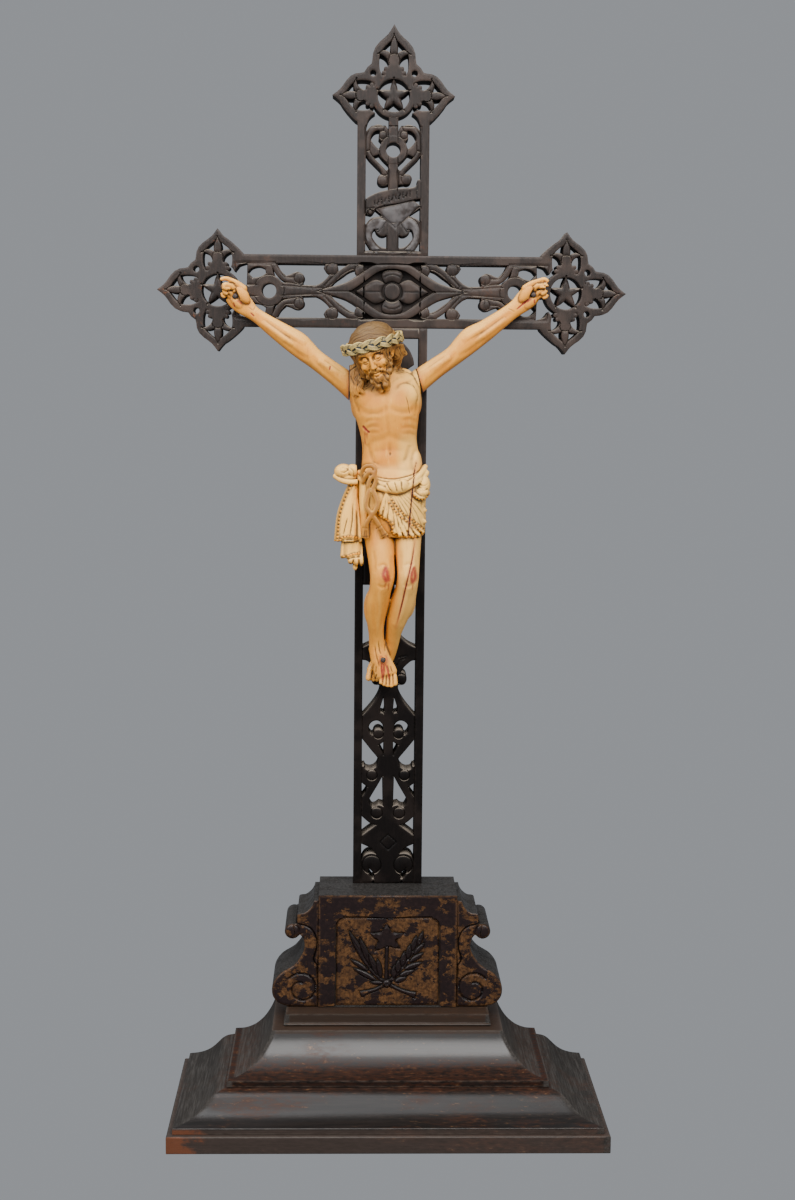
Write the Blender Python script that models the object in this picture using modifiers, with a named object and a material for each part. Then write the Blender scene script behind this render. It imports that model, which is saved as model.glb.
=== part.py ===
"""Carved wooden altar crucifix on a moulded plinth.

The frame has +Z up, -Y towards the viewer and its origin on the floor at the middle of the slab.
Sizes and places are in millimetres and are scaled by MM where a mesh is made.
"""
import math

import bmesh
import bpy
from mathutils import Matrix, Vector, geometry

MM = 0.001
FIT_GAP = 0.3

# Driving dimensions of the plinth
SLAB_WIDTH = 355.0
SLAB_DEPTH = 166.4
SLAB_HEIGHT = 14.2
LOWER_TOP = 42.4
UPPER_TOP = 72.0
FOOT_BOARD_TOP = 82.0
DIE_TOP = 180.2
DIE_HALF_WIDTH = 58.5
DIE_FRONT = 24.4

# Driving dimensions of the cross
TOTAL_HEIGHT = 900.0
CROSS_FRONT = 60.7
BACK = SLAB_DEPTH / 2
ARM_HALF = 29.6
BEAM_MIDDLE = 685.0
BEAM_LOW = BEAM_MIDDLE - ARM_HALF
BEAM_HIGH = BEAM_MIDDLE + ARM_HALF
BEAM_RAIL = 7.3
END_RING_X = 144.5
TOP_RING_Z = 843.5
TREFOIL_TIP = 50.2
TOP_TREFOIL_TIP = TOTAL_HEIGHT - TOP_RING_Z

# Driving dimensions of the figure
HEAD_CENTRE = Vector((-14.5, 25.0, 634.0))
HEAD_BOW = 20.0
HEAD_LEAN = 11.0
HEAD_TURN = 20.0
CROWN_CENTRE = Vector((-16.7, 25.0, 641.9))
CROWN_RADIUS = 24.0
CROWN_BOW = 4.0
CROWN_HALF_HEIGHT = 4.4
CROWN_HALF_THICKNESS = 2.6
NAIL_HEAD_RADIUS = 2.5
NAIL_SHANK_RADIUS = 1.1

COLOURS = {
    "dark_wood": ((0.060, 0.042, 0.033), 0.45, 0.0),
    "die_wood": ((0.170, 0.085, 0.040), 0.50, 0.0),
    "figure_wood": ((0.720, 0.540, 0.340), 0.50, 0.0),
    "crown_paint": ((0.700, 0.640, 0.420), 0.60, 0.0),
    "nail_iron": ((0.050, 0.045, 0.045), 0.50, 0.8),
}


# Scene and materials

def clear_scene():
    for old in list(bpy.data.objects):
        bpy.data.objects.remove(old, do_unlink=True)


def make_collection(name):
    group = bpy.data.collections.new(name)
    bpy.context.scene.collection.children.link(group)
    return group


def make_material(name):
    colour, roughness, metallic = COLOURS[name]
    material = bpy.data.materials.new(name)
    material.use_nodes = True
    shader = material.node_tree.nodes["Principled BSDF"]
    shader.inputs["Base Color"].default_value = (*colour, 1.0)
    shader.inputs["Roughness"].default_value = roughness
    shader.inputs["Metallic"].default_value = metallic
    material.diffuse_color = (*colour, 1.0)
    return material


clear_scene()
PART = make_collection("carved_crucifix")
CUTTERS = make_collection("cutters")
MATERIALS = {name: make_material(name) for name in COLOURS}


def object_from(bm, name, material, group=PART):
    """Scale a millimetre bmesh to metres and make it an object."""
    bmesh.ops.scale(bm, vec=(MM, MM, MM), verts=bm.verts)
    mesh = bpy.data.meshes.new(name)
    bm.to_mesh(mesh)
    bm.free()
    made = bpy.data.objects.new(name, mesh)
    group.objects.link(made)
    if material:
        mesh.materials.append(MATERIALS[material])
    return made


def cutter_from(bm, name):
    made = object_from(bm, name, None, CUTTERS)
    made.hide_render = True
    made.display_type = "WIRE"
    return made


def add_boolean(target, other, operation, touching=False):
    modifier = target.modifiers.new(operation.lower() + "_" + other.name, "BOOLEAN")
    modifier.operation = operation
    modifier.solver = "EXACT"
    modifier.object = other
    modifier.use_self = touching


def keep_modified(target):
    """Replace the object's mesh by what its modifiers make of it."""
    bpy.context.view_layer.update()
    graph = bpy.context.evaluated_depsgraph_get()
    mesh = bpy.data.meshes.new_from_object(target.evaluated_get(graph))
    target.modifiers.clear()
    target.data = mesh


# Flat outlines, in millimetres, as (across, up)

def arc(centre, radius, start, end, steps):
    """Points along an arc; the angles are in degrees."""
    angles = [math.radians(start + (end - start) * k / steps) for k in range(steps + 1)]
    return [(centre[0] + radius * math.cos(a), centre[1] + radius * math.sin(a)) for a in angles]


def disc(centre, radius, sides):
    return arc(centre, radius, 0.0, 360.0 - 360.0 / sides, sides - 1)


def rectangle(half_width, low, high):
    return [(-half_width, low), (half_width, low), (half_width, high), (-half_width, high)]


def star(centre, tip, inner, points=5):
    """A star with one tip straight up."""
    outline = []
    for k in range(2 * points):
        radius = inner if k % 2 else tip
        angle = math.radians(90.0 + 180.0 * k / points)
        outline.append((centre[0] + radius * math.cos(angle), centre[1] + radius * math.sin(angle)))
    return outline


def curved(points, steps=2):
    """A Catmull-Rom curve through an open run of points."""
    run = [Vector(p) for p in points]
    run = [2 * run[0] - run[1]] + run + [2 * run[-1] - run[-2]]
    result = []
    for k in range(1, len(run) - 2):
        a, b, c, d = run[k - 1:k + 3]
        for step in range(steps):
            t = step / steps
            result.append(tuple(0.5 * ((2 * b) + (c - a) * t + (2 * a - 5 * b + 4 * c - d) * t * t
                                       + (3 * b - a - 3 * c + d) * t * t * t)))
    result.append(tuple(run[-2]))
    return result


def flipped(outline):
    """The outline's mirror image across the upright's middle line."""
    return [(-x, z) for x, z in reversed(outline)]


def both_sides(outlines):
    return outlines + [flipped(outline) for outline in outlines]


def turned(outline, centre, heading):
    """Move an outline drawn with its tip along +up to a centre, with the tip along a heading."""
    angle = math.radians(heading - 90.0)
    c, s = math.cos(angle), math.sin(angle)
    return [(centre[0] + c * x - s * z, centre[1] + s * x + c * z) for x, z in outline]


def is_clockwise(outline):
    pairs = zip(outline, outline[1:] + outline[:1])
    return sum(a[0] * b[1] - b[0] * a[1] for a, b in pairs) < 0


def pierced_board(strokes, front, back):
    """A closed board: each (adds, outline) stroke covers or clears what came before it."""
    corners, outlines = [], []
    for _, outline in strokes:
        loop = list(reversed(outline)) if is_clockwise(outline) else outline
        outlines.append(list(range(len(corners), len(corners) + len(loop))))
        corners.extend(Vector(p) for p in loop)
    points, _, faces, _, _, owners = geometry.delaunay_2d_cdt(corners, [], outlines, 1, 1e-3)
    bm = bmesh.new()
    verts = [bm.verts.new((p.x, front, p.y)) for p in points]
    for face, owner in zip(faces, owners):
        if owner and strokes[max(owner)][0]:
            bm.faces.new([verts[k] for k in face])
    bmesh.ops.delete(bm, geom=[v for v in bm.verts if not v.link_faces], context="VERTS")
    bmesh.ops.dissolve_limit(bm, angle_limit=0.002, verts=bm.verts, edges=bm.edges)
    grown = bmesh.ops.extrude_face_region(bm, geom=list(bm.faces), use_keep_orig=True)
    far = [v for v in grown["geom"] if isinstance(v, bmesh.types.BMVert)]
    bmesh.ops.translate(bm, vec=(0.0, back - front, 0.0), verts=far)
    bmesh.ops.recalc_face_normals(bm, faces=bm.faces)
    return bm


# The trefoil end of an arm: three pointed lobes with leaves around a ring

LOBE_FLANK = [(0.0, 50.2), (5.0, 43.8), (12.2, 37.0), (16.3, 30.3), (16.6, 24.5), (20.6, 20.6)]
LOBE_RAIL_FLANK = [(0.0, 50.2), (6.0, 44.2), (13.5, 37.8), (20.6, ARM_HALF)]
LOBE_WINDOW = [(9.0, 16.0), (11.9, 25.0), (9.2, 34.6), (0.0, 43.5)]
LEAF_HALF = [(9.0, 15.0), (8.6, 20.4), (4.2, 24.2), (13.0, 30.0), (3.4, 31.8), (0.0, 44.5)]
HOOK_GAP = [(0.0, -12.0), (17.5, -8.5), (19.3, -11.6), (15.2, -14.0), (19.6, -18.4), (22.3, -24.6),
            (3.9, -24.0)]
CORNER_HOLE = (16.4, 17.0)
CORNER_HOLE_RADIUS = 2.0
RING_OUTER = 18.0
RING_INNER = 13.2
STAR_TIP = 14.4
STAR_INNER = 5.6
LOBE_BASE = 20.6


def stretched(outline, tip):
    """Lengthen a lobe's outline beyond its base so that it reaches another tip."""
    factor = (tip - LOBE_BASE) / (TREFOIL_TIP - LOBE_BASE)
    return [(x, z if z < LOBE_BASE else LOBE_BASE + (z - LOBE_BASE) * factor) for x, z in outline]


def whole(half):
    """A symmetric outline from its right half, which ends at the tip on the middle line."""
    return half + [(-x, z) for x, z in reversed(half[:-1])]


def trefoil_edge(tip):
    """The outer edge from the rail on the right, round the three lobes, to the rail on the left."""
    end = stretched(list(reversed(LOBE_FLANK)), tip)
    right = turned(list(reversed(LOBE_RAIL_FLANK)), (0, 0), 0.0)
    right += turned([(-x, z) for x, z in LOBE_FLANK[1:]], (0, 0), 0.0)
    right = right[:-1] + end
    return right + [(-x, z) for x, z in reversed(right[:-1])]


def trefoil_openings(centre, heading, tip):
    """Strokes that pierce an end and leave its leaves, ring and star standing."""
    strokes = []
    lobes = ((-90.0, TREFOIL_TIP), (90.0, TREFOIL_TIP), (0.0, tip))
    for lobe, reach in lobes:
        window = stretched(whole(LOBE_WINDOW), reach)
        strokes.append((False, turned(window, centre, heading + lobe)))
    for side in (-1, 1):
        strokes.append((False, turned([(side * x, z) for x, z in HOOK_GAP], centre, heading)))
        hole = disc((side * CORNER_HOLE[0], CORNER_HOLE[1]), CORNER_HOLE_RADIUS, 5)
        strokes.append((False, turned(hole, centre, heading)))
    for lobe, reach in lobes:
        leaf = stretched(whole(LEAF_HALF), reach)
        strokes.append((True, turned(leaf, centre, heading + lobe)))
    strokes.append((True, disc(centre, RING_OUTER, 16)))
    strokes.append((False, disc(centre, RING_INNER, 12)))
    strokes.append((True, star(centre, STAR_TIP, STAR_INNER)))
    return strokes


# The upper arm, with the title banner

UPPER_OPENINGS = [
    [(4.0, 815.0), (5.0, 817.2), (10.5, 821.6), (17.0, 820.3), (22.3, 815.6), (22.3, 819.5), (4.0, 819.5)],
    [(11.5, 814.9), (15.8, 815.2), (18.3, 811.0), (18.3, 807.7), (15.8, 804.0), (12.2, 800.8),
     (9.4, 805.6), (12.2, 809.6)],
    [(11.9, 796.2), (16.9, 794.4), (5.9, 783.4), (3.8, 784.8), (3.8, 787.6), (8.7, 792.4)],
    [(5.2, 731.1), (10.1, 731.1), (13.7, 733.1), (14.7, 735.2), (16.7, 734.2), (17.2, 731.1),
     (13.0, 724.9), (5.2, 720.7)],
    [(18.3, 718.7), (22.6, 724.9), (22.6, 718.2)],
]
UPPER_RIGHT_OPENINGS = [
    [(22.6, 795.5), (19.3, 791.7), (10.8, 783.4), (9.8, 780.7), (14.2, 779.6), (15.4, 776.5), (13.5, 773.3),
     (9.0, 772.5), (4.0, 772.6), (4.0, 768.8), (17.9, 771.0), (19.0, 774.5), (22.6, 776.4)],
    [(18.6, 759.3), (22.6, 760.9), (22.6, 755.6)],
    [(12.6, 746.8), (22.6, 753.2), (22.6, 742.0), (18.6, 744.8)],
]
UPPER_LEFT_OPENINGS = [
    [(-22.6, 795.5), (-19.3, 791.7), (-10.8, 783.4), (-9.8, 780.7), (-13.6, 779.4), (-14.2, 775.6),
     (-11.5, 771.7), (-8.0, 771.2), (-4.0, 772.0), (-4.0, 767.6), (-15.4, 765.5), (-22.6, 761.2)],
    [(-22.6, 747.6), (-16.8, 747.9), (-13.2, 751.0), (-8.6, 746.9), (-15.4, 745.5), (-22.6, 740.4)],
]
SMALL_RING_OUTER = 11.0
SMALL_RING_INNER = 6.0
UPPER_SMALL_RING_Z = 800.0
BANNER_PROUD = 1.2
BANNER_WAVE = [(-22.2, 755.0), (-14.0, 759.3), (-5.0, 762.0), (5.0, 763.4), (15.0, 765.4), (22.2, 769.6)]
BANNER_HALF_HEIGHT = 5.8
BANNER_BACK = BACK - 4.0
BANNER_MIDDLE = 760.9
BANNER_SLOPE = 0.27
BANNER_MARKS = (-14.0, -5.0, 4.0, 13.0)
MARK_SIZE = (1.3, 1.6, 5.4)
UPPER_STEM = [(-4.0, 812.0), (4.0, 812.0), (4.0, 828.0), (-4.0, 828.0)]
STEM_CURL = (8.6, 812.4)
STEM_CURL_RADIUS = 3.0


def upper_arm_strokes():
    ring = (0.0, TOP_RING_Z)
    edge = [(x, z + TOP_RING_Z) for x, z in trefoil_edge(TOP_TREFOIL_TIP)]
    foot = BEAM_HIGH + FIT_GAP
    strokes = [(True, [(-ARM_HALF, foot), (ARM_HALF, foot)] + edge)]
    openings = both_sides(UPPER_OPENINGS) + UPPER_RIGHT_OPENINGS + UPPER_LEFT_OPENINGS
    strokes += [(False, opening) for opening in openings]
    strokes += trefoil_openings(ring, 90.0, TOP_TREFOIL_TIP)
    strokes.append((True, UPPER_STEM))
    for side in (-1, 1):
        strokes.append((True, disc((side * STEM_CURL[0], STEM_CURL[1]), STEM_CURL_RADIUS, 6)))
    strokes.append((True, disc((0.0, UPPER_SMALL_RING_Z), SMALL_RING_OUTER, 14)))
    strokes.append((False, disc((0.0, UPPER_SMALL_RING_Z), SMALL_RING_INNER, 10)))
    return strokes


def banner_band():
    upper = [(x, z + BANNER_HALF_HEIGHT) for x, z in BANNER_WAVE]
    lower = [(x, z - BANNER_HALF_HEIGHT) for x, z in BANNER_WAVE]
    return lower + upper[::-1]


def make_upper_arm():
    arm = object_from(pierced_board(upper_arm_strokes(), CROSS_FRONT, BACK), "upper_arm", "dark_wood")
    banner = pierced_board([(True, banner_band())], CROSS_FRONT - BANNER_PROUD, BANNER_BACK)
    add_boolean(arm, cutter_from(banner, "banner_band"), "UNION")
    for k, across in enumerate(BANNER_MARKS):
        bm = bmesh.new()
        middle = BANNER_MIDDLE + BANNER_SLOPE * across
        place = Matrix.Translation((across, CROSS_FRONT - BANNER_PROUD, middle))
        bmesh.ops.create_cube(bm, size=1.0, matrix=place @ Matrix.Diagonal((*MARK_SIZE, 1.0)))
        add_boolean(arm, cutter_from(bm, "banner_mark_%d" % k), "DIFFERENCE")
    return arm


# The beam, with a trefoil at each end and a flower boss at its middle

BEAM_OPENINGS = [
    [(95.5, 21.9), (55.5, 21.9), (56.6, 18.9), (50.2, 12.9), (53.9, 8.2), (62.8, 4.5), (74.0, 4.9),
     (73.8, 12.0), (76.5, 15.2), (80.3, 15.3), (88.0, 12.4)],
    [(45.6, 21.9), (37.2, 21.9), (41.0, 18.2), (44.6, 15.2), (46.6, 18.2)],
    [(30.2, 17.6), (29.8, 12.2), (34.0, 8.9), (41.5, 5.4), (51.0, 2.9), (47.5, 7.2), (41.5, 11.5),
     (36.0, 15.4)],
    [(119.6, 14.6), (116.2, 18.0), (110.5, 19.4), (105.2, 17.6), (104.6, 14.2), (109.0, 11.5),
     (115.5, 10.4)],
    [(99.3, 19.8), (97.4, 12.4), (91.6, 7.2), (86.8, 6.6), (90.8, 11.4), (95.0, 16.4)],
    [(122.2, 21.4), (127.0, 19.8), (129.4, 15.7), (126.4, 12.0), (127.5, 5.0), (123.6, 4.9), (125.2, 12.0),
     (124.0, 17.8)],
]
BEAM_RING_X = 102.0
BEAM_RING_OUTER = 12.4
BEAM_STEM_HALF = 4.6
BEAM_STEM_FROM = BEAM_RING_X + 8.0
BEAM_STEM_TO = END_RING_X - 14.0
ALMOND_HALF_WIDTH = 37.0
ALMOND_HALF_HEIGHT = 20.6
ALMOND_BAND = 4.2
BOSS_POST = 23.5
BOSS_LEDGE = ARM_HALF - BEAM_RAIL
GROUND_FRONT = 69.0
PETAL_FRONT = 63.0
# (heading, half width, length) of the upright and the level pair of petals
PETALS = ((90.0, 9.5, 15.6), (0.0, 8.0, 30.0))
BOSS_EYE_RADIUS = 6.5
BOSS_EYE_PROUD = 1.5
BOSS_UNDERLAP = 2.0


def almond(half_width, half_height, steps=5):
    """A pointed oval made of two sine arches, about the beam's middle."""
    top = []
    for k in range(steps + 1):
        t = k / steps
        top.append((half_width * (1 - 2 * t), BEAM_MIDDLE + half_height * math.sin(math.pi * t) ** 1.2))
    return top + [(x, 2 * BEAM_MIDDLE - z) for x, z in reversed(top[1:-1])]


def beam_strokes():
    def reflected(outline):
        return [(x, -z) for x, z in reversed(outline)]

    halves = BEAM_OPENINGS + [reflected(o) for o in BEAM_OPENINGS]
    openings = [[(x, BEAM_MIDDLE + z) for x, z in o] for o in halves]
    edge = trefoil_edge(TREFOIL_TIP)
    right = turned(edge, (END_RING_X, BEAM_MIDDLE), 0.0)
    left = turned(edge, (-END_RING_X, BEAM_MIDDLE), 180.0)
    strokes = [(True, right + left)]
    strokes += [(False, o) for o in both_sides(openings)]
    for side, heading in ((1, 0.0), (-1, 180.0)):
        strokes += trefoil_openings((side * END_RING_X, BEAM_MIDDLE), heading, TREFOIL_TIP)
        strokes.append((True, disc((side * BEAM_RING_X, BEAM_MIDDLE), BEAM_RING_OUTER, 12)))
        near, far = side * BEAM_STEM_FROM, side * BEAM_STEM_TO
        low, high = BEAM_MIDDLE - BEAM_STEM_HALF, BEAM_MIDDLE + BEAM_STEM_HALF
        strokes.append((True, [(near, low), (far, low), (far, high), (near, high)]))
        strokes.append((False, disc((side * BEAM_RING_X, BEAM_MIDDLE), SMALL_RING_INNER, 10)))
    strokes.append((False, rectangle(BOSS_POST, BEAM_MIDDLE - BOSS_LEDGE, BEAM_MIDDLE + BOSS_LEDGE)))
    strokes.append((True, almond(ALMOND_HALF_WIDTH + ALMOND_BAND, ALMOND_HALF_HEIGHT)))
    strokes.append((False, almond(ALMOND_HALF_WIDTH, ALMOND_HALF_HEIGHT - ALMOND_BAND)))
    return strokes


def petal(width, length):
    return [(0.0, 0.0), (width * 0.55, length * 0.25), (width, length * 0.6), (width * 0.62, length * 0.92),
            (0.0, length)]


def make_crossbar():
    beam = object_from(pierced_board(beam_strokes(), CROSS_FRONT, BACK), "crossbar", "dark_wood")
    ground = almond(ALMOND_HALF_WIDTH + BOSS_UNDERLAP, ALMOND_HALF_HEIGHT - BOSS_UNDERLAP)
    ledge = BOSS_LEDGE + BOSS_UNDERLAP
    behind = rectangle(BOSS_POST + BOSS_UNDERLAP, BEAM_MIDDLE - ledge, BEAM_MIDDLE + ledge)
    layers = [("boss_ground", [(True, ground), (True, behind)], GROUND_FRONT, BACK - 2.0)]
    flower = []
    for heading, width, length in PETALS:
        for turn in (0.0, 180.0):
            half = petal(width, length)
            outline = half + [(-x, z) for x, z in reversed(half[1:-1])]
            flower.append((True, turned(outline, (0.0, BEAM_MIDDLE), heading + turn)))
    layers.append(("boss_petals", flower, PETAL_FRONT, BACK - 3.0))
    eye = disc((0.0, BEAM_MIDDLE), BOSS_EYE_RADIUS, 14)
    layers.append(("boss_eye", [(True, eye)], PETAL_FRONT - BOSS_EYE_PROUD, BACK - 4.0))
    for name, strokes, front, back in layers:
        add_boolean(beam, cutter_from(pierced_board(strokes, front, back), name), "UNION")
    return beam


# The lower upright

SHAFT_OPENINGS = [
    [(22.6, 440.0), (4.2, 440.0), (4.2, 402.0), (9.4, 395.6), (15.2, 390.4), (22.6, 386.6)],
    [(22.6, 375.6), (17.0, 373.6), (10.4, 366.4), (14.2, 363.4), (14.2, 356.2), (7.8, 353.4),
     (9.0, 346.5), (12.2, 340.0), (17.6, 333.0), (22.6, 327.4)],
    [(4.6, 343.0), (7.2, 335.9), (4.2, 334.1)],
    [(5.3, 317.9), (7.4, 321.5), (11.6, 322.9), (15.9, 320.8), (17.2, 316.6), (14.5, 314.6),
     (13.0, 319.0), (9.0, 320.0)],
    [(5.1, 304.9), (8.4, 302.0), (5.2, 297.5)],
    [(22.6, 307.5), (22.6, 281.6), (19.8, 283.2), (15.5, 280.3), (12.0, 281.7), (9.1, 286.1),
     (8.8, 290.8), (15.4, 298.4)],
    [(22.6, 268.4), (21.6, 259.6), (17.6, 265.1)],
    [(5.0, 274.5), (4.4, 249.0), (8.0, 249.9), (13.7, 246.1), (15.9, 251.2), (15.1, 256.3), (8.5, 267.9)],
    [(22.4, 238.8), (22.4, 227.9), (12.2, 232.7), (17.4, 234.4)],
    [(22.6, 215.4), (22.6, 200.6), (17.7, 205.9), (10.5, 206.6), (14.8, 212.5)],
    [(15.6, 193.0), (11.6, 187.2), (13.4, 186.6), (16.2, 190.4)],
]
HEAD_ARCH = [(4.2, 646.7), (22.6, 646.7), (22.6, 600.0), (14.0, 600.0), (13.2, 621.0), (18.8, 625.0),
             (18.0, 630.0), (14.4, 637.8), (8.6, 644.0)]
SHAFT_FOOT_NOTCH = [(10.2, 179.5), (14.0, 179.5), (12.6, 183.9)]


def make_shaft():
    top = BEAM_LOW - FIT_GAP
    foot = DIE_TOP + FIT_GAP
    strokes = [(True, rectangle(ARM_HALF, foot, top))]
    openings = both_sides(SHAFT_OPENINGS + [HEAD_ARCH, SHAFT_FOOT_NOTCH])
    strokes += [(False, opening) for opening in openings]
    return object_from(pierced_board(strokes, CROSS_FRONT, BACK), "cross_shaft", "dark_wood")


# The plinth: each tier is mitred on three sides and flat at the back

def tier(profile):
    """Stack rectangles through (inset, height) points; the back stays flush with the slab's."""
    def corners_at(inset):
        half = SLAB_WIDTH / 2 - inset
        front = -SLAB_DEPTH / 2 + inset
        return [(-half, front), (half, front), (half, BACK), (-half, BACK)]

    bm = bmesh.new()
    inset, height = profile[0]
    corners = [bm.verts.new((x, y, height)) for x, y in corners_at(inset)]
    top = floor = bm.faces.new(corners)
    for inset, height in profile[1:]:
        grown = bmesh.ops.extrude_face_region(bm, geom=[top])
        if top is not floor:
            bm.faces.remove(top)
        top = [g for g in grown["geom"] if isinstance(g, bmesh.types.BMFace)][0]
        for vert, (x, y) in zip(top.verts, corners_at(inset)):
            vert.co = (x, y, height)
    bmesh.ops.remove_doubles(bm, verts=bm.verts, dist=1e-4)
    bmesh.ops.recalc_face_normals(bm, faces=bm.faces)
    return bm


def ogee(low, high, steps=4):
    """A hollow below that turns into a round above, between two (inset, height) points."""
    middle = ((low[0] + high[0]) / 2, (low[1] + high[1]) / 2)
    half_in, half_up = middle[0] - low[0], middle[1] - low[1]
    run = []
    for k in range(1, steps + 1):
        a = math.radians(90.0 * k / steps)
        run.append((low[0] + half_in * math.sin(a), low[1] + half_up * (1 - math.cos(a))))
    for k in range(1, steps + 1):
        a = math.radians(90.0 * k / steps)
        run.append((middle[0] + half_in * (1 - math.cos(a)), middle[1] + half_up * math.sin(a)))
    return run


def cove(low, high, steps=8):
    """A hollow, flat at its foot and upright at its top."""
    rise, run_in = high[1] - low[1], high[0] - low[0]
    angles = [math.radians(90.0 * k / steps) for k in range(1, steps + 1)]
    return [(low[0] + run_in * math.sin(a), low[1] + rise * (1 - math.cos(a))) for a in angles]


# (inset, height) of the lower moulding's fillet, of the head of its ogee and of its shelf
LOWER_FILLET = (4.6, 19.3)
LOWER_OGEE_HEAD = (38.3, 36.6)
LOWER_SHELF = (43.0, 36.9)
UPPER_FILLET_INSET = 45.2
COVE_FOOT = (45.8, 42.6)
UPPER_TOP_INSET = 81.0
BEAD_INSET = 90.2
BEAD_HEIGHT = 1.8
BEAD_STEP = 1.6


def make_plinth():
    slab = tier([(0.0, 0.0), (0.0, SLAB_HEIGHT)])
    object_from(slab, "base_slab", "dark_wood")
    lower = [(LOWER_FILLET[0], SLAB_HEIGHT + FIT_GAP), LOWER_FILLET]
    lower += ogee(LOWER_FILLET, LOWER_OGEE_HEAD) + [LOWER_SHELF]
    object_from(tier(lower), "lower_moulding", "dark_wood")
    upper = [(UPPER_FILLET_INSET, LOWER_SHELF[1] + FIT_GAP), (UPPER_FILLET_INSET, LOWER_TOP)]
    upper += cove(COVE_FOOT, (UPPER_TOP_INSET, UPPER_TOP))
    object_from(tier(upper), "upper_moulding", "dark_wood")
    bead_top = UPPER_TOP + BEAD_HEIGHT
    board = [(BEAD_INSET, UPPER_TOP + FIT_GAP), (BEAD_INSET, bead_top),
             (BEAD_INSET + BEAD_STEP, bead_top + 0.6), (BEAD_INSET + BEAD_STEP, FOOT_BOARD_TOP)]
    object_from(tier(board), "foot_board", "dark_wood")


# The die, with a framed panel and the carved emblem

PANEL_HALF_WIDTH = 43.6
PANEL_TOP = 160.6
PANEL_CORNER = 6.0
PANEL_FRONT = DIE_FRONT + 2.0
PANEL_RIM = 1.0
EMBLEM_MIDDLE = (-0.8, 142.6)
EMBLEM_TIP = 13.6
EMBLEM_INNER = 6.0
EMBLEM_PROUD = 1.7
KNOT = (-0.6, 102.4)
RIBBON_ENDS = ((-21.0, 93.8), (22.0, 93.4))
LEFT_SPRAY_TIP = (-33.0, 149.0)
RIGHT_SPRAY_TIP = (29.8, 149.4)
# (share of the stem, lean in degrees, length) of the left spray's leaves
LEFT_LEAVES = ((0.14, -72, 13), (0.2, 6, 24), (0.36, -88, 12), (0.44, 4, 20), (0.62, -28, 25),
               (0.7, -8, 20))
RIGHT_LEAF_PAIRS = 6


def blade(start, end, width, thick, front):
    """A pointed leaf lying against the panel, with a raised rib along its middle."""
    a, b = Vector((start[0], 0.0, start[1])), Vector((end[0], 0.0, end[1]))
    length = (b - a).length
    bm = bmesh.new()
    bmesh.ops.create_uvsphere(bm, u_segments=4, v_segments=2, radius=0.5)
    angle = math.atan2(b.x - a.x, b.z - a.z)
    place = Matrix.Translation((a + b) / 2 + Vector((0.0, front, 0.0)))
    turn = Matrix.Rotation(angle, 4, "Y")
    size = Matrix.Diagonal((width, 2 * thick, length, 1.0))
    bmesh.ops.transform(bm, matrix=place @ turn @ size, verts=bm.verts)
    return bm


def along(start, end, share):
    return (start[0] + (end[0] - start[0]) * share, start[1] + (end[1] - start[1]) * share)


def aside(point, angle, length):
    a = math.radians(angle)
    return (point[0] + length * math.sin(a), point[1] + length * math.cos(a))


def emblem_blades():
    """(start, end, width, thickness) of the stems, leaves, knot and ribbon ends."""
    blades = [((EMBLEM_MIDDLE[0], 104.0), (EMBLEM_MIDDLE[0], 136.0), 2.8, 1.6)]
    blades.append((aside(KNOT, 0, -4.6), aside(KNOT, 0, 4.6), 8.0, 2.6))
    blades += [(KNOT, end, 3.4, 1.8) for end in RIBBON_ENDS]
    blades.append((KNOT, along(KNOT, LEFT_SPRAY_TIP, 0.75), 2.6, 1.5))
    blades.append((KNOT, along(KNOT, RIGHT_SPRAY_TIP, 0.85), 2.4, 1.5))
    for share, lean, length in LEFT_LEAVES:
        root = along(KNOT, LEFT_SPRAY_TIP, share)
        blades.append((root, aside(root, lean, length), 4.6, 1.8))
    for k in range(RIGHT_LEAF_PAIRS):
        root = along(KNOT, RIGHT_SPRAY_TIP, 0.14 + 0.14 * k)
        blades.append((root, aside(root, 66, 9.6 - 0.7 * k), 4.0, 1.7))
        blades.append((root, aside(root, 2, 10.6 - 0.6 * k), 4.2, 1.7))
    return blades


def joined(parts):
    whole_mesh = bmesh.new()
    for part in parts:
        temporary = bpy.data.meshes.new("part")
        part.to_mesh(temporary)
        part.free()
        whole_mesh.from_mesh(temporary)
        bpy.data.meshes.remove(temporary)
    return whole_mesh


def make_die():
    low = FOOT_BOARD_TOP + FIT_GAP
    block = pierced_board([(True, rectangle(DIE_HALF_WIDTH, low, DIE_TOP))], DIE_FRONT, BACK)
    die = object_from(block, "die_block", "die_wood")
    corner = arc((PANEL_HALF_WIDTH - PANEL_CORNER, PANEL_TOP - PANEL_CORNER), PANEL_CORNER, 0.0, 90.0, 4)
    panel = [(-PANEL_HALF_WIDTH, low + PANEL_RIM), (PANEL_HALF_WIDTH, low + PANEL_RIM)] + corner
    panel += [(-x, z) for x, z in reversed(corner)]
    recess = cutter_from(pierced_board([(True, panel)], DIE_FRONT - 3.0, PANEL_FRONT), "panel_recess")
    add_boolean(die, recess, "DIFFERENCE")
    sprays = [blade(a, b, width, thick, PANEL_FRONT) for a, b, width, thick in emblem_blades()]
    emblem_star = [(True, star(EMBLEM_MIDDLE, EMBLEM_TIP, EMBLEM_INNER))]
    sprays.append(pierced_board(emblem_star, PANEL_FRONT - EMBLEM_PROUD, PANEL_FRONT + 3.0))
    emblem = cutter_from(joined(sprays), "emblem")
    add_boolean(die, emblem, "UNION", touching=True)
    return die


# The volute brackets

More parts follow.
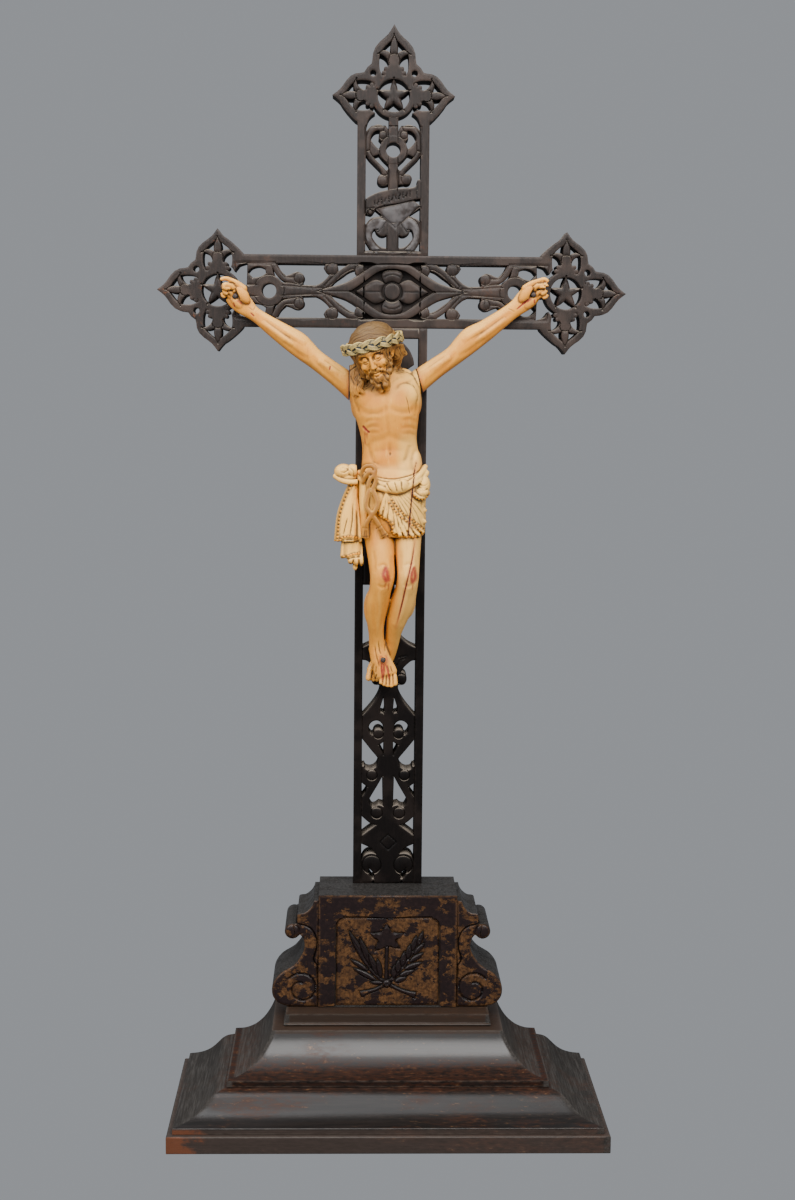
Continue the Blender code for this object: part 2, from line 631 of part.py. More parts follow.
BRACKET_FRONT = DIE_FRONT + 1.2
BRACKET_TOP = 173.6
BRACKET_EDGE = [(58.8, BRACKET_TOP), (62.0, 169.2), (67.0, 165.6), (75.9, 163.2), (76.4, 156.5)]
BRACKET_WAIST = [(74.6, 145.8), (71.2, 140.6), (71.4, 131.0), (79.2, 119.4), (91.0, 111.4), (97.2, 102.2),
                 (97.4, 92.0), (92.0, 85.2), (84.0, 82.4)]
UPPER_VOLUTE = (80.6, 148.4)
UPPER_VOLUTE_RADIUS = 6.2
VOLUTE_NECK = [(70.0, 148.0), (77.0, 155.0), (80.0, 154.4), (78.0, 143.0)]
LOWER_VOLUTE = (72.4, 98.2)
LOWER_VOLUTE_RADIUS = 11.4
LOWER_VOLUTE_PROUD = 1.0


def make_bracket(side, name):
    low = FOOT_BOARD_TOP + FIT_GAP
    inner = DIE_HALF_WIDTH + FIT_GAP
    waist = [(x, max(z, low)) for x, z in curved(BRACKET_WAIST)]
    outline = [(inner, low), (inner, BRACKET_TOP)] + curved(BRACKET_EDGE) + waist
    strokes = [(True, outline), (True, disc(UPPER_VOLUTE, UPPER_VOLUTE_RADIUS, 16)), (True, VOLUTE_NECK)]
    if side < 0:
        strokes = [(adds, flipped(o)) for adds, o in strokes]
    bracket = object_from(pierced_board(strokes, BRACKET_FRONT, BACK), name, "die_wood")
    volute = disc((side * LOWER_VOLUTE[0], LOWER_VOLUTE[1]), LOWER_VOLUTE_RADIUS, 18)
    eye = pierced_board([(True, volute)], BRACKET_FRONT - LOWER_VOLUTE_PROUD, BRACKET_FRONT + 3.0)
    add_boolean(bracket, cutter_from(eye, name + "_eye"), "UNION")
    return bracket


# The figure is built from tubes and rounded lumps that are fused into one carved solid

FACING = Vector((0.0, -1.0, 0.0))


def tube(stations, sides=12):
    """A closed tube through (place, half across, half deep) stations."""
    bm = bmesh.new()
    last = len(stations) - 1
    previous = None
    for k, (place, across, deep) in enumerate(stations):
        ahead, behind = stations[min(k + 1, last)][0], stations[max(k - 1, 0)][0]
        direction = (Vector(ahead) - Vector(behind)).normalized()
        side = direction.cross(FACING).normalized()
        front = side.cross(direction)
        matrix = Matrix((side * across, front * deep, direction)).transposed().to_4x4()
        matrix.translation = Vector(place)
        is_end = k in (0, last)
        made = bmesh.ops.create_circle(bm, segments=sides, radius=1.0, matrix=matrix, cap_ends=is_end)
        ring = list({edge for vert in made["verts"] for edge in vert.link_edges})
        if previous:
            bmesh.ops.bridge_loops(bm, edges=previous + ring)
        previous = ring
    return bm


def lump(place, radii, lean=0.0, axes=None, sides=14):
    """An ellipsoid; it leans by degrees about Y, or axes gives its frame."""
    bm = bmesh.new()
    bmesh.ops.create_uvsphere(bm, u_segments=sides, v_segments=sides // 2 + 1, radius=1.0)
    frame = axes or Matrix.Rotation(math.radians(lean), 4, "Y")
    matrix = Matrix.Translation(Vector(place)) @ frame @ Matrix.Diagonal((*radii, 1.0))
    bmesh.ops.transform(bm, matrix=matrix, verts=bm.verts)
    return bm


def even_tube(points, radius, sides=8):
    """A tube of one radius with rounded ends."""
    run = [Vector(p) for p in points]
    parts = [tube([(p, radius, radius) for p in run], sides)]
    return parts + [lump(end, (radius, radius, radius), sides=8) for end in (run[0], run[-1])]


def carve(lumps, name, voxel, triangles_kept, smoothing):
    """Fuse lumps into one solid of few faces."""
    made = object_from(joined(lumps), name, "figure_wood")
    fuse = made.modifiers.new("fuse", "REMESH")
    fuse.mode = "VOXEL"
    fuse.voxel_size = voxel * MM
    soften = made.modifiers.new("soften", "SMOOTH")
    soften.factor = 0.5
    soften.iterations = smoothing
    thin = made.modifiers.new("thin", "DECIMATE")
    thin.ratio = triangles_kept
    keep_modified(made)
    made.data.materials.clear()
    made.data.materials.append(MATERIALS["figure_wood"])
    return made


# Trunk, neck and legs, as (place, half across, half deep)
TRUNK = [((0.0, 38.0, 492.0), 24.0, 17.0), ((0.5, 38.5, 505.0), 27.0, 19.0),
         ((0.5, 39.0, 520.0), 27.0, 19.5), ((0.0, 41.0, 536.0), 25.0, 17.5),
         ((-0.7, 42.0, 550.0), 23.6, 15.5), ((-1.9, 41.5, 563.0), 22.8, 16.5),
         ((-3.0, 40.0, 578.0), 25.2, 18.6), ((-4.2, 39.5, 590.0), 27.8, 19.8),
         ((-5.2, 41.5, 601.0), 28.8, 18.6), ((-5.8, 44.0, 611.0), 26.0, 15.6),
         ((-6.5, 46.0, 619.0), 16.0, 11.0), ((-8.0, 42.0, 627.0), 9.5, 9.0),
         ((-10.5, 34.0, 634.0), 9.0, 9.0)]
FRONT_LEG = [((-12.5, 37.0, 512.0), 13.2, 16.0), ((-11.0, 33.0, 495.0), 13.2, 15.0),
             ((-9.2, 28.0, 480.0), 12.2, 13.5), ((-8.0, 22.5, 465.0), 10.8, 12.0),
             ((-7.0, 19.5, 452.0), 10.2, 11.0), ((-8.6, 23.0, 441.0), 9.2, 10.5),
             ((-11.0, 29.0, 428.0), 9.5, 10.4), ((-12.0, 34.5, 414.0), 7.7, 9.0),
             ((-11.5, 39.0, 402.0), 6.4, 7.4), ((-10.6, 42.5, 392.0), 6.8, 7.4),
             ((-9.0, 42.5, 384.0), 7.8, 7.6), ((-6.2, 40.5, 376.0), 8.8, 6.2),
             ((-2.6, 39.0, 367.5), 9.2, 4.4)]
BACK_LEG = [((13.0, 37.5, 512.0), 13.4, 16.0), ((13.2, 34.0, 495.0), 12.8, 15.0),
            ((13.8, 29.0, 480.0), 11.2, 13.2), ((14.1, 24.0, 465.0), 9.8, 11.8),
            ((14.1, 20.5, 452.0), 9.0, 10.8), ((12.8, 25.0, 441.0), 9.2, 10.2),
            ((9.7, 31.0, 428.0), 10.2, 10.4), ((5.6, 37.0, 414.0), 8.6, 9.2),
            ((3.2, 43.0, 402.0), 6.6, 7.4), ((1.8, 48.5, 392.0), 6.0, 6.8),
            ((-2.0, 52.0, 383.0), 7.4, 6.0), ((-8.0, 53.0, 372.5), 8.6, 4.8),
            ((-11.5, 53.0, 366.0), 8.2, 3.6)]
LOINCLOTH = [((0.5, 37.5, 486.0), 27.5, 20.0), ((1.0, 36.5, 496.0), 28.8, 21.6),
             ((0.5, 36.5, 510.0), 28.6, 22.6), ((0.5, 38.0, 522.0), 29.4, 22.2),
             ((1.0, 40.0, 532.0), 29.4, 20.6), ((1.5, 42.0, 540.0), 28.0, 17.5)]
MUSCLES = [((-17.5, 29.5, 598.5), (13.5, 7.5, 9.5)), ((8.0, 29.5, 600.5), (13.5, 7.5, 9.5)),
           ((-27.0, 45.0, 592.0), (7.0, 10.0, 13.0)), ((18.5, 45.0, 594.0), (6.5, 10.0, 13.0)),
           ((-1.5, 33.0, 548.0), (14.0, 9.0, 12.0)), ((-2.0, 54.0, 532.0), (20.0, 6.0, 13.0)),
           ((-6.5, 14.5, 453.0), (6.4, 6.4, 8.0)), ((14.0, 15.5, 453.0), (6.0, 6.2, 8.0)),
           ((-12.0, 50.5, 387.0), (5.6, 7.0, 6.6)), ((0.5, 54.0, 389.0), (5.4, 5.2, 6.4))]


def head_axes():
    """The head's own frame: X to the viewer's right, -Y the way the face looks, Z to the crown."""
    bow = Matrix.Rotation(math.radians(HEAD_BOW), 4, "X")
    lean = Matrix.Rotation(math.radians(-HEAD_LEAN), 4, "Y")
    turn = Matrix.Rotation(math.radians(-HEAD_TURN), 4, "Z")
    return lean @ turn @ bow


def in_head(place):
    return HEAD_CENTRE + head_axes() @ Vector(place)


# Places in the head's frame, with radii: skull, face, brow, nose, cheeks, moustache, beard, hair
HEAD_LUMPS = [((-1.0, 1.5, 7.5), (21.3, 22.8, 18.0)), ((0.0, -8.0, -5.0), (13.0, 13.0, 17.0)),
              ((0.0, -19.0, 2.6), (9.5, 3.0, 2.4)), ((0.0, -22.0, -3.5), (2.0, 3.2, 5.2)),
              ((-6.6, -16.2, -5.0), (4.2, 4.0, 3.6)), ((6.6, -16.2, -5.0), (4.2, 4.0, 3.6)),
              ((0.0, -19.6, -10.0), (6.6, 2.6, 1.6)), ((-2.8, -16.8, -18.4), (4.6, 5.4, 8.2)),
              ((2.8, -16.8, -18.4), (4.6, 5.4, 8.2)), ((0.0, -10.0, -15.0), (10.5, 9.0, 6.5)),
              ((-15.5, -1.0, -6.0), (6.0, 10.0, 14.0)), ((15.5, 3.0, -6.0), (6.5, 10.0, 13.0)),
              ((0.0, 13.0, -9.0), (16.0, 9.0, 17.0)), ((14.6, -7.0, -2.0), (2.2, 2.6, 4.2))]
SHOULDER_LOCK = [((-31.0, 26.0, 625.0), 4.4, 4.0), ((-32.0, 27.0, 615.0), 4.6, 3.8),
                 ((-30.0, 27.0, 606.0), 4.0, 3.4), ((-26.5, 26.5, 600.0), 3.0, 2.6)]
FOOT_NAIL = (-5.6, 380.5)
FRONT_TOES = [((-6.0, 38.0, 366.5), (-7.0, 37.6, 361.0), 1.8),
              ((-3.8, 37.6, 365.0), (-4.4, 37.2, 359.4), 1.8),
              ((-1.2, 37.4, 364.5), (-1.5, 37.2, 358.8), 1.8),
              ((1.4, 37.6, 364.5), (1.6, 37.4, 358.8), 2.0),
              ((4.0, 38.6, 366.0), (4.4, 38.4, 360.6), 2.5)]
BACK_TOES = [((-15.6, 51.0, 369.0), (-17.2, 49.6, 362.6), 2.7),
             ((-12.2, 51.6, 366.5), (-13.2, 50.8, 360.8), 1.9),
             ((-9.2, 52.2, 365.5), (-9.8, 51.6, 360.6), 1.8)]
BELT = [(-26.0, 32.0, 541.0), (-22.0, 22.0, 533.0), (-14.0, 16.5, 526.0), (-4.0, 14.5, 523.0),
        (6.0, 15.0, 522.5), (16.0, 17.5, 527.0), (24.0, 24.0, 534.0), (28.5, 34.0, 539.5)]
CORD_ENDS = [[(-18.0, 15.0, 522.0), (-20.0, 13.6, 512.0), (-14.0, 12.6, 503.5), (-9.5, 12.6, 494.0),
              (-6.5, 13.2, 487.0)],
             [(-15.0, 14.6, 522.0), (-11.0, 13.0, 511.0), (-13.6, 12.8, 503.0), (-19.5, 13.4, 495.0),
              (-20.6, 14.6, 484.0)]]
BOW_LOOP = [(-20.0, 18.0, 527.0), (-22.5, 18.6, 534.0), (-18.0, 19.0, 541.0), (-12.5, 18.0, 538.0),
            (-13.5, 16.6, 530.0)]
BELT_RADIUS = 3.4
CORD_RADIUS = 2.0
TUCKED_FOLDS = [((5.0, 15.5, 526.0), (10.0, 5.5, 6.0)), ((27.5, 26.0, 519.0), (5.5, 7.5, 5.5))]
PLEAT_ROOT = (-3.0, 16.0, 521.0)
PLEAT_ENDS = [(-4.0, 14.2, 500.0), (2.0, 13.4, 492.0), (8.5, 13.8, 487.0), (15.5, 15.6, 487.0),
              (22.5, 20.0, 488.5), (27.4, 27.0, 494.0), (28.6, 30.0, 506.0)]


def corpus_lumps():
    lumps = [tube(TRUNK), tube(FRONT_LEG), tube(BACK_LEG), tube(LOINCLOTH, 16), tube(SHOULDER_LOCK, 8)]
    for line, arm in ((LEFT_LINE, LEFT_ARM), (RIGHT_LINE, RIGHT_ARM)):
        root = [(line.at(s, n, y), across, deep) for s, n, y, across, deep in SHOULDER + arm[:3]]
        lumps.append(tube(root))
    lumps += [lump(place, radii) for place, radii in MUSCLES]
    lumps += [lump(in_head(place), radii, axes=head_axes()) for place, radii in HEAD_LUMPS]
    for root, tip, radius in FRONT_TOES + BACK_TOES:
        lumps += even_tube([root, tip], radius)
    lumps += even_tube(BELT, BELT_RADIUS)
    for run in CORD_ENDS + [BOW_LOOP]:
        lumps += even_tube(run, CORD_RADIUS)
    lumps += [lump(place, radii) for place, radii in TUCKED_FOLDS]
    for end in PLEAT_ENDS:
        middle = (Vector(PLEAT_ROOT) + Vector(end)) / 2
        lumps.append(tube([(PLEAT_ROOT, 1.8, 1.8), (middle, 2.2, 2.6), (end, 2.8, 3.0)], 8))
    return lumps


def box(low, high):
    """A box between two corners."""
    bm = bmesh.new()
    low, high = Vector(low), Vector(high)
    matrix = Matrix.Translation((low + high) / 2) @ Matrix.Diagonal((*(high - low), 1.0))
    bmesh.ops.create_cube(bm, size=1.0, matrix=matrix)
    return bm


def beside(seam, side):
    """The room on one side of a slanted seam, and half of the seam's gap on the other."""
    (x, y, z), lean, reach, half_height = seam
    low, high = (-FIT_GAP / 2, reach) if side > 0 else (-reach, FIT_GAP / 2)
    bm = box((low, -24.0, -half_height), (high, 24.0, half_height))
    turn = Matrix.Rotation(math.radians(-lean), 4, "Y")
    bmesh.ops.transform(bm, matrix=Matrix.Translation((x, y, z)) @ turn, verts=bm.verts)
    return bm


def rod(front, back, radius, sides=8):
    """A round rod between two places."""
    bm = bmesh.new()
    a, b = Vector(front), Vector(back)
    turn = (b - a).to_track_quat("Z", "Y").to_matrix().to_4x4()
    matrix = Matrix.Translation((a + b) / 2) @ turn
    bmesh.ops.create_cone(bm, cap_ends=True, segments=sides, radius1=radius, radius2=radius,
                          depth=(b - a).length, matrix=matrix)
    return bm


# The two arms lie along slanted lines from their seams to their nails

class ArmLine:
    """Places along an arm: a distance out along its line and one above it."""

    def __init__(self, seam, wrist):
        self.start = Vector(seam)
        self.out = (Vector(wrist) - self.start).normalized()
        self.up = Vector((-self.out.z, 0.0, self.out.x))
        if self.up.z < 0:
            self.up.negate()

    def at(self, distance, above, depth):
        point = self.start + self.out * distance + self.up * above
        return Vector((point.x, depth, point.z))


LEFT_LINE = ArmLine((-33.8, 0.0, 607.4), (-117.0, 0.0, 668.0))
RIGHT_LINE = ArmLine((21.0, 0.0, 611.0), (106.0, 0.0, 674.2))
# (place, lean in degrees, reach, half height) of the seams
LEFT_SEAM = ((-35.3, 57.0, 608.5), 0.0, 30.0, 20.0)
RIGHT_SEAM = ((22.4, 57.0, 613.0), 15.4, 30.0, 21.0)
FALL_SEAM = ((-26.6, 40.0, 515.0), 4.4, 40.0, 70.0)
# (distance, above, depth, half across, half deep)
SHOULDER = [(-26.0, -7.0, 46.0, 9.0, 9.0), (-16.0, -2.6, 46.8, 11.2, 11.2)]
LEFT_ARM = [(-6.0, -0.4, 47.5, 10.4, 10.6), (6.0, 0.0, 48.0, 9.4, 9.8), (20.0, 0.0, 48.5, 8.4, 8.8),
            (36.0, 0.0, 49.0, 8.0, 8.0), (46.0, 0.6, 49.0, 9.0, 8.0), (56.0, 1.4, 49.5, 9.8, 8.4),
            (68.0, 0.8, 50.5, 8.8, 7.8), (82.0, 0.2, 52.5, 7.2, 6.2), (94.0, 0.0, 54.2, 5.9, 5.0),
            (101.0, -0.2, 55.0, 6.0, 4.6), (109.0, 0.4, 55.5, 8.2, 4.4), (118.0, 1.6, 55.4, 9.2, 4.4),
            (125.0, 3.0, 55.4, 8.2, 4.2)]
RIGHT_ARM = [(-6.0, -0.4, 47.5, 10.0, 10.6), (6.0, 0.0, 48.0, 9.2, 9.8), (20.0, 0.0, 48.5, 8.4, 8.8),
             (36.0, -0.4, 49.0, 8.1, 8.0), (46.0, 0.6, 49.0, 9.2, 8.0), (57.0, 1.8, 49.5, 10.2, 8.4),
             (70.0, 0.8, 50.5, 8.8, 7.8), (84.0, 0.6, 52.5, 7.6, 6.4), (95.0, 0.6, 54.0, 6.8, 5.2),
             (103.0, 0.6, 55.0, 7.0, 4.8), (111.0, 1.2, 55.5, 8.6, 4.4), (119.0, 2.6, 55.4, 9.0, 4.4),
             (125.0, 4.0, 55.4, 7.6, 4.2)]
# Fingers as runs of (x, y, z); the first is the straight one
LEFT_FINGERS = [[(-127.0, 52.0, 687.0), (-132.0, 50.0, 692.5), (-141.0, 48.5, 694.4)],
                [(-130.0, 51.0, 684.0), (-136.0, 47.5, 688.0), (-139.6, 47.0, 686.4), (-136.5, 47.6, 683.4)],
                [(-133.0, 52.0, 680.0), (-139.0, 49.0, 683.0), (-140.0, 48.8, 680.4)],
                [(-134.0, 53.0, 677.0), (-140.0, 51.0, 679.6), (-139.0, 50.8, 677.4)]]
RIGHT_FINGERS = [[(115.0, 52.0, 690.0), (121.0, 50.0, 696.0), (128.6, 48.5, 696.0)],
                 [(118.5, 51.0, 687.0), (124.5, 47.5, 691.6), (128.6, 47.0, 689.6), (125.5, 47.6, 687.0)],
                 [(121.0, 52.0, 683.0), (127.0, 49.0, 686.4), (128.4, 48.8, 683.6)],
                 [(121.5, 53.0, 679.0), (127.6, 51.0, 682.4), (127.4, 50.8, 679.8)]]
FINGER_RADIUS = 2.1
# (distance, above, depth) of the ball of each thumb, and its radii
LEFT_THUMB = (110.0, 4.0, 51.0)
RIGHT_THUMB = (110.0, 5.0, 51.0)
THUMB_BALL = (8.0, 4.0, 5.0)
LEFT_NAIL = (-129.4, 679.6)
RIGHT_NAIL = (116.4, 683.2)


def arm_lumps(line, stations, fingers, thumb):
    lumps = [tube([(line.at(s, n, y), across, deep) for s, n, y, across, deep in stations], 12)]
    for run in fingers:
        lumps += even_tube(run, FINGER_RADIUS, 6)
    lean = -45.0 if line.out.x > 0 else 45.0
    return lumps + [lump(line.at(*thumb), THUMB_BALL, lean)]


# The loose bunch of cloth at the hip: its body, its puff, its folds from head to foot and its lower hem
FALL = [((-36.0, 33.0, 531.0), 9.5, 8.0), ((-33.0, 33.0, 521.0), 9.0, 9.0),
        ((-34.0, 32.0, 508.0), 11.0, 10.0), ((-34.5, 31.0, 492.0), 12.5, 10.5),
        ((-33.5, 31.0, 480.0), 13.0, 10.5), ((-31.0, 31.5, 472.0), 12.0, 9.0),
        ((-30.0, 32.0, 463.0), 10.5, 8.0), ((-28.5, 32.0, 456.0), 6.0, 4.5)]
FALL_PUFF = ((-38.0, 31.0, 537.0), (9.0, 9.5, 8.0))
FALL_FOLDS = [((-37.8, 524.0), (-44.0, 498.0), 479.0), ((-36.0, 524.0), (-38.0, 498.0), 478.0),
              ((-34.2, 524.0), (-32.0, 498.0), 480.0)]
FALL_HEM = [(-44.0, 24.0, 474.0), (-34.0, 22.0, 471.0), (-24.0, 24.0, 470.0)]


def fall_lumps():
    lumps = [tube(FALL, 12), lump(*FALL_PUFF)]
    for (root_x, root_z), (x, z), foot in FALL_FOLDS:
        run = [((root_x, 24.0, root_z), 1.6, 2.0), ((x, 20.6, z), 2.4, 2.6), ((x, 20.4, foot), 2.8, 2.8)]
        lumps.append(tube(run, 8))
    lumps.append(tube([(place, 2.4, 3.6) for place in FALL_HEM], 8))
    return lumps


CROWN_STEPS = 24
CROWN_SWELL = 0.10


def crown_ring(proud):
    """A ring around the brow whose band swells and sinks as its strands cross."""
    bm = bmesh.new()
    lean = Matrix.Rotation(math.radians(-HEAD_LEAN), 4, "Y")
    bow = Matrix.Rotation(math.radians(CROWN_BOW), 4, "X")
    frame = Matrix.Translation(CROWN_CENTRE) @ lean @ bow
    upright = Matrix.Rotation(math.radians(90.0), 4, "X")
    previous = first = None
    for k in range(CROWN_STEPS):
        angle = 2 * math.pi * k / CROWN_STEPS
        swell = 1.0 + CROWN_SWELL * (k % 2)
        turn = Matrix.Rotation(angle, 4, "Z") @ Matrix.Translation((CROWN_RADIUS, 0.0, 0.0))
        thickness, height = CROWN_HALF_THICKNESS * swell + proud, CROWN_HALF_HEIGHT * swell + proud
        matrix = frame @ turn @ upright @ Matrix.Diagonal((thickness, height, 1.0, 1.0))
        made = bmesh.ops.create_circle(bm, segments=6, radius=1.0, matrix=matrix)
        ring = list({edge for vert in made["verts"] for edge in vert.link_edges})
        if previous:
            bmesh.ops.bridge_loops(bm, edges=previous + ring)
        first = first or ring
        previous = ring
    bmesh.ops.bridge_loops(bm, edges=previous + first)
    bmesh.ops.recalc_face_normals(bm, faces=bm.faces)
    return bm


HAND_NAIL_FRONT = 48.6
FOOT_NAIL_FRONT = 30.4
NAIL_HEAD_HEIGHT = 2.6
NAIL_DEPTH = 8.0


def nail(place, front):
    """A forged nail that comes to the front at a place (x, z) and is driven into the wood behind."""
    x, z = place
    tip = CROSS_FRONT + NAIL_DEPTH
    bm = bmesh.new()
    middle, under = front + NAIL_HEAD_HEIGHT / 2, front + NAIL_HEAD_HEIGHT
    profile = [(0.0, front), (NAIL_HEAD_RADIUS * 0.7, front), (NAIL_HEAD_RADIUS, middle),
               (NAIL_HEAD_RADIUS * 0.9, under), (NAIL_SHANK_RADIUS, under), (NAIL_SHANK_RADIUS, tip),
               (0.0, tip)]
    verts = [bm.verts.new((x + r, y, z)) for r, y in profile]
    edges = [bm.edges.new(pair) for pair in zip(verts, verts[1:])]
    bmesh.ops.spin(bm, geom=verts + edges, cent=(x, 0.0, z), axis=(0.0, 1.0, 0.0), angle=math.tau, steps=8,
                   use_merge=True)
    bmesh.ops.remove_doubles(bm, verts=bm.verts, dist=0.01)
    bmesh.ops.recalc_face_normals(bm, faces=bm.faces)
    return bm


def bore(place, front, name):
    """The hole that a nail has made, a little wider than its shank, with room for its head."""
    x, z = place
    tip = CROSS_FRONT + NAIL_DEPTH + FIT_GAP
    shank = rod((x, front - 1.0, z), (x, tip, z), NAIL_SHANK_RADIUS + FIT_GAP)
    cutter = cutter_from(shank, name)
    under = front + NAIL_HEAD_HEIGHT + FIT_GAP
    seat = rod((x, front - 4.0, z), (x, under, z), NAIL_HEAD_RADIUS + FIT_GAP)
    add_boolean(cutter, cutter_from(seat, name + "_seat"), "UNION")
    return cutter


# (size of the fusing grid, share of the triangles kept, smoothing steps)
CORPUS_CARVING = (2.0, 0.066, 3)
ARM_CARVING = (1.5, 0.041, 2)
FALL_CARVING = (2.0, 0.074, 2)


def make_figure(shaft, beam):
    corpus = carve(corpus_lumps(), "corpus", *CORPUS_CARVING)
    left = arm_lumps(LEFT_LINE, LEFT_ARM, LEFT_FINGERS, LEFT_THUMB)
    right = arm_lumps(RIGHT_LINE, RIGHT_ARM, RIGHT_FINGERS, RIGHT_THUMB)
    arm_left = carve(left, "corpus_arm_left", *ARM_CARVING)
    arm_right = carve(right, "corpus_arm_right", *ARM_CARVING)
    fall = carve(fall_lumps(), "loincloth_fall", *FALL_CARVING)
    object_from(crown_ring(0.0), "crown_of_thorns", "crown_paint")
    for seam, trunk_side, piece, name in ((LEFT_SEAM, -1, arm_left, "seam_left"),
                                          (RIGHT_SEAM, 1, arm_right, "seam_right"),
                                          (FALL_SEAM, -1, fall, "seam_fall")):
        add_boolean(corpus, cutter_from(beside(seam, trunk_side), name + "_outside"), "DIFFERENCE")
        add_boolean(piece, cutter_from(beside(seam, -trunk_side), name + "_inside"), "DIFFERENCE")
    behind = box((-200.0, CROSS_FRONT - FIT_GAP, 340.0), (200.0, CROSS_FRONT + 30.0, 720.0))
    wall = cutter_from(behind, "cross_face")
    for target in (corpus, arm_left, arm_right, fall):
        add_boolean(target, wall, "DIFFERENCE")
    add_boolean(corpus, cutter_from(crown_ring(FIT_GAP * 1.5), "crown_groove"), "DIFFERENCE")
    for name, place, front, holders in (("nail_hand_left", LEFT_NAIL, HAND_NAIL_FRONT, (arm_left, beam)),
                                        ("nail_hand_right", RIGHT_NAIL, HAND_NAIL_FRONT, (arm_right, beam)),
                                        ("nail_feet", FOOT_NAIL, FOOT_NAIL_FRONT, (corpus, shaft))):
        object_from(nail(place, front), name, "nail_iron")
        hole = bore(place, front, name + "_bore")
        for holder in holders:
            add_boolean(holder, hole, "DIFFERENCE")


make_plinth()
make_die()
make_bracket(-1, "scroll_bracket_left")
make_bracket(1, "scroll_bracket_right")
SHAFT = make_shaft()
BEAM = make_crossbar()
make_upper_arm()
make_figure(SHAFT, BEAM)
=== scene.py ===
"""Carved wooden crucifix on a moulded plinth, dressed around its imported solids.

The boards, the die and the brackets are carved over the solids' outlines, the plinth is drawn with
full profiles, and the figure is modelled over the same forms as its solid. Sizes in the code are in
millimetres unless a name says metres; +Z is up and -Y faces the viewer.
"""

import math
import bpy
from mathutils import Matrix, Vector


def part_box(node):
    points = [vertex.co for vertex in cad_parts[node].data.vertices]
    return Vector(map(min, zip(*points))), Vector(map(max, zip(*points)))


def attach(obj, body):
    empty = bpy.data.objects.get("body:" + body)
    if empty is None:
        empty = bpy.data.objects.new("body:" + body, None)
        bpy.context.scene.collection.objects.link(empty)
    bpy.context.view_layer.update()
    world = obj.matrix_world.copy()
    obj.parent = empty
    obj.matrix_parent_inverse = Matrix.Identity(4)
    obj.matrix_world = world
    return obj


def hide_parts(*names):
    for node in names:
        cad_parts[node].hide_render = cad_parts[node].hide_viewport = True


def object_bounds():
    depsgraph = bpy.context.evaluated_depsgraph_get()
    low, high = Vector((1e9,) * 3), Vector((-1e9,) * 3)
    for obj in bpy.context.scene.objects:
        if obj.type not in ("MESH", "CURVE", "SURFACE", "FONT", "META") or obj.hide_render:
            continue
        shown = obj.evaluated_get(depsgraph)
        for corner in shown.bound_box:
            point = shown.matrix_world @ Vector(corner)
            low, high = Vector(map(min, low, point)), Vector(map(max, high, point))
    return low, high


bl_info = {
    "name": "Carved Altar Crucifix",
    "version": (1, 0, 0),
    "blender": (4, 5, 0),
    "location": "View3D > Sidebar > Crucifix",
    "description": "Builds the finished pieces of a carved altar crucifix around its fixed frame",
    "category": "Object",
}

import bmesh
import bpy
import numpy as np
from bpy.props import FloatProperty, FloatVectorProperty, PointerProperty
from mathutils import Matrix, Vector, geometry, kdtree

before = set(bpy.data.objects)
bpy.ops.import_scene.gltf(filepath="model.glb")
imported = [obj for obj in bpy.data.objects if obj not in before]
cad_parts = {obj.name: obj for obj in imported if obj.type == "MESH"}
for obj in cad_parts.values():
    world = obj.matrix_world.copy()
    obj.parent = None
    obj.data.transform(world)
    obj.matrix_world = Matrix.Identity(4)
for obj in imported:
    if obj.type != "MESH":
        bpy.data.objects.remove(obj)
CAD_BOX = [list(corner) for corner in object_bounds()]

MM = 0.001
GAP = 0.3
SLAB_LOW, SLAB_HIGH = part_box("base_slab")
SLAB_WIDTH = (SLAB_HIGH.x - SLAB_LOW.x) / MM
SLAB_DEPTH = (SLAB_HIGH.y - SLAB_LOW.y) / MM
BACK = SLAB_HIGH.y / MM
CROSS_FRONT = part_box("cross_shaft")[0].y / MM
DIE_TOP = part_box("die_block")[1].z / MM
TOTAL_HEIGHT = CAD_BOX[1][2] / MM
ARM_HALF = 29.6
RAIL = 7.3
BEAM_MIDDLE = 685.0
END_RING_X = 144.5
TOP_RING_Z = 843.5
SIDE_TIP = 50.2
TOP_TIP = TOTAL_HEIGHT - TOP_RING_Z


# What a user would change

class CrucifixSizes(bpy.types.PropertyGroup):
    board_grid: FloatProperty(
        name="Board Carving Grid", description="Spacing of the points that carve the pierced boards",
        default=0.0009, min=0.0004, max=0.004, subtype="DISTANCE", unit="LENGTH")
    die_grid: FloatProperty(
        name="Die Carving Grid", description="Spacing of the points that carve the die and its brackets",
        default=0.0008, min=0.0004, max=0.004, subtype="DISTANCE", unit="LENGTH")
    figure_grid: FloatProperty(
        name="Figure Grid", description="Size of the grid that fuses the trunk, head and legs",
        default=0.00066, min=0.0005, max=0.004, subtype="DISTANCE", unit="LENGTH")
    hand_grid: FloatProperty(
        name="Hand Grid", description="Size of the grid that fuses the arms and hands",
        default=0.00055, min=0.0004, max=0.004, subtype="DISTANCE", unit="LENGTH")
    crown_grid: FloatProperty(
        name="Crown Grid", description="Size of the grid that fuses the crown's strands",
        default=0.0004, min=0.0003, max=0.002, subtype="DISTANCE", unit="LENGTH")
    worn_edge: FloatProperty(
        name="Worn Edge", description="Width of the rounded, rubbed edge of carved boards",
        default=0.0009, min=0.0002, max=0.003, subtype="DISTANCE", unit="LENGTH")
    profile_step: FloatProperty(
        name="Profile Step", description="Spacing of the rows in the curves of the plinth's mouldings",
        default=0.0012, min=0.0005, max=0.006, subtype="DISTANCE", unit="LENGTH")


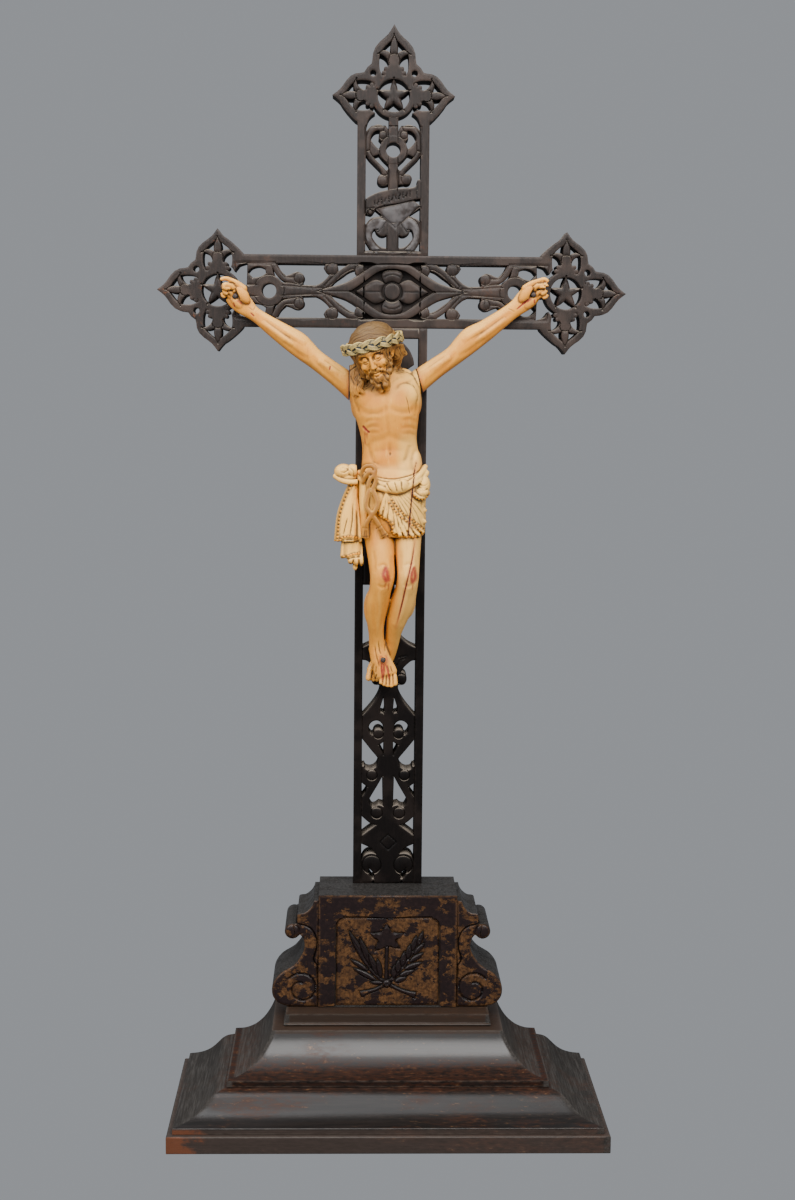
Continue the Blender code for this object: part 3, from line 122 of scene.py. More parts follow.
class CrucifixColours(bpy.types.PropertyGroup):
    ebonised: FloatVectorProperty(
        name="Ebonised Wood", description="Main colour of the stained cross",
        default=(0.022, 0.018, 0.016), size=3, min=0.0, max=1.0, subtype="COLOR")
    rubbed: FloatVectorProperty(
        name="Rubbed Wood", description="Brown that shows where the stain is worn",
        default=(0.060, 0.042, 0.034), size=3, min=0.0, max=1.0, subtype="COLOR")
    bare: FloatVectorProperty(
        name="Bare Wood", description="Orange-brown wood where the die's paint has flaked",
        default=(0.098, 0.047, 0.019), size=3, min=0.0, max=1.0, subtype="COLOR")
    flaked: FloatVectorProperty(
        name="Flaked Paint", description="Dark paint that is left on the die",
        default=(0.009, 0.005, 0.005), size=3, min=0.0, max=1.0, subtype="COLOR")
    skin: FloatVectorProperty(
        name="Painted Skin", description="Cream paint of the figure",
        default=(0.735, 0.292, 0.025), size=3, min=0.0, max=1.0, subtype="COLOR")
    # Also the colour of the painted shade in the figure's broad hollows
    shade: FloatVectorProperty(
        name="Aged Hollows", description="Brown that has gathered in the figure's hollows",
        default=(0.065, 0.032, 0.014), size=3, min=0.0, max=1.0, subtype="COLOR")
    gilding: FloatVectorProperty(
        name="Gilding", description="Gold of the loincloth's hems",
        default=(0.800, 0.310, 0.013), size=3, min=0.0, max=1.0, subtype="COLOR")
    wound: FloatVectorProperty(
        name="Wound Red", description="Red paint of the wounds and the open crack",
        default=(0.270, 0.016, 0.018), size=3, min=0.0, max=1.0, subtype="COLOR")
    backdrop: FloatVectorProperty(
        name="Backdrop", description="Pale grey of the floor and backdrop",
        default=(0.580, 0.597, 0.625), size=3, min=0.0, max=1.0, subtype="COLOR")


def sizes():
    return bpy.context.scene.crucifix_sizes


def colours():
    return bpy.context.scene.crucifix_colours


# Shader maths

class Wire:
    """A socket of a finish's nodes that Python's arithmetic works on."""

    def __init__(self, finish, socket):
        self.finish = finish
        self.socket = socket

    def maths(self, operation, *values, clamp=False):
        return self.finish.node("ShaderNodeMath", {"operation": operation, "use_clamp": clamp}, values)

    def __add__(self, other):
        return self.maths("ADD", self, other)

    def __sub__(self, other):
        return self.maths("SUBTRACT", self, other)

    def __rsub__(self, other):
        return self.maths("SUBTRACT", other, self)

    def __mul__(self, other):
        return self.maths("MULTIPLY", self, other)

    __radd__ = __add__
    __rmul__ = __mul__

    def clamped(self):
        return self.maths("ADD", self, 0.0, clamp=True)

    def size(self):
        return self.maths("ABSOLUTE", self)

    def above(self, low, high):
        """0 below low, 1 above high, and a soft step between."""
        values = {"Value": self, "From Min": low, "From Max": high}
        return self.finish.node("ShaderNodeMapRange", {"interpolation_type": "SMOOTHSTEP"}, values)


class Finish:
    """A material whose look is worked out from places on the object."""

    def __init__(self, name, specular, coat_roughness=None):
        self.material = bpy.data.materials.new(name)
        self.material.use_nodes = True
        self.tree = self.material.node_tree
        self.shader = self.tree.nodes["Principled BSDF"]
        self.shader.inputs["Specular IOR Level"].default_value = specular
        if coat_roughness:
            self.shader.inputs["Coat Roughness"].default_value = coat_roughness
        self.place = self.node("ShaderNodeTexCoord", output="Object")

    def node(self, kind, settings=None, inputs=(), output=0):
        made = self.tree.nodes.new(kind)
        for name, value in (settings or {}).items():
            setattr(made, name, value)
        pairs = inputs.items() if isinstance(inputs, dict) else enumerate(inputs)
        for key, value in pairs:
            if isinstance(value, Wire):
                self.tree.links.new(value.socket, made.inputs[key])
            else:
                made.inputs[key].default_value = value
        return Wire(self, made.outputs[output])

    def noise(self, size_mm, detail=3.0, roughness=0.55, stretch=(1.0, 1.0, 1.0)):
        """Patches about a size across; a stretch below 1 draws them out along that axis."""
        place = self.node("ShaderNodeMapping", {}, {"Vector": self.place, "Scale": stretch})
        values = {"Vector": place, "Scale": 1.0 / (size_mm * MM), "Detail": detail, "Roughness": roughness}
        return self.node("ShaderNodeTexNoise", {}, values)

    def mark(self, name):
        """A value kept at each point of the mesh."""
        return self.node("ShaderNodeAttribute", {"attribute_name": name}, output="Fac")

    def along(self, axis):
        """The place along an axis, in metres."""
        return self.node("ShaderNodeSeparateXYZ", {}, [self.place], output=axis)

    def facing(self, axis):
        """How far the surface faces along an axis of the object, from -1 to 1."""
        normal = self.node("ShaderNodeTexCoord", output="Normal")
        return self.node("ShaderNodeSeparateXYZ", {}, [normal], output=axis)

    def towards_viewer(self, low, high):
        """1 where the surface faces the front of the crucifix, 0 where it faces away."""
        return (self.facing("Y") * -1.0).above(low, high)

    def mix(self, share, first, second):
        """The second colour over the first, by a share from 0 to 1."""
        values = {0: share, 6: self.colour(first), 7: self.colour(second)}
        return self.node("ShaderNodeMix", {"data_type": "RGBA"}, values, output=2)

    def colour(self, value):
        return value if isinstance(value, Wire) else (*value, 1.0)

    def finish(self, colour, roughness, bump=None, depth_mm=0.0, metallic=None, coat=None):
        """Feed the shader and return the material; the bump is as deep as depth_mm."""
        for name, value in (("Base Color", colour), ("Roughness", roughness), ("Metallic", metallic),
                            ("Coat Weight", coat)):
            if isinstance(value, Wire):
                self.tree.links.new(value.socket, self.shader.inputs[name])
            elif value is not None:
                self.shader.inputs[name].default_value = value
        if bump:
            values = {"Strength": 1.0, "Distance": depth_mm * MM, "Height": bump}
            normal = self.node("ShaderNodeBump", {}, values)
            self.tree.links.new(normal.socket, self.shader.inputs["Normal"])
        return self.material


# Heights in metres between which a finish changes over the cross and the plinth
FADING_SHAFT = (0.42, 0.70)
SLAB_EDGE = (0.0170, 0.0195)
OGEE_TO_COVE = (0.034, 0.038)
WORN_COVE = (0.046, 0.054)
FOOT_BOARD_FACE = (0.0690, 0.0700)


def cross_finish():
    """Satin ebonised wood, browner where hands and dust have rubbed it and nearly black low down."""
    look = Finish("ebonised_cross", specular=0.02, coat_roughness=0.40)
    front = look.towards_viewer(0.25, 0.6)
    grain = look.noise(1.6, 4.0, 0.6, (1.0, 1.0, 0.16))
    patches = look.noise(26.0, 3.0)
    flecks = look.noise(3.2, 4.0, 0.65)
    worn = look.mark("edge")
    sunk = look.mark("hollow")
    high = look.along("Z").above(*FADING_SHAFT)
    rubbed = (patches.above(0.46, 0.66) * 0.55 + worn * flecks.above(0.40,
                                                                     0.62) * 0.55) * (0.20 + 0.80 * high)
    base = look.mix(grain.above(0.35, 0.7) * 0.5, colours().ebonised, (0.045, 0.032, 0.028))
    base = look.mix((0.12 + 0.88 * high) * 0.9, (0.0025, 0.002, 0.002), base)
    base = look.mix(rubbed.clamped(), base, colours().rubbed)
    red = look.noise(14.0, 4.0, 0.7).above(0.60, 0.68) * flecks.above(0.45, 0.6) * high
    left_end = 0.25 + 0.75 * (look.along("X") * -1.0).above(0.12, 0.16)
    base = look.mix(red * left_end * 0.7, base, (0.130, 0.048, 0.022))
    # A pale grey painted sheen on the shield and the palmettes, where the paint mark is set
    painted_sheen = look.mark("paint") * (0.10 + 0.8 * look.noise(8.0).above(0.35, 0.62))
    base = look.mix(painted_sheen.clamped(), base, (0.120, 0.112, 0.112))
    # Grooves are painted near black: painted shade in them
    base = look.mix(sunk * 0.9, base, (0.003, 0.003, 0.003))
    top = look.facing("Z").above(0.35, 0.85)
    # Walls that turn away from the front are painted near black: painted shade
    base = look.mix((1.0 - front) * 0.7, base, (0.007, 0.006, 0.005))
    # Up-facing surfaces are painted a pale taupe: dust, and painted light from above
    base = look.mix(top * 0.75, base, (0.190, 0.160, 0.130))
    rough = 0.50 + 0.22 * flecks + 0.16 * sunk
    return look.finish(base, rough, grain * 0.6 + flecks * 0.4, 0.22, coat=front * (0.08 + 0.16 * high))


def plinth_finish():
    """Dark wood, polished on the mouldings, paler grey and matt on its returns, rubbed brown and finely
    scratched.
    """
    look = Finish("polished_plinth", specular=0.02, coat_roughness=0.30)
    along = look.noise(2.2, 5.0, 0.65, (0.05, 1.0, 1.6))
    across = look.noise(1.5, 5.0, 0.65, (1.0, 0.06, 1.0))
    patches = look.noise(34.0, 4.0, 0.6, (0.45, 1.0, 1.0))
    specks = look.noise(2.4, 5.0, 0.75, (0.35, 1.0, 1.0))
    side = look.facing("X").size().above(0.04, 0.10)
    height = look.along("Z")
    over_ogee = height.above(*OGEE_TO_COVE)
    level = look.facing("Z").above(0.45, 0.85) * over_ogee
    board = 1.0 - height.above(*SLAB_EDGE)
    low_cove = over_ogee * (1.0 - height.above(*WORN_COVE))
    foot = height.above(*FOOT_BOARD_FACE) * (1.0 - side)
    lined = along * (1.0 - side) + across * side
    worn = look.mark("edge")
    base = look.mix(lined.above(0.35, 0.7) * 0.6, (0.005, 0.004, 0.0035), (0.014, 0.010, 0.0085))
    brown = ((patches.above(0.50, 0.66) + level * 0.45 + low_cove * 0.5) * specks.above(0.36, 0.62)).clamped()
    base = look.mix(brown * 0.8, base, (0.034, 0.012, 0.006))
    scratches = specks.above(0.60, 0.70) * (patches.above(0.42, 0.6) + level).clamped() * (1.0 - side)
    base = look.mix(scratches * 0.75, base, (0.140, 0.070, 0.028))
    base = look.mix(board * (1.0 - side) * (0.25 + 0.5 * specks), base, (0.058, 0.042, 0.035))
    base = look.mix(foot * 0.6, base, (0.036, 0.023, 0.016))
    base = look.mix(worn * specks.above(0.34, 0.6) * 0.6, base, (0.060, 0.050, 0.042))
    # The returns, found by facing along X, are painted a paler grey
    base = look.mix(side * (0.4 + 0.5 * lined.above(0.42, 0.7)), base, (0.044, 0.041, 0.038))
    front = look.towards_viewer(0.5, 0.8)
    chipped = (look.along("X") * -1.0).above(0.110, 0.182) * 0.5 + look.noise(9.0, 5.0, 0.7, (0.5, 1.0, 1.0))
    base = look.mix(board * front * chipped.above(0.80, 0.96) * 0.8, base, (0.110, 0.038, 0.018))
    rough = 0.32 + 0.18 * specks + 0.22 * brown + 0.30 * side
    coat = ((1.0 - side) * (1.0 - board * 0.6) * (1.0 - low_cove * 0.7) * (1.0 - foot * 0.6)
            * (0.85 - 0.35 * brown))
    coat = coat * (0.70 + 0.30 * over_ogee)
    return look.finish(base, rough, lined * 0.7 + specks * 0.3, 0.20, coat=coat)


def die_finish():
    """Orange-brown wood under dark paint that has flaked away in patches."""
    look = Finish("flaked_die", specular=0.04, coat_roughness=0.36)
    large = look.noise(13.0, 7.0, 0.68, (0.75, 1.0, 1.0))
    fine = look.noise(2.6, 5.0, 0.7)
    cracks = look.noise(5.0, 6.0, 0.75, (0.8, 1.0, 1.4))
    grain = look.noise(1.4, 4.0, 0.6, (1.0, 1.0, 0.12))
    worn = look.mark("edge")
    kept = look.mark("paint")
    sunk = look.mark("hollow")
    front = look.towards_viewer(0.25, 0.6)
    level = large * 0.74 + cracks * 0.26 + kept
    paint = level.above(0.470, 0.500)
    bare = look.mix(fine.above(0.35, 0.68), colours().bare, (0.032, 0.016, 0.008))
    bare = look.mix(grain.above(0.45, 0.7) * 0.5, bare, (0.034, 0.015, 0.008))
    dark = look.mix(fine.above(0.42, 0.7) * 0.6, colours().flaked, (0.019, 0.010, 0.009))
    bare = look.mix(look.noise(9.0, 4.0, 0.6).above(0.42, 0.66) * 0.5, bare, (0.016, 0.010, 0.008))
    bare = look.mix(fine.above(0.60, 0.68) * 0.8, bare, colours().flaked)
    base = look.mix(paint, bare, dark)
    base = look.mix(worn * cracks.above(0.42, 0.56) * 0.6, base, colours().bare)
    side = look.mix(grain.above(0.35, 0.7), (0.014, 0.013, 0.012), (0.034, 0.031, 0.029))
    base = look.mix(front, side, base)
    # Grooves are painted near black: painted shade in them
    base = look.mix(sunk * 0.9, base, (0.004, 0.003, 0.003))
    rough = 0.42 + 0.24 * fine - 0.18 * paint
    coat = front * (0.10 + 0.25 * paint)
    return look.finish(base, rough, paint * 0.8 + fine * 0.35 + grain * 0.15, 0.25, coat=coat)


def backdrop_finish():
    """Pale grey with painted shade that darkens it to the right; from behind the sweep lets the view through.
    """
    look = Finish("pale_backdrop", specular=0.2)
    # The grey of the painted shade towards the right of the backdrop
    painted_shade_grey = (0.440, 0.462, 0.500)
    behind = look.node("ShaderNodeNewGeometry", output="Backfacing")
    look.tree.links.new((1.0 - behind).socket, look.shader.inputs["Alpha"])
    return look.finish(look.mix(look.along("X").above(0.08, 0.50) * 0.9, colours().backdrop, painted_shade_grey), 0.8)


# Flat outlines, as (across, up)

# The angle in degrees past which a corner of a leaf or an opening stays sharp
LEAF_CORNER = 50.0
# How closely outlines are followed: spacing along them, rows beside them, and the field's distance
OUTLINE_STEP = 0.4
RIM_ROWS = (0.4, 0.95)
FIELD_CLEARANCE = 1.3
CLOSEST_POINTS = 0.3
# Height of a row of equal triangles to their side
ROW_HEIGHT = 0.87
# Fall of a worn edge, and the reach of its mark, as shares of the edge's width
EDGE_FALL = 0.55
EDGE_MARK = 2.2
UNTOUCHED = 1e9


def arc(centre, radius, start, end, steps):
    angles = [math.radians(start + (end - start) * k / steps) for k in range(steps + 1)]
    return [(centre[0] + radius * math.cos(a), centre[1] + radius * math.sin(a)) for a in angles]


def disc(centre, radius):
    sides = max(12, int(radius * 7))
    return arc(centre, radius, 0.0, 360.0 - 360.0 / sides, sides - 1)


def rectangle(half_width, low, high):
    return [(-half_width, low), (half_width, low), (half_width, high), (-half_width, high)]


def curve_through(points, closed=False, step=1.0):
    """Points about a step apart on a Catmull-Rom curve through the given ones."""
    run = [Vector(p) for p in points]
    if closed:
        run = [run[-1]] + run + [run[0], run[1]]
    else:
        run = [2 * run[0] - run[1]] + run + [2 * run[-1] - run[-2]]
    result = []
    for k in range(1, len(run) - 2):
        a, b, c, d = run[k - 1:k + 3]
        count = max(1, round((c - b).length / step))
        for n in range(count):
            t = n / count
            result.append(0.5 * ((2 * b) + (c - a) * t + (2 * a - 5 * b + 4 * c - d) * t * t
                                 + (3 * b - a - 3 * c + d) * t * t * t))
    if not closed:
        result.append(run[-2])
    return [tuple(p) for p in result]


def softened(outline, sharp=58.0):
    """Curve a closed outline, but keep the corners that turn by more than the sharp angle."""
    count = len(outline)
    corners = []
    for k in range(count):
        before = Vector(outline[k]) - Vector(outline[k - 1])
        after = Vector(outline[(k + 1) % count]) - Vector(outline[k])
        if before.length and after.length and math.degrees(before.angle(after)) > sharp:
            corners.append(k)
    if not corners:
        return curve_through(outline, True)
    result = []
    for first, second in zip(corners, corners[1:] + [corners[0] + count]):
        run = [outline[k % count] for k in range(first, second + 1)]
        result += curve_through(run)[:-1]
    return result


def on_side(side, points):
    """Points drawn for the right side, on the right for 1 or the left for -1."""
    return [(side * x, z) for x, z in points]


def flipped(outline):
    return on_side(-1, reversed(outline))


def both_sides(outlines):
    return outlines + [flipped(outline) for outline in outlines]


def whole(half):
    """A symmetric outline from its right half, which ends at the tip on the middle line."""
    return half + flipped(half[:-1])


def turned(outline, centre, heading):
    """Move an outline drawn with its tip up to a centre, with the tip along a heading."""
    angle = math.radians(heading - 90.0)
    c, s = math.cos(angle), math.sin(angle)
    return [(centre[0] + c * x - s * z, centre[1] + s * x + c * z) for x, z in outline]


def band(points, widths, step=0.8):
    """The outline of a strip of changing half width along a curve."""
    run = curve_through([(x, z, w) for (x, z), w in zip(points, widths)], False, step)
    left, right = [], []
    for k, (x, z, w) in enumerate(run):
        ahead, behind = run[min(k + 1, len(run) - 1)], run[max(k - 1, 0)]
        along = Vector((ahead[0] - behind[0], ahead[1] - behind[1])).normalized()
        left.append((x - along.y * w, z + along.x * w))
        right.append((x + along.y * w, z - along.x * w))
    return left + right[::-1]


def is_clockwise(outline):
    pairs = zip(outline, outline[1:] + outline[:1])
    return sum(a[0] * b[1] - b[0] * a[1] for a, b in pairs) < 0


class Stroke:
    """An outline that covers or clears a board, and how its face is carved.

    The face starts sunk at the rim of what shows of the stroke, and domes up by a rise over a width.
    """

    def __init__(self, outline, adds=True, sunk=0.0, rise=0.0, width=2.4, paint=0.0):
        self.outline = list(reversed(outline)) if is_clockwise(outline) else list(outline)
        self.adds = adds
        self.sunk = sunk
        self.rise = rise
        self.width = width
        # On the cross the paint mark places a painted sheen; on the die it marks kept paint
        self.paint = paint


def openings(outlines):
    """Strokes that pierce a board."""
    return [Stroke(softened(outline, LEAF_CORNER), adds=False) for outline in outlines]


def span_to(points, segments):
    """The distance from each point to the nearest of the segments."""
    a, run = segments[:, 0], segments[:, 1] - segments[:, 0]
    steps = np.maximum(1, np.ceil(np.hypot(*run.T) / OUTLINE_STEP)).astype(int)
    owner = np.repeat(np.arange(len(segments)), steps)
    share = (np.arange(len(owner)) - np.repeat(np.cumsum(steps) - steps, steps) + 0.5) / steps[owner]
    samples = a[owner] + run[owner] * share[:, None]
    tree = kdtree.KDTree(len(samples))
    for k, (x, z) in enumerate(samples.tolist()):
        tree.insert((x, z, 0.0), k)
    tree.balance()
    near = owner[[tree.find((x, z, 0.0))[1] for x, z in np.asarray(points).tolist()]]
    a, run = a[near], run[near]
    t = np.clip(((points - a) * run).sum(1) / np.maximum((run * run).sum(1), 1e-12), 0.0, 1.0)
    return np.hypot(*(points - (a + t[:, None] * run)).T)


def closed_segments(outline):
    pts = np.array(outline, float)
    return np.stack([pts, np.roll(pts, -1, axis=0)], axis=1)


def open_segments(run):
    pts = np.array(run, float)
    return np.stack([pts[:-1], pts[1:]], axis=1)


def board_triangles(strokes, extra):
    """Triangles of what the strokes leave standing, with the top stroke of each."""
    corners, outlines = [], []
    for stroke in strokes:
        outlines.append(list(range(len(corners), len(corners) + len(stroke.outline))))
        corners.extend(Vector(p) for p in stroke.outline)
    corners.extend(Vector(p) for p in extra)
    points, _, faces, _, _, owners = geometry.delaunay_2d_cdt(corners, [], outlines, 1, 1e-4)
    kept, tops = [], []
    for face, owner in zip(faces, owners):
        if owner and strokes[max(owner)].adds:
            kept.append(face)
            tops.append(max(owner))
    return np.array([(p.x, p.y) for p in points]), np.array(kept), np.array(tops)


def rim_of(points, faces):
    """The segments that only one triangle uses."""
    edges = np.concatenate([faces[:, [0, 1]], faces[:, [1, 2]], faces[:, [2, 0]]])
    ordered = np.sort(edges, axis=1)
    _, index, count = np.unique(ordered, axis=0, return_index=True, return_counts=True)
    return points[ordered[index[count == 1]]]


def carving_points(strokes, rim, grid):
    """Rows of points just inside every outline, and an even field between them."""
    lines = np.concatenate([closed_segments(s.outline) for s in strokes])
    middles = lines.mean(1)
    run = lines[:, 1] - lines[:, 0]
    normals = np.stack([-run[:, 1], run[:, 0]], 1) / np.maximum(np.hypot(*run.T), 1e-9)[:, None]
    found = []
    for inset in RIM_ROWS:
        for side in (1.0, -1.0):
            places = middles + normals * inset * side
            found.append(places[span_to(places, lines) > inset * 0.9])
    low, high = rim.reshape(-1, 2).min(0), rim.reshape(-1, 2).max(0)
    field = []
    for n, z in enumerate(np.arange(low[1], high[1], grid * ROW_HEIGHT)):
        across = np.arange(low[0] + (n % 2) * grid / 2, high[0], grid)
        field.append(np.stack([across, np.full(len(across), z)], 1))
    field = np.concatenate(field)
    found.append(field[span_to(field, lines) > FIELD_CLEARANCE])
    found = np.concatenate(found)
    cells = np.round(found / CLOSEST_POINTS).astype(int)
    _, index = np.unique(cells, axis=0, return_index=True)
    return found[np.sort(index)]


def rounded(share):
    """A quarter round: 0 at the rim and 1 at the top."""
    return np.sqrt(1.0 - (1.0 - np.clip(share, 0.0, 1.0)) ** 2)


def carved_board(name, strokes, front, grid, grooves):
    """A pierced board whose front face is carved stroke by stroke; its back is plain.

    Each groove is a run of points with its half width and depth.
    """
    worn_edge = sizes().worn_edge / MM
    points, faces, _ = board_triangles(strokes, [])
    rim = rim_of(points, faces)
    points, faces, tops = board_triangles(strokes, carving_points(strokes, rim, grid))
    rim = rim_of(points, faces)
    to_rim = span_to(points, rim)
    height = np.full(len(points), UNTOUCHED)
    paint = np.zeros(len(points))
    for top in np.unique(tops):
        stroke = strokes[top]
        mine = np.unique(faces[tops == top])
        if stroke.rise:
            inside = span_to(points[mine], rim_of(points, faces[tops == top]))
            level = stroke.rise * rounded(inside / stroke.width) - stroke.sunk
        else:
            level = np.full(len(mine), -stroke.sunk)
        lower = level < height[mine]
        height[mine[lower]] = level[lower]
        paint[mine[lower]] = stroke.paint
    hollow = np.zeros(len(points))
    for run, half_width, depth in grooves:
        share = np.clip(1.0 - span_to(points, open_segments(run)) / half_width, 0.0, 1.0)
        height -= depth * share ** 1.2
        hollow = np.maximum(hollow, share)
    height -= EDGE_FALL * worn_edge * np.clip(1.0 - to_rim / worn_edge, 0.0, 1.0) ** 2
    height = np.where(height > UNTOUCHED / 2, 0.0, height)
    edge = np.clip(1.0 - to_rim / (EDGE_MARK * worn_edge), 0.0, 1.0)

    bm = bmesh.new()
    marks = [bm.verts.layers.float.new(mark) for mark in ("edge", "hollow", "paint")]
    verts = [bm.verts.new((x, front - h, z)) for (x, z), h in zip(points, height)]
    for triangle in faces:
        bm.faces.new([verts[k] for k in triangle])
    for vert, values in zip(verts, zip(edge, hollow, paint)):
        for layer, value in zip(marks, values):
            vert[layer] = value
    bmesh.ops.delete(bm, geom=[v for v in bm.verts if not v.link_faces], context="VERTS")
    rim_edges = [e for e in bm.edges if len(e.link_faces) == 1]
    grown = bmesh.ops.extrude_edge_only(bm, edges=rim_edges)
    for item in grown["geom"]:
        if isinstance(item, bmesh.types.BMVert):
            item.co.y = BACK
            item[marks[1]] = 0.0
    open_edges = [e for e in grown["geom"] if isinstance(e, bmesh.types.BMEdge) and len(e.link_faces) == 1]
    bmesh.ops.triangle_fill(bm, use_beauty=True, edges=open_edges, normal=(0.0, 1.0, 0.0))
    bmesh.ops.recalc_face_normals(bm, faces=bm.faces)
    return piece_from(bm, name)


def cross_board(name, node, strokes, grooves):
    """A board of the cross, carved and stained."""
    board = carved_board(name, strokes, CROSS_FRONT, sizes().board_grid / MM, grooves)
    dress(board, cross_finish(), "dark_wood", node)


def die_board(name, node, front, strokes, grooves):
    """The die or a bracket, carved and painted."""
    board = carved_board(name, strokes, front, sizes().die_grid / MM, grooves)
    dress(board, die_finish(), "die_wood", node)


# Pieces

def linked(name, data, matrix=None):
    """A new object of the scene."""
    made = bpy.data.objects.new(name, data)
    if matrix:
        made.matrix_world = matrix
    bpy.context.scene.collection.objects.link(made)
    return made


def piece_from(bm, name, smooth_degrees=38.0):
    """Scale a millimetre bmesh to metres, make it an object and shade it smooth but for its edges."""
    bmesh.ops.scale(bm, vec=(MM, MM, MM), verts=bm.verts)
    mesh = bpy.data.meshes.new(name)
    bm.to_mesh(mesh)
    bm.free()
    mesh.shade_smooth()
    mesh.set_sharp_from_angle(angle=math.radians(smooth_degrees))
    return linked(name, mesh)


def dress(piece, material, slot, *nodes):
    """Give a piece its finish and let it stand for its solids."""
    if not len(piece.data.polygons):
        raise RuntimeError("%s came out empty" % piece.name)
    piece.data.materials.clear()
    piece.data.materials.append(material)
    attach(piece, "root")
    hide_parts(*nodes)


def set_mark(mesh, name, values):
    mark = mesh.attributes.get(name) or mesh.attributes.new(name, "FLOAT", "POINT")
    mark.data.foreach_set("value", np.asarray(values, np.float32))


# The plinth: each tier is mitred on three sides and flat at the back

def eased(profile, radius):
    """Round the sharp corners of a profile of (inset, height) points by a small radius."""
    result = [profile[0]]
    for k in range(1, len(profile) - 1):
        here = Vector(profile[k])
        before, after = Vector(profile[k - 1]) - here, Vector(profile[k + 1]) - here
        if before.length > radius * 1.5 and after.length > radius * 1.5 and before.angle(after) < 2.6:
            start, end = here + before.normalized() * radius, here + after.normalized() * radius
            for n in range(5):
                t = n / 4
                result.append(tuple((1 - t) ** 2 * start + 2 * t * (1 - t) * here + t * t * end))
        else:
            result.append(tuple(here))
    return result + [profile[-1]]


def with_edge_rows(profile, width=1.6):
    """Give each long straight of a profile a row near either end, so that only its edges wear."""
    result = [profile[0]]
    for before, after in zip(profile, profile[1:]):
        a, b = Vector(before), Vector(after)
        if (b - a).length > 2.5 * width:
            step = (b - a).normalized() * width
            result += [tuple(a + step), tuple(b - step)]
        result.append(after)
    return result


# How far a tier runs in under the next one, and the spans into which its long edges are cut
TUCKED_UNDER = 2.4
LENGTHWAYS_CUTS = 40
LONG_EDGE = 60
PLINTH_SMOOTH_DEGREES = 30.0


def tier(name, profile, radius=0.7):
    """Stack rectangles through (inset, height) points; the back stays flush with the slab's."""
    def corners_at(inset):
        half = SLAB_WIDTH / 2 - inset
        front = -SLAB_DEPTH / 2 + inset
        return [(-half, front), (half, front), (half, BACK), (-half, BACK)]

    profile = with_edge_rows(eased(profile, radius) + [(profile[-1][0] + TUCKED_UNDER, profile[-1][1])])
    bm = bmesh.new()
    inset, height = profile[0]
    top = floor = bm.faces.new([bm.verts.new((x, y, height)) for x, y in corners_at(inset)])
    for inset, height in profile[1:]:
        grown = bmesh.ops.extrude_face_region(bm, geom=[top])
        if top is not floor:
            bm.faces.remove(top)
        top = [g for g in grown["geom"] if isinstance(g, bmesh.types.BMFace)][0]
        for vert, (x, y) in zip(top.verts, corners_at(inset)):
            vert.co = (x, y, height)
    bmesh.ops.remove_doubles(bm, verts=bm.verts, dist=1e-4)
    def runs(edge):
        return [abs(a - b) for a, b in zip(edge.verts[0].co, edge.verts[1].co)]

    mitres = [e for e in bm.edges if runs(e)[2] > 1e-3 or runs(e)[0] * runs(e)[1] > 1e-6]
    bmesh.ops.bevel(bm, geom=mitres, offset=radius * 0.6, offset_type="OFFSET", affect="EDGES", segments=2,
                    profile=0.5, material=-1)
    level = [e for e in bm.edges if runs(e)[2] < 0.05 and e.calc_length() > LONG_EDGE]
    bmesh.ops.subdivide_edges(bm, edges=level, cuts=LENGTHWAYS_CUTS, use_grid_fill=True)
    bmesh.ops.recalc_face_normals(bm, faces=bm.faces)
    marks = bm.verts.layers.float.new("edge")
    for vert in bm.verts:
        bends = [e.calc_face_angle(0.0) for e in vert.link_edges if len(e.link_faces) == 2]
        vert[marks] = min(1.0, 1.6 * max(bends, default=0.0)) if vert.co.y < BACK - 1.0 else 0.0
    return piece_from(bm, name, PLINTH_SMOOTH_DEGREES)


# Profiles of the plinth's tiers, as (inset from the slab's edge, height)
LOWER_FILLET = (4.6, 19.3)
OGEE_CURVE = [LOWER_FILLET, (11.5, 20.0), (17.0, 21.3), (22.0, 23.4), (26.5, 26.6), (30.5, 30.4),
              (34.0, 33.7),
              (38.0, 35.9), (43.0, 36.9)]
UPPER_FILLET_INSET = 45.2
LOWER_TOP = 42.4
UPPER_TOP = 72.0
COVE_CURVE = [(45.8, 42.5), (53.8, 43.1), (60.9, 45.6), (65.7, 48.7), (70.5, 53.2), (74.3, 58.4),
              (77.8, 64.6),
              (80.8, UPPER_TOP)]
FOOT_BOARD_TOP = 82.0
BEAD_INSET = 90.2
BEAD_RADIUS = 0.9


def make_plinth():
    finish = plinth_finish()
    step = sizes().profile_step / MM
    slab_top = SLAB_HIGH.z / MM
    slab = tier("base_board", [(0.5, 0.0), (0.0, 0.5), (0.0, slab_top - 0.7), (0.7, slab_top)], 0.2)
    dress(slab, finish, "dark_wood", "base_slab")
    lower = [(LOWER_FILLET[0], slab_top + GAP)] + curve_through(OGEE_CURVE, False, step)
    dress(tier("ogee_moulding", lower), finish, "dark_wood", "lower_moulding")
    upper = [(UPPER_FILLET_INSET, OGEE_CURVE[-1][1] + GAP), (UPPER_FILLET_INSET, LOWER_TOP)]
    upper += curve_through(COVE_CURVE, False, step)
    dress(tier("cove_moulding", upper), finish, "dark_wood", "upper_moulding")
    bead = [(BEAD_INSET + BEAD_RADIUS - BEAD_RADIUS * math.cos(a),
             UPPER_TOP + GAP + 1.0 + BEAD_RADIUS * math.sin(a))
            for a in (math.radians(-90.0 + 22.5 * k) for k in range(9))]
    face = BEAD_INSET + 1.6
    board = bead + [(face, UPPER_TOP + 2.5), (face, FOOT_BOARD_TOP)]
    dress(tier("die_foot_board", board, 0.4), finish, "dark_wood", "foot_board")


# The trefoil end of an arm: three pointed lobes with leaves around a ring, drawn with its tip up

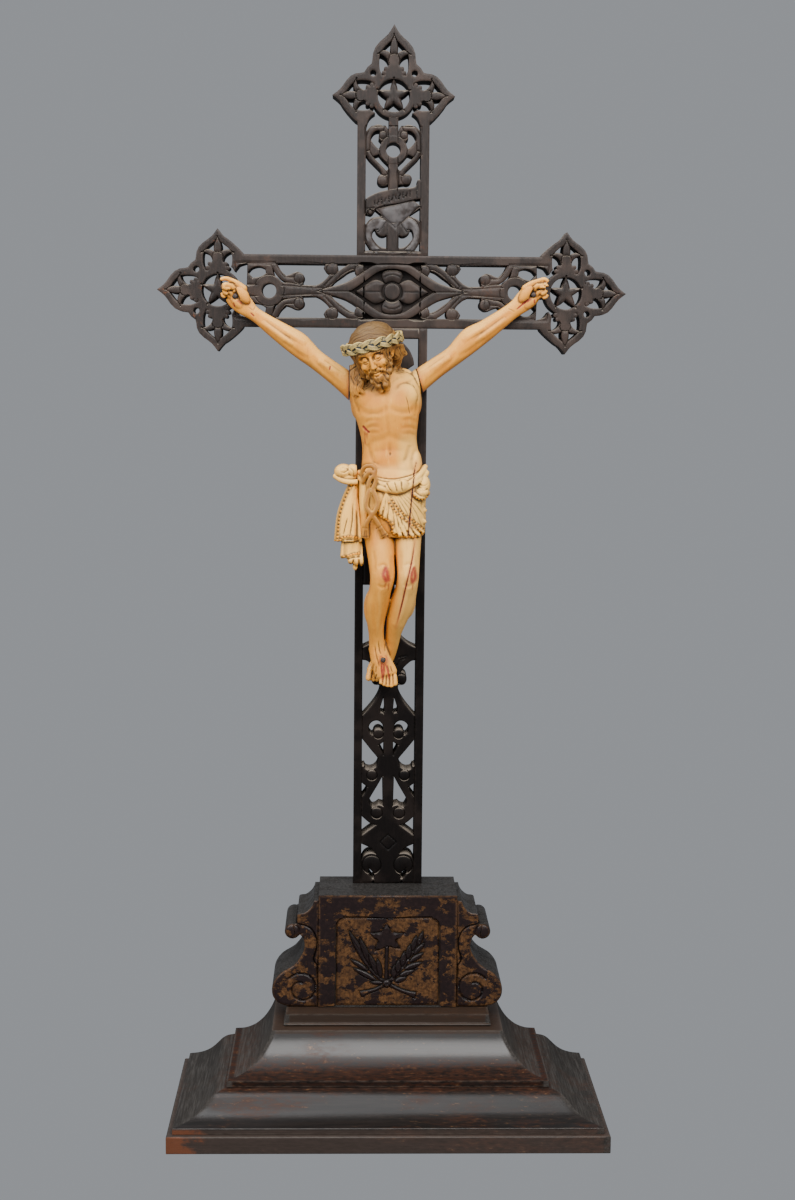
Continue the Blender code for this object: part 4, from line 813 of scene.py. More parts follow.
LOBE_FLANK = [(0.0, 50.2), (2.6, 46.6), (4.8, 44.0), (7.8, 41.6), (11.8, 38.8), (15.4, 35.2), (17.3, 31.2),
              (17.8, 27.2), (18.4, 24.4), (20.4, 23.0), (21.9, 21.9)]
LOBE_RAIL_FLANK = [(0.0, 50.2), (2.9, 46.4), (5.2, 44.0), (8.4, 42.0), (13.2, 38.2), (17.8, 34.0),
                   (20.4, 31.2),
                   (21.2, ARM_HALF)]
LOBE_WINDOW = [(9.6, 16.0), (11.6, 20.4), (12.1, 25.4), (11.7, 29.8), (10.0, 33.0), (7.1, 36.0), (3.4, 38.8),
               (0.0, 41.8)]
COLLAR = [(7.9, 15.5), (7.4, 18.6), (6.4, 21.2), (4.8, 22.8), (4.2, 24.8), (4.6, 27.4), (3.2, 30.2),
          (0.0, 31.0)]
COLLAR_SCALLOPS = [(8.3, 18.0), (6.5, 21.3)]
SCALLOP_RADIUS = 1.8
MIDDLE_LEAF = [(2.8, 24.0), (2.7, 30.0), (3.2, 33.4), (3.1, 36.4), (2.2, 39.6), (0.0, 43.4)]
SIDE_LEAF = [(1.0, 24.0), (1.8, 31.4), (2.9, 31.7), (5.4, 32.9), (8.4, 33.4), (10.8, 32.5), (12.9, 30.9),
             (9.3, 29.9), (6.6, 28.2), (4.9, 25.8), (4.2, 22.4)]
HOOK_GAP = [(0.0, -12.0), (17.5, -8.5), (19.3, -11.6), (15.2, -14.0), (18.4, -16.4), (20.6, -19.4),
            (22.3, -24.6),
            (3.9, -24.0)]
CORNER_HOLE = (17.0, 17.6)
CORNER_HOLE_RADIUS = 2.5
RING_OUTER = 18.0
RING_INNER = 13.2
STAR_TIP = 14.0
STAR_INNER = 5.8
LOBE_BASE = 20.6
GROUND = 0.55
SIDE_LEAF_CARVING = {"sunk": 1.7, "rise": 1.2, "width": 2.2}
MIDDLE_LEAF_CARVING = {"sunk": 1.3, "rise": 1.2, "width": 2.6}
STAR_CARVING = {"sunk": 1.9, "rise": 1.5, "width": 3.4}


def stretched(outline, tip):
    """Lengthen a lobe's outline beyond its base so that it reaches another tip."""
    factor = (tip - LOBE_BASE) / (SIDE_TIP - LOBE_BASE)
    return [(x, z if z < LOBE_BASE else LOBE_BASE + (z - LOBE_BASE) * factor) for x, z in outline]


def trefoil_edge(tip):
    """The outer edge from the rail on the right, round the three lobes, to the rail on the left."""
    right = turned(list(reversed(LOBE_RAIL_FLANK)), (0, 0), 0.0)
    right += turned(on_side(-1, LOBE_FLANK[1:]), (0, 0), 0.0)
    return whole(right[:-1] + stretched(list(reversed(LOBE_FLANK)), tip))


def bent_star(centre, tip, inner):
    """A five-pointed star whose arms bulge a little."""
    outline = []
    for k in range(5):
        for turn, radius in ((0.0, tip), (11.0, tip * 0.72), (36.0, inner), (61.0, tip * 0.72)):
            angle = math.radians(90.0 + 72.0 * k + turn)
            outline.append((centre[0] + radius * math.cos(angle), centre[1] + radius * math.sin(angle)))
    return outline


def trefoil_strokes(centre, heading, tip):
    """Strokes that pierce an end and carve its leaves, ring and star."""
    strokes = []

    def place(outline, lobe=0.0, **carving):
        strokes.append(Stroke(turned(outline, centre, heading + lobe), **carving))

    lobes = ((-90.0, SIDE_TIP), (90.0, SIDE_TIP), (0.0, tip))
    for lobe, reach in lobes:
        place(softened(stretched(whole(LOBE_WINDOW), reach)), lobe, adds=False)
    for side in (-1, 1):
        place(softened(on_side(side, HOOK_GAP), LEAF_CORNER), adds=False)
        place(disc((side * CORNER_HOLE[0], CORNER_HOLE[1]), CORNER_HOLE_RADIUS), adds=False)
    for lobe, reach in lobes:
        for side in (-1, 1):
            leaf = softened(on_side(side, SIDE_LEAF), LEAF_CORNER)
            place(stretched(leaf, reach), lobe, **SIDE_LEAF_CARVING)
        place(softened(stretched(whole(MIDDLE_LEAF), reach)), lobe, **MIDDLE_LEAF_CARVING)
        place(softened(stretched(whole(COLLAR), reach), LEAF_CORNER), lobe)
        for x, z in COLLAR_SCALLOPS:
            for side in (-1, 1):
                place(disc((side * x, z), SCALLOP_RADIUS), lobe)
    strokes.append(Stroke(disc(centre, RING_OUTER)))
    strokes.append(Stroke(disc(centre, RING_INNER), adds=False))
    strokes.append(Stroke(bent_star(centre, STAR_TIP, STAR_INNER), **STAR_CARVING))
    return strokes


def ball(x, z, radius, sunk=1.2, rise=1.6):
    return Stroke(disc((x, z), radius), sunk=sunk, rise=rise, width=radius * 0.95)


def scroll(points, widths, sunk=1.3, rise=1.2, paint=0.0):
    """A half-round band."""
    return Stroke(band(points, widths), sunk=sunk, rise=rise, width=sum(widths) / len(widths), paint=paint)


def scroll_pair(points, widths, sunk=1.3, rise=1.2, paint=0.0):
    return [scroll(on_side(side, points), widths, sunk, rise, paint) for side in (1, -1)]


# The upper arm, with the title banner

UPPER_OPENINGS = [
    [(4.0, 815.0), (5.0, 817.6), (7.6, 820.2), (11.1, 821.4), (14.4, 821.0), (17.5, 819.4), (20.2, 817.2),
     (22.4, 814.8), (22.0, 819.6), (20.9, 823.8), (4.0, 823.8)],
    [(11.0, 814.6), (13.4, 815.8), (15.8, 815.2), (17.7, 813.4), (18.3, 811.0), (18.3, 807.7), (15.8, 804.0),
     (12.2, 800.8), (9.0, 805.6), (12.2, 809.0)],
    [(11.9, 796.2), (16.9, 794.4), (5.9, 783.4), (3.8, 784.8), (3.8, 787.6), (8.7, 792.4)],
    [(5.0, 731.1), (7.6, 730.0), (10.6, 730.4), (13.4, 732.6), (14.7, 735.6), (16.7, 734.2), (17.4, 731.1),
     (16.0, 727.6), (12.6, 723.6), (9.2, 721.4), (5.0, 720.7)],
    [(18.3, 718.7), (22.6, 725.6), (22.6, 718.2)],
]
UPPER_RIGHT_OPENINGS = [
    [(22.6, 795.8), (19.3, 791.7), (10.8, 783.4), (9.8, 780.7), (12.4, 780.5), (14.6, 779.2), (15.5, 776.5),
     (13.9, 773.4), (11.4, 772.4), (9.0, 772.5), (4.0, 771.6), (4.0, 767.8), (22.6, 767.8)],
    [(17.0, 759.2), (22.6, 762.0), (22.6, 754.6)],
    [(12.6, 746.8), (22.6, 753.2), (22.6, 742.4), (19.4, 744.6), (15.6, 746.0)],
]
UPPER_LEFT_OPENINGS = [
    [(-22.6, 795.8), (-19.3, 791.7), (-10.8, 783.4), (-9.0, 780.4), (-11.6, 779.4), (-12.9, 777.4),
     (-13.0, 774.4),
     (-11.2, 771.9), (-8.4, 771.0), (-4.0, 772.0), (-4.0, 766.6), (-22.6, 759.2)],
    [(-22.6, 748.6), (-16.8, 748.4), (-14.6, 751.6), (-8.6, 746.9), (-12.6, 746.0), (-18.0, 744.6),
     (-22.6, 739.6)],
]
SMALL_RING_OUTER = 11.4
SMALL_RING_INNER = 6.0
UPPER_SMALL_RING_Z = 800.0
BANNER_PROUD = 1.2
BANNER = [(-22.4, 760.4), (-19.4, 762.4), (-15.4, 764.4), (-10.0, 766.4), (-4.0, 767.7), (5.2, 769.0),
          (12.0, 769.4), (17.4, 770.2), (19.6, 772.4), (19.8, 775.2), (21.2, 776.3), (22.7, 776.0),
          (22.7, 760.6), (15.8, 759.6), (5.2, 756.9), (-5.5, 755.2), (-11.6, 753.6), (-15.2, 751.6),
          (-16.8, 748.8), (-18.8, 747.7), (-22.4, 748.2)]
BANNER_CURL = (-18.8, 749.6)
BANNER_MARKS = 11
BANNER_MARK_START = -15.0
BANNER_MARK_SPACING = 2.9
BANNER_MARK_WIDTH = 0.75
BANNER_MARK_DEPTH = 1.1
# The level places on the middle line: (half width, low, high)
UPPER_STEMS = [(4.2, 717.0, 741.0), (3.9, 766.0, 826.0)]
UPPER_FIELD_TOP = 819.0
SHIELD = [(-13.4, 752.4), (16.6, 759.6), (22.7, 755.2), (2.2, 736.8)]
PALMETTE = [(12.0, 717.6), (16.8, 722.8), (19.6, 730.0), (18.2, 737.6), (12.6, 740.6), (8.4, 738.0)]
PALMETTE_WIDTHS = [2.6, 2.7, 2.6, 3.6, 5.2, 5.6]
CURL = [(20.9, 799.0), (20.7, 806.0), (19.9, 811.6), (16.8, 816.2), (12.2, 817.8), (8.0, 816.2)]
CURL_WIDTHS = [1.6, 1.8, 2.0, 2.4, 2.6, 2.4]
VEE = [(20.8, 799.0), (18.2, 793.6), (13.2, 788.6), (8.6, 783.6), (6.6, 779.4)]
VEE_WIDTHS = [1.4, 1.7, 1.6, 1.9, 2.4]


def banner_marks():
    """Rows of short strokes, alternately upright and slanted, that spell nothing."""
    runs = []
    for k in range(BANNER_MARKS):
        x = BANNER_MARK_START + BANNER_MARK_SPACING * k
        z = 759.6 + 0.27 * (x + 5.0)
        tall = 2.3 if k % 3 else 1.5
        slant = 0.7 if k % 2 else -0.2
        runs.append(([(x - slant, z - tall), (x + slant, z + tall)], BANNER_MARK_WIDTH, BANNER_MARK_DEPTH))
    return runs


def make_upper_arm():
    edge = [(x, z + TOP_RING_Z) for x, z in trefoil_edge(TOP_TIP)]
    foot = BEAM_MIDDLE + ARM_HALF + GAP
    inner = ARM_HALF - RAIL
    strokes = [Stroke([(-ARM_HALF, foot), (ARM_HALF, foot)] + edge)]
    strokes.append(Stroke(rectangle(inner + 0.3, foot + 3.0, UPPER_FIELD_TOP), sunk=GROUND + 0.5, rise=0.6,
                          width=2.0))
    strokes += openings(both_sides(UPPER_OPENINGS) + UPPER_RIGHT_OPENINGS + UPPER_LEFT_OPENINGS)
    strokes += trefoil_strokes((0.0, TOP_RING_Z), 90.0, TOP_TIP)
    strokes += scroll_pair(CURL, CURL_WIDTHS, 1.2, 1.5) + scroll_pair(VEE, VEE_WIDTHS)
    # Their paint mark sets a painted sheen on the palmettes
    strokes += scroll_pair(PALMETTE, PALMETTE_WIDTHS, 1.0, 1.9, 0.8)
    strokes += [ball(side * 8.8, 811.8, 3.2) for side in (-1, 1)]
    strokes += [ball(-8.9, 775.4, 4.2), ball(11.0, 776.4, 4.3)]
    strokes += [Stroke(rectangle(*stem), sunk=0.2) for stem in UPPER_STEMS]
    strokes.append(Stroke(disc((0.0, UPPER_SMALL_RING_Z), SMALL_RING_OUTER)))
    strokes.append(Stroke(disc((0.0, UPPER_SMALL_RING_Z), SMALL_RING_INNER), adds=False))
    # Its paint mark sets a painted sheen on the shield
    strokes.append(Stroke(SHIELD, sunk=1.0, rise=1.5, width=6.5, paint=0.6))
    strokes.append(Stroke(softened(BANNER, LEAF_CORNER), sunk=0.3 - BANNER_PROUD, rise=0.3, width=1.2))
    strokes.append(ball(*BANNER_CURL, 2.2, 1.6, 1.6))
    fold = [(20.2, 759.8), (19.5, 765.0), (19.9, 771.4)]
    turn_under = [(-21.6, 752.2), (-18.4, 752.4), (-15.4, 752.9)]
    grooves = banner_marks() + [(fold, 0.8, 0.7), (turn_under, 0.9, 1.2)]
    for side in (-1, 1):
        grooves.append(([(side * 4.3, 719.0), (side * 8.6, 716.6)], 0.6, 0.5))
        grooves.append(([(side * 4.1, 787.0), (side * 4.1, 770.0)], 0.5, 0.5))
    cross_board("upper_arm_carving", "upper_arm", strokes, grooves)


# The beam, with a trefoil at each end and a flower boss at its middle

BEAM_OPENINGS = [
    [(95.5, 21.9), (55.5, 21.9), (56.9, 18.9), (54.4, 15.2), (50.6, 12.9), (53.9, 8.4), (58.4, 5.8),
     (62.8, 4.7),
     (74.0, 4.9), (73.8, 12.0), (76.5, 15.2), (80.3, 15.3), (84.6, 13.4), (88.0, 12.4), (92.4, 16.6)],
    [(45.6, 21.9), (37.2, 21.9), (41.0, 18.2), (44.6, 15.2), (46.6, 18.2)],
    [(30.2, 17.6), (29.8, 12.6), (34.0, 9.8), (41.5, 6.0), (51.0, 3.1), (47.5, 7.2), (41.5, 11.5),
     (36.0, 15.4)],
    [(119.6, 14.6), (116.2, 18.0), (110.5, 19.4), (105.2, 17.6), (104.6, 14.2), (109.0, 11.5),
     (115.5, 10.4)],
    [(99.3, 19.8), (97.4, 12.4), (91.6, 7.2), (86.8, 6.6), (90.8, 11.4), (95.0, 16.4)],
    [(122.2, 21.4), (127.0, 19.8), (129.4, 15.7), (126.4, 12.0), (127.5, 5.0), (123.6, 4.9), (125.2, 12.0),
     (124.0, 17.8)],
]
BEAM_RING_X = 102.0
BEAM_RING_OUTER = 12.6
BEAM_STEM_HALF = 4.6
BOSS_OUTER = [(62.0, 0.0), (54.0, 2.7), (47.0, 4.6), (40.5, 6.6), (34.0, 9.5), (28.0, 13.2), (22.6, 17.0),
              (17.0, 20.8), (12.0, 22.4), (6.0, 22.9), (0.0, 23.0)]
BOSS_INNER = [(34.6, 0.0), (28.0, 4.2), (22.6, 8.2), (16.5, 12.8), (11.0, 16.2), (5.5, 18.0), (0.0, 18.5)]
BOSS_GROUND_DEPTH = 8.3
BOSS_POST = 23.5
UPRIGHT_PETAL = [(0.0, 0.0), (3.4, 4.0), (7.2, 8.4), (8.9, 12.6), (8.4, 15.6), (5.0, 17.8), (0.0, 18.3)]
LEVEL_PETAL = [(0.0, 0.0), (5.2, 4.0), (9.4, 10.6), (9.6, 15.6), (6.4, 21.0), (3.0, 26.0), (0.0, 31.0)]
BOSS_EYE_RADIUS = 6.8
PETAL_CORNER = 70.0
PETAL_CARVING = {"sunk": 4.6, "rise": 2.6, "width": 5.0}
# Half height of the long bud between the boss and the ring
BEAM_BUD_HALF = 4.3
# (x, z, radius) of the rounded ends in one quarter of the beam, and their depth and rise
BEAM_POST_BALL = (26.6, 16.9, 4.6)
BEAM_BALLS = [(49.6, 18.2, 4.9), BEAM_POST_BALL, (77.0, 10.4, 4.3)]
BEAM_BALL_CARVING = (1.0, 1.4)
BEAM_SCROLLS = [([(66.0, 1.6), (58.0, 4.4), (52.0, 9.4), (48.6, 14.0)], [1.8, 2.6, 2.6, 3.0]),
                ([(55.0, 3.6), (48.6, 9.6), (42.6, 15.4), (34.6, 20.0), (28.6, 19.8)],
                 [1.4, 1.9, 2.1, 2.3, 2.6]),
                ([(77.0, 8.0), (84.0, 8.6), (89.6, 9.6), (94.6, 14.6), (98.6, 22.0)],
                 [2.8, 2.2, 2.0, 2.2, 2.0])]


def make_crossbar():
    def upside_down(outline):
        return [(x, -z) for x, z in reversed(outline)]

    def raised(outline):
        return [(x, BEAM_MIDDLE + z) for x, z in outline]

    def oval(quarter):
        top = whole(quarter)
        return softened(raised(top + upside_down(top[1:-1])))

    def block(near, far, low, high):
        return [(near, BEAM_MIDDLE + low), (far, BEAM_MIDDLE + low), (far, BEAM_MIDDLE + high),
                (near, BEAM_MIDDLE + high)]

    edge = trefoil_edge(SIDE_TIP)
    right = turned(edge, (END_RING_X, BEAM_MIDDLE), 0.0)
    left = turned(edge, (-END_RING_X, BEAM_MIDDLE), 180.0)
    inner = ARM_HALF - RAIL
    strokes = [Stroke(right + left)]
    reach = END_RING_X - 15.0
    strokes.append(Stroke(block(-reach, reach, -inner, inner), sunk=GROUND + 0.4, rise=0.7, width=2.0))
    halves = BEAM_OPENINGS + [upside_down(outline) for outline in BEAM_OPENINGS]
    strokes += openings(both_sides([raised(outline) for outline in halves]))
    for side, heading in ((1, 0.0), (-1, 180.0)):
        strokes += trefoil_strokes((side * END_RING_X, BEAM_MIDDLE), heading, SIDE_TIP)
        for up in (1, -1):
            for points, widths in BEAM_SCROLLS:
                run = [(side * x, BEAM_MIDDLE + up * z) for x, z in points]
                strokes.append(scroll(run, widths, 1.0, 0.9))
            strokes += [ball(side * x, BEAM_MIDDLE + up * z, radius, *BEAM_BALL_CARVING)
                        for x, z, radius in BEAM_BALLS]
        near, far = side * (BEAM_RING_X - 44.0), side * (BEAM_RING_X - 8.0)
        low, high = BEAM_MIDDLE - BEAM_BUD_HALF, BEAM_MIDDLE + BEAM_BUD_HALF
        strokes.append(Stroke([(near, low + 2), (far, low), (far, high), (near, high - 2)], sunk=0.9,
                              rise=0.7,
                              width=2.6))
        strokes.append(Stroke(disc((side * BEAM_RING_X, BEAM_MIDDLE), BEAM_RING_OUTER)))
        near, far = side * (BEAM_RING_X + 8.0), side * (END_RING_X - 14.0)
        strokes.append(Stroke(block(near, far, -BEAM_STEM_HALF, BEAM_STEM_HALF), sunk=0.2))
        strokes.append(Stroke(disc((side * BEAM_RING_X, BEAM_MIDDLE), SMALL_RING_INNER), adds=False))
    post = rectangle(BOSS_POST, BEAM_MIDDLE - inner, BEAM_MIDDLE + inner)
    strokes.append(Stroke(post, sunk=BOSS_GROUND_DEPTH))
    x, z, radius = BEAM_POST_BALL
    for side in (-1, 1):
        for up in (1, -1):
            strokes.append(ball(side * x, BEAM_MIDDLE + up * z, radius, *BEAM_BALL_CARVING))
    strokes.append(Stroke(oval(BOSS_OUTER), sunk=1.2, rise=1.3, width=2.3))
    strokes.append(Stroke(oval(BOSS_INNER), sunk=BOSS_GROUND_DEPTH))
    for heading, half in ((90.0, UPRIGHT_PETAL), (0.0, LEVEL_PETAL)):
        for turn in (0.0, 180.0):
            outline = softened(half + flipped(half[1:-1]), PETAL_CORNER)
            strokes.append(Stroke(turned(outline, (0.0, BEAM_MIDDLE), heading + turn), **PETAL_CARVING))
    strokes.append(Stroke(disc((0.0, BEAM_MIDDLE), BOSS_EYE_RADIUS + 1.5), sunk=5.4))
    strokes.append(Stroke(disc((0.0, BEAM_MIDDLE), BOSS_EYE_RADIUS), sunk=2.0, rise=1.0, width=1.6))
    grooves = []
    for side in (-1, 1):
        for near, far, half_width, depth in ((60.0, 36.0, 0.7, 0.6), (10.0, 26.0, 1.0, 0.35)):
            grooves.append(([(side * near, BEAM_MIDDLE), (side * far, BEAM_MIDDLE)], half_width, depth))
    for up in (-1, 1):
        lip = arc((0.0, BEAM_MIDDLE + up * 3.5), 10.6, 50.0 * up, 130.0 * up, 12)
        grooves.append((lip, 0.8, 0.6))
    cross_board("beam_carving", "crossbar", strokes, grooves)


# The lower upright

SHAFT_OPENINGS = [
    [(22.6, 440.0), (4.2, 440.0), (4.2, 402.0), (6.4, 398.6), (9.4, 395.6), (15.2, 390.4), (22.6, 386.6)],
    [(22.6, 375.6), (19.6, 375.2), (17.0, 373.6), (12.8, 369.6), (10.4, 366.0), (12.8, 364.8), (14.8, 362.0),
     (14.8, 357.6), (12.6, 354.6), (7.8, 354.0), (8.0, 350.0), (9.0, 346.0), (12.2, 340.0), (17.6, 333.0),
     (22.6, 327.4)],
    [(4.6, 342.8), (6.0, 338.6), (7.4, 333.4), (7.0, 330.6), (4.4, 329.8), (3.8, 333.0)],
    [(4.8, 313.0), (4.9, 318.4), (6.4, 321.4), (9.4, 323.2), (12.8, 322.8), (15.6, 320.6), (16.9, 317.2),
     (16.4, 313.0), (14.4, 310.6), (12.0, 312.0)],
    [(4.0, 304.8), (8.1, 302.0), (6.2, 297.4), (4.2, 293.6)],
    [(22.6, 307.5), (22.6, 283.6), (20.6, 283.8), (19.8, 281.6), (17.6, 280.4), (14.6, 280.4), (12.0, 281.7),
     (9.8, 284.2), (8.8, 288.0), (9.2, 290.8), (15.4, 298.4)],
    [(22.6, 269.0), (22.4, 256.6), (19.6, 260.6), (18.0, 265.4)],
    [(5.0, 274.5), (4.4, 249.0), (8.0, 249.9), (11.0, 247.6), (13.7, 247.2), (15.4, 250.0), (16.2, 253.6),
     (14.6, 257.4), (8.5, 267.9)],
    [(22.4, 239.6), (22.4, 222.6), (17.6, 226.4), (13.4, 229.4), (10.4, 232.0), (14.2, 233.0), (17.8, 235.4)],
    [(22.6, 215.4), (22.6, 200.6), (20.6, 204.2), (17.7, 206.4), (14.0, 207.2), (10.5, 206.8), (14.8, 211.5)],
]
SHAFT_EYE = [(15.8, 193.2), (11.4, 188.6), (11.6, 184.8), (13.4, 184.0), (15.0, 186.4), (16.6, 190.4)]
HEAD_ARCH = [(4.2, 646.7), (22.6, 646.7), (22.6, 600.0), (14.0, 600.0), (13.2, 621.0), (18.8, 625.0),
             (18.0, 630.0), (14.4, 637.8), (8.6, 644.0)]
SHAFT_FOOT_NOTCH = [(9.6, 179.5), (14.6, 179.5), (12.4, 182.4)]
SHAFT_CRESCENTS = [[(8.0, 377.6), (11.8, 379.0), (15.0, 379.2)], [(6.0, 371.0), (9.0, 375.0), (14.0, 377.4)]]
SHAFT_DIAMOND = [(-6.6, 216.9), (0.2, 223.6), (7.4, 216.9), (0.3, 209.9), (-6.6, 216.9)]
# (x, z, radius) of the rounded ends on the right side of the lower upright
SHAFT_BALLS = [(10.6, 359.2, 4.4), (8.7, 311.8, 4.4), (13.9, 275.6, 4.6), (9.6, 242.4, 5.0),
               (13.6, 196.6, 8.2)]


def make_shaft():
    top = BEAM_MIDDLE - ARM_HALF - GAP
    foot = DIE_TOP + GAP
    inner = ARM_HALF - RAIL
    strokes = [Stroke(rectangle(ARM_HALF, foot, top)),
               Stroke(rectangle(inner + 0.4, foot, top), sunk=0.55, rise=0.4, width=1.4)]
    strokes += openings(both_sides(SHAFT_OPENINGS + [HEAD_ARCH, SHAFT_FOOT_NOTCH]))
    for x, z, radius in SHAFT_BALLS:
        strokes += [ball(side * x, z, radius, 1.2, 1.7) for side in (-1, 1)]
    strokes += openings(both_sides([SHAFT_EYE]))
    grooves = [(on_side(side, run), 0.9, 0.9) for side in (-1, 1) for run in SHAFT_CRESCENTS]
    grooves.append((SHAFT_DIAMOND, 0.8, 0.9))
    cross_board("shaft_carving", "cross_shaft", strokes, grooves)


# The die, with a framed panel and the carved emblem

DIE_HALF_WIDTH = 58.5
DIE_FRONT = 24.4
PANEL_HALF_WIDTH = 43.6
PANEL_TOP = 160.6
PANEL_CORNER = 6.0
PANEL_DEPTH = 2.0
KNOT = (-0.4, 102.8)
EMBLEM_MIDDLE = (-0.8, 142.6)
STAR_TIPS = [(-1.0, 154.7), (14.0, 146.4), (10.6, 133.1), (-10.7, 131.0), (-15.2, 146.6)]
LEFT_LEAVES = [((-15.4, 116.0), (-33.4, 149.6), 2.5), ((-15.0, 120.0), (-23.8, 143.0), 2.4),
               ((-8.4, 110.6), (-15.8, 129.0), 2.3), ((-5.4, 107.6), (-8.6, 125.0), 2.2),
               ((-16.6, 114.4), (-31.4, 124.0), 2.0), ((-9.4, 105.8), (-29.6, 116.6), 2.2),
               ((-3.2, 103.4), (-15.0, 103.8), 1.7)]
RIGHT_LEAVES = [((5.4, 107.6), (6.2, 119.0), 2.5), ((8.6, 111.8), (10.4, 124.6), 2.5),
                ((12.4, 117.6), (14.8, 131.4), 2.5), ((17.0, 124.4), (19.6, 137.6), 2.4),
                ((21.0, 131.6), (24.6, 145.0), 2.3), ((6.4, 104.4), (16.8, 108.6), 2.4),
                ((10.6, 109.8), (23.4, 114.6), 2.4), ((14.4, 115.6), (29.8, 121.4), 2.3),
                ((18.6, 121.8), (31.0, 130.0), 2.2), ((22.4, 128.6), (31.4, 138.6), 2.0),
                ((25.6, 136.0), (30.2, 149.0), 2.0)]
STEM = [(-1.0, 104.0), (-0.8, 120.0), (-0.6, 137.0)]
SPRAY_STEMS = [[KNOT, (-8.0, 108.6), (-16.0, 117.0), (-22.0, 128.0)],
               [KNOT, (8.0, 110.6), (16.6, 122.0), (24.0, 135.0), (27.0, 142.0)]]
SPRAY_STEM_WIDTHS = [1.5, 1.2, 1.1, 0.9, 0.7]
KNOT_TIES = [[(-3.4, 104.4), (2.6, 101.0)], [(-3.0, 101.2), (2.4, 104.6)]]
RIBBONS = [[(-3.0, 101.4), (-10.0, 97.6), (-16.4, 95.6), (-23.0, 93.2)],
           [(2.6, 101.4), (9.6, 97.8), (16.6, 95.0), (24.2, 92.2)]]
RIBBON_WIDTHS = [1.5, 1.3, 1.6, 2.9]
# A leaf's half width at places along it, as shares
LENS_SHAPE = [(0.0, 0.25), (0.22, 0.85), (0.5, 1.0), (0.78, 0.7), (1.0, 0.08)]


def lens(root, tip, half_width):
    """The outline of a leaf from its root to its tip."""
    a, b = Vector(root), Vector(tip)
    return band([tuple(a.lerp(b, t)) for t, _ in LENS_SHAPE], [half_width * s for _, s in LENS_SHAPE], 0.6)


def make_die():
    low = FOOT_BOARD_TOP + GAP
    corner = arc((PANEL_HALF_WIDTH - PANEL_CORNER, PANEL_TOP - PANEL_CORNER), PANEL_CORNER, 0.0, 90.0, 12)
    panel = [(-PANEL_HALF_WIDTH, low + 1.0), (PANEL_HALF_WIDTH, low + 1.0)] + corner + flipped(corner)
    strokes = [Stroke(rectangle(DIE_HALF_WIDTH, low, DIE_TOP), paint=0.02),
               Stroke(panel, sunk=PANEL_DEPTH + 1.2, rise=1.2, width=1.5, paint=-0.045)]

    def relief(outline, rise, width, paint):
        strokes.append(Stroke(outline, sunk=PANEL_DEPTH, rise=rise, width=width, paint=paint))

    relief(band(STEM, [1.3] * 3), 1.3, 1.3, 0.06)
    for stem in SPRAY_STEMS:
        relief(band(stem, SPRAY_STEM_WIDTHS[:len(stem)]), 1.2, 1.2, 0.10)
    grooves = []
    for root, tip, half_width in LEFT_LEAVES + RIGHT_LEAVES:
        relief(lens(root, tip, half_width), 1.7, half_width, 0.12)
        a, b = Vector(root), Vector(tip)
        grooves.append(([tuple(a.lerp(b, 0.25)), tuple(a.lerp(b, 0.9))], 0.5, 0.5))
    for run in RIBBONS:
        relief(band(run, RIBBON_WIDTHS), 1.4, 1.4, 0.06)
    relief(disc(KNOT, 3.6), 2.2, 3.4, 0.05)
    star = []
    for tip, after in zip(STAR_TIPS, STAR_TIPS[1:] + STAR_TIPS[:1]):
        middle = (Vector(tip) + Vector(after)) / 2
        star += [tip, tuple(Vector(EMBLEM_MIDDLE).lerp(middle, 0.62))]
    strokes.append(Stroke(star, sunk=0.5, paint=0.2))
    grooves += [(tie, 0.4, 0.5) for tie in KNOT_TIES]
    die_board("die_carving", "die_block", DIE_FRONT, strokes, grooves)


# The volute brackets, drawn for the right side

BRACKET_FRONT = DIE_FRONT + 1.2
BRACKET_TOP = 175.2
BRACKET_EDGE = [(62.6, BRACKET_TOP), (63.4, 172.0), (66.0, 168.0), (70.5, 164.6), (76.2, 163.2),
                (76.6, 156.5)]
BRACKET_WAIST = [(74.6, 145.8), (71.2, 140.6), (71.4, 131.0), (79.2, 119.4), (91.0, 111.4), (97.2, 102.2),
                 (97.4, 92.0), (92.0, 85.2), (84.0, 82.4)]
UPPER_VOLUTE = (80.6, 148.4)
UPPER_VOLUTE_RADIUS = 6.2
VOLUTE_NECK = [(70.0, 148.0), (77.0, 155.0), (80.0, 154.4), (78.0, 143.0)]
LOWER_VOLUTE = (73.0, 98.4)
# The groove that winds into the lower volute: angles in degrees, radius and how far it closes
SPIRAL_POINTS = 40
SPIRAL_START = 40.0
SPIRAL_SWEEP = 415.0
SPIRAL_RADIUS = 13.6
SPIRAL_CLOSING = 8.6
SCROLL_BACK = [(59.2, 118.0), (62.6, 124.0), (60.4, 132.7), (60.0, 141.1), (63.6, 149.4), (69.4, 153.6),
               (78.0, 155.4)]


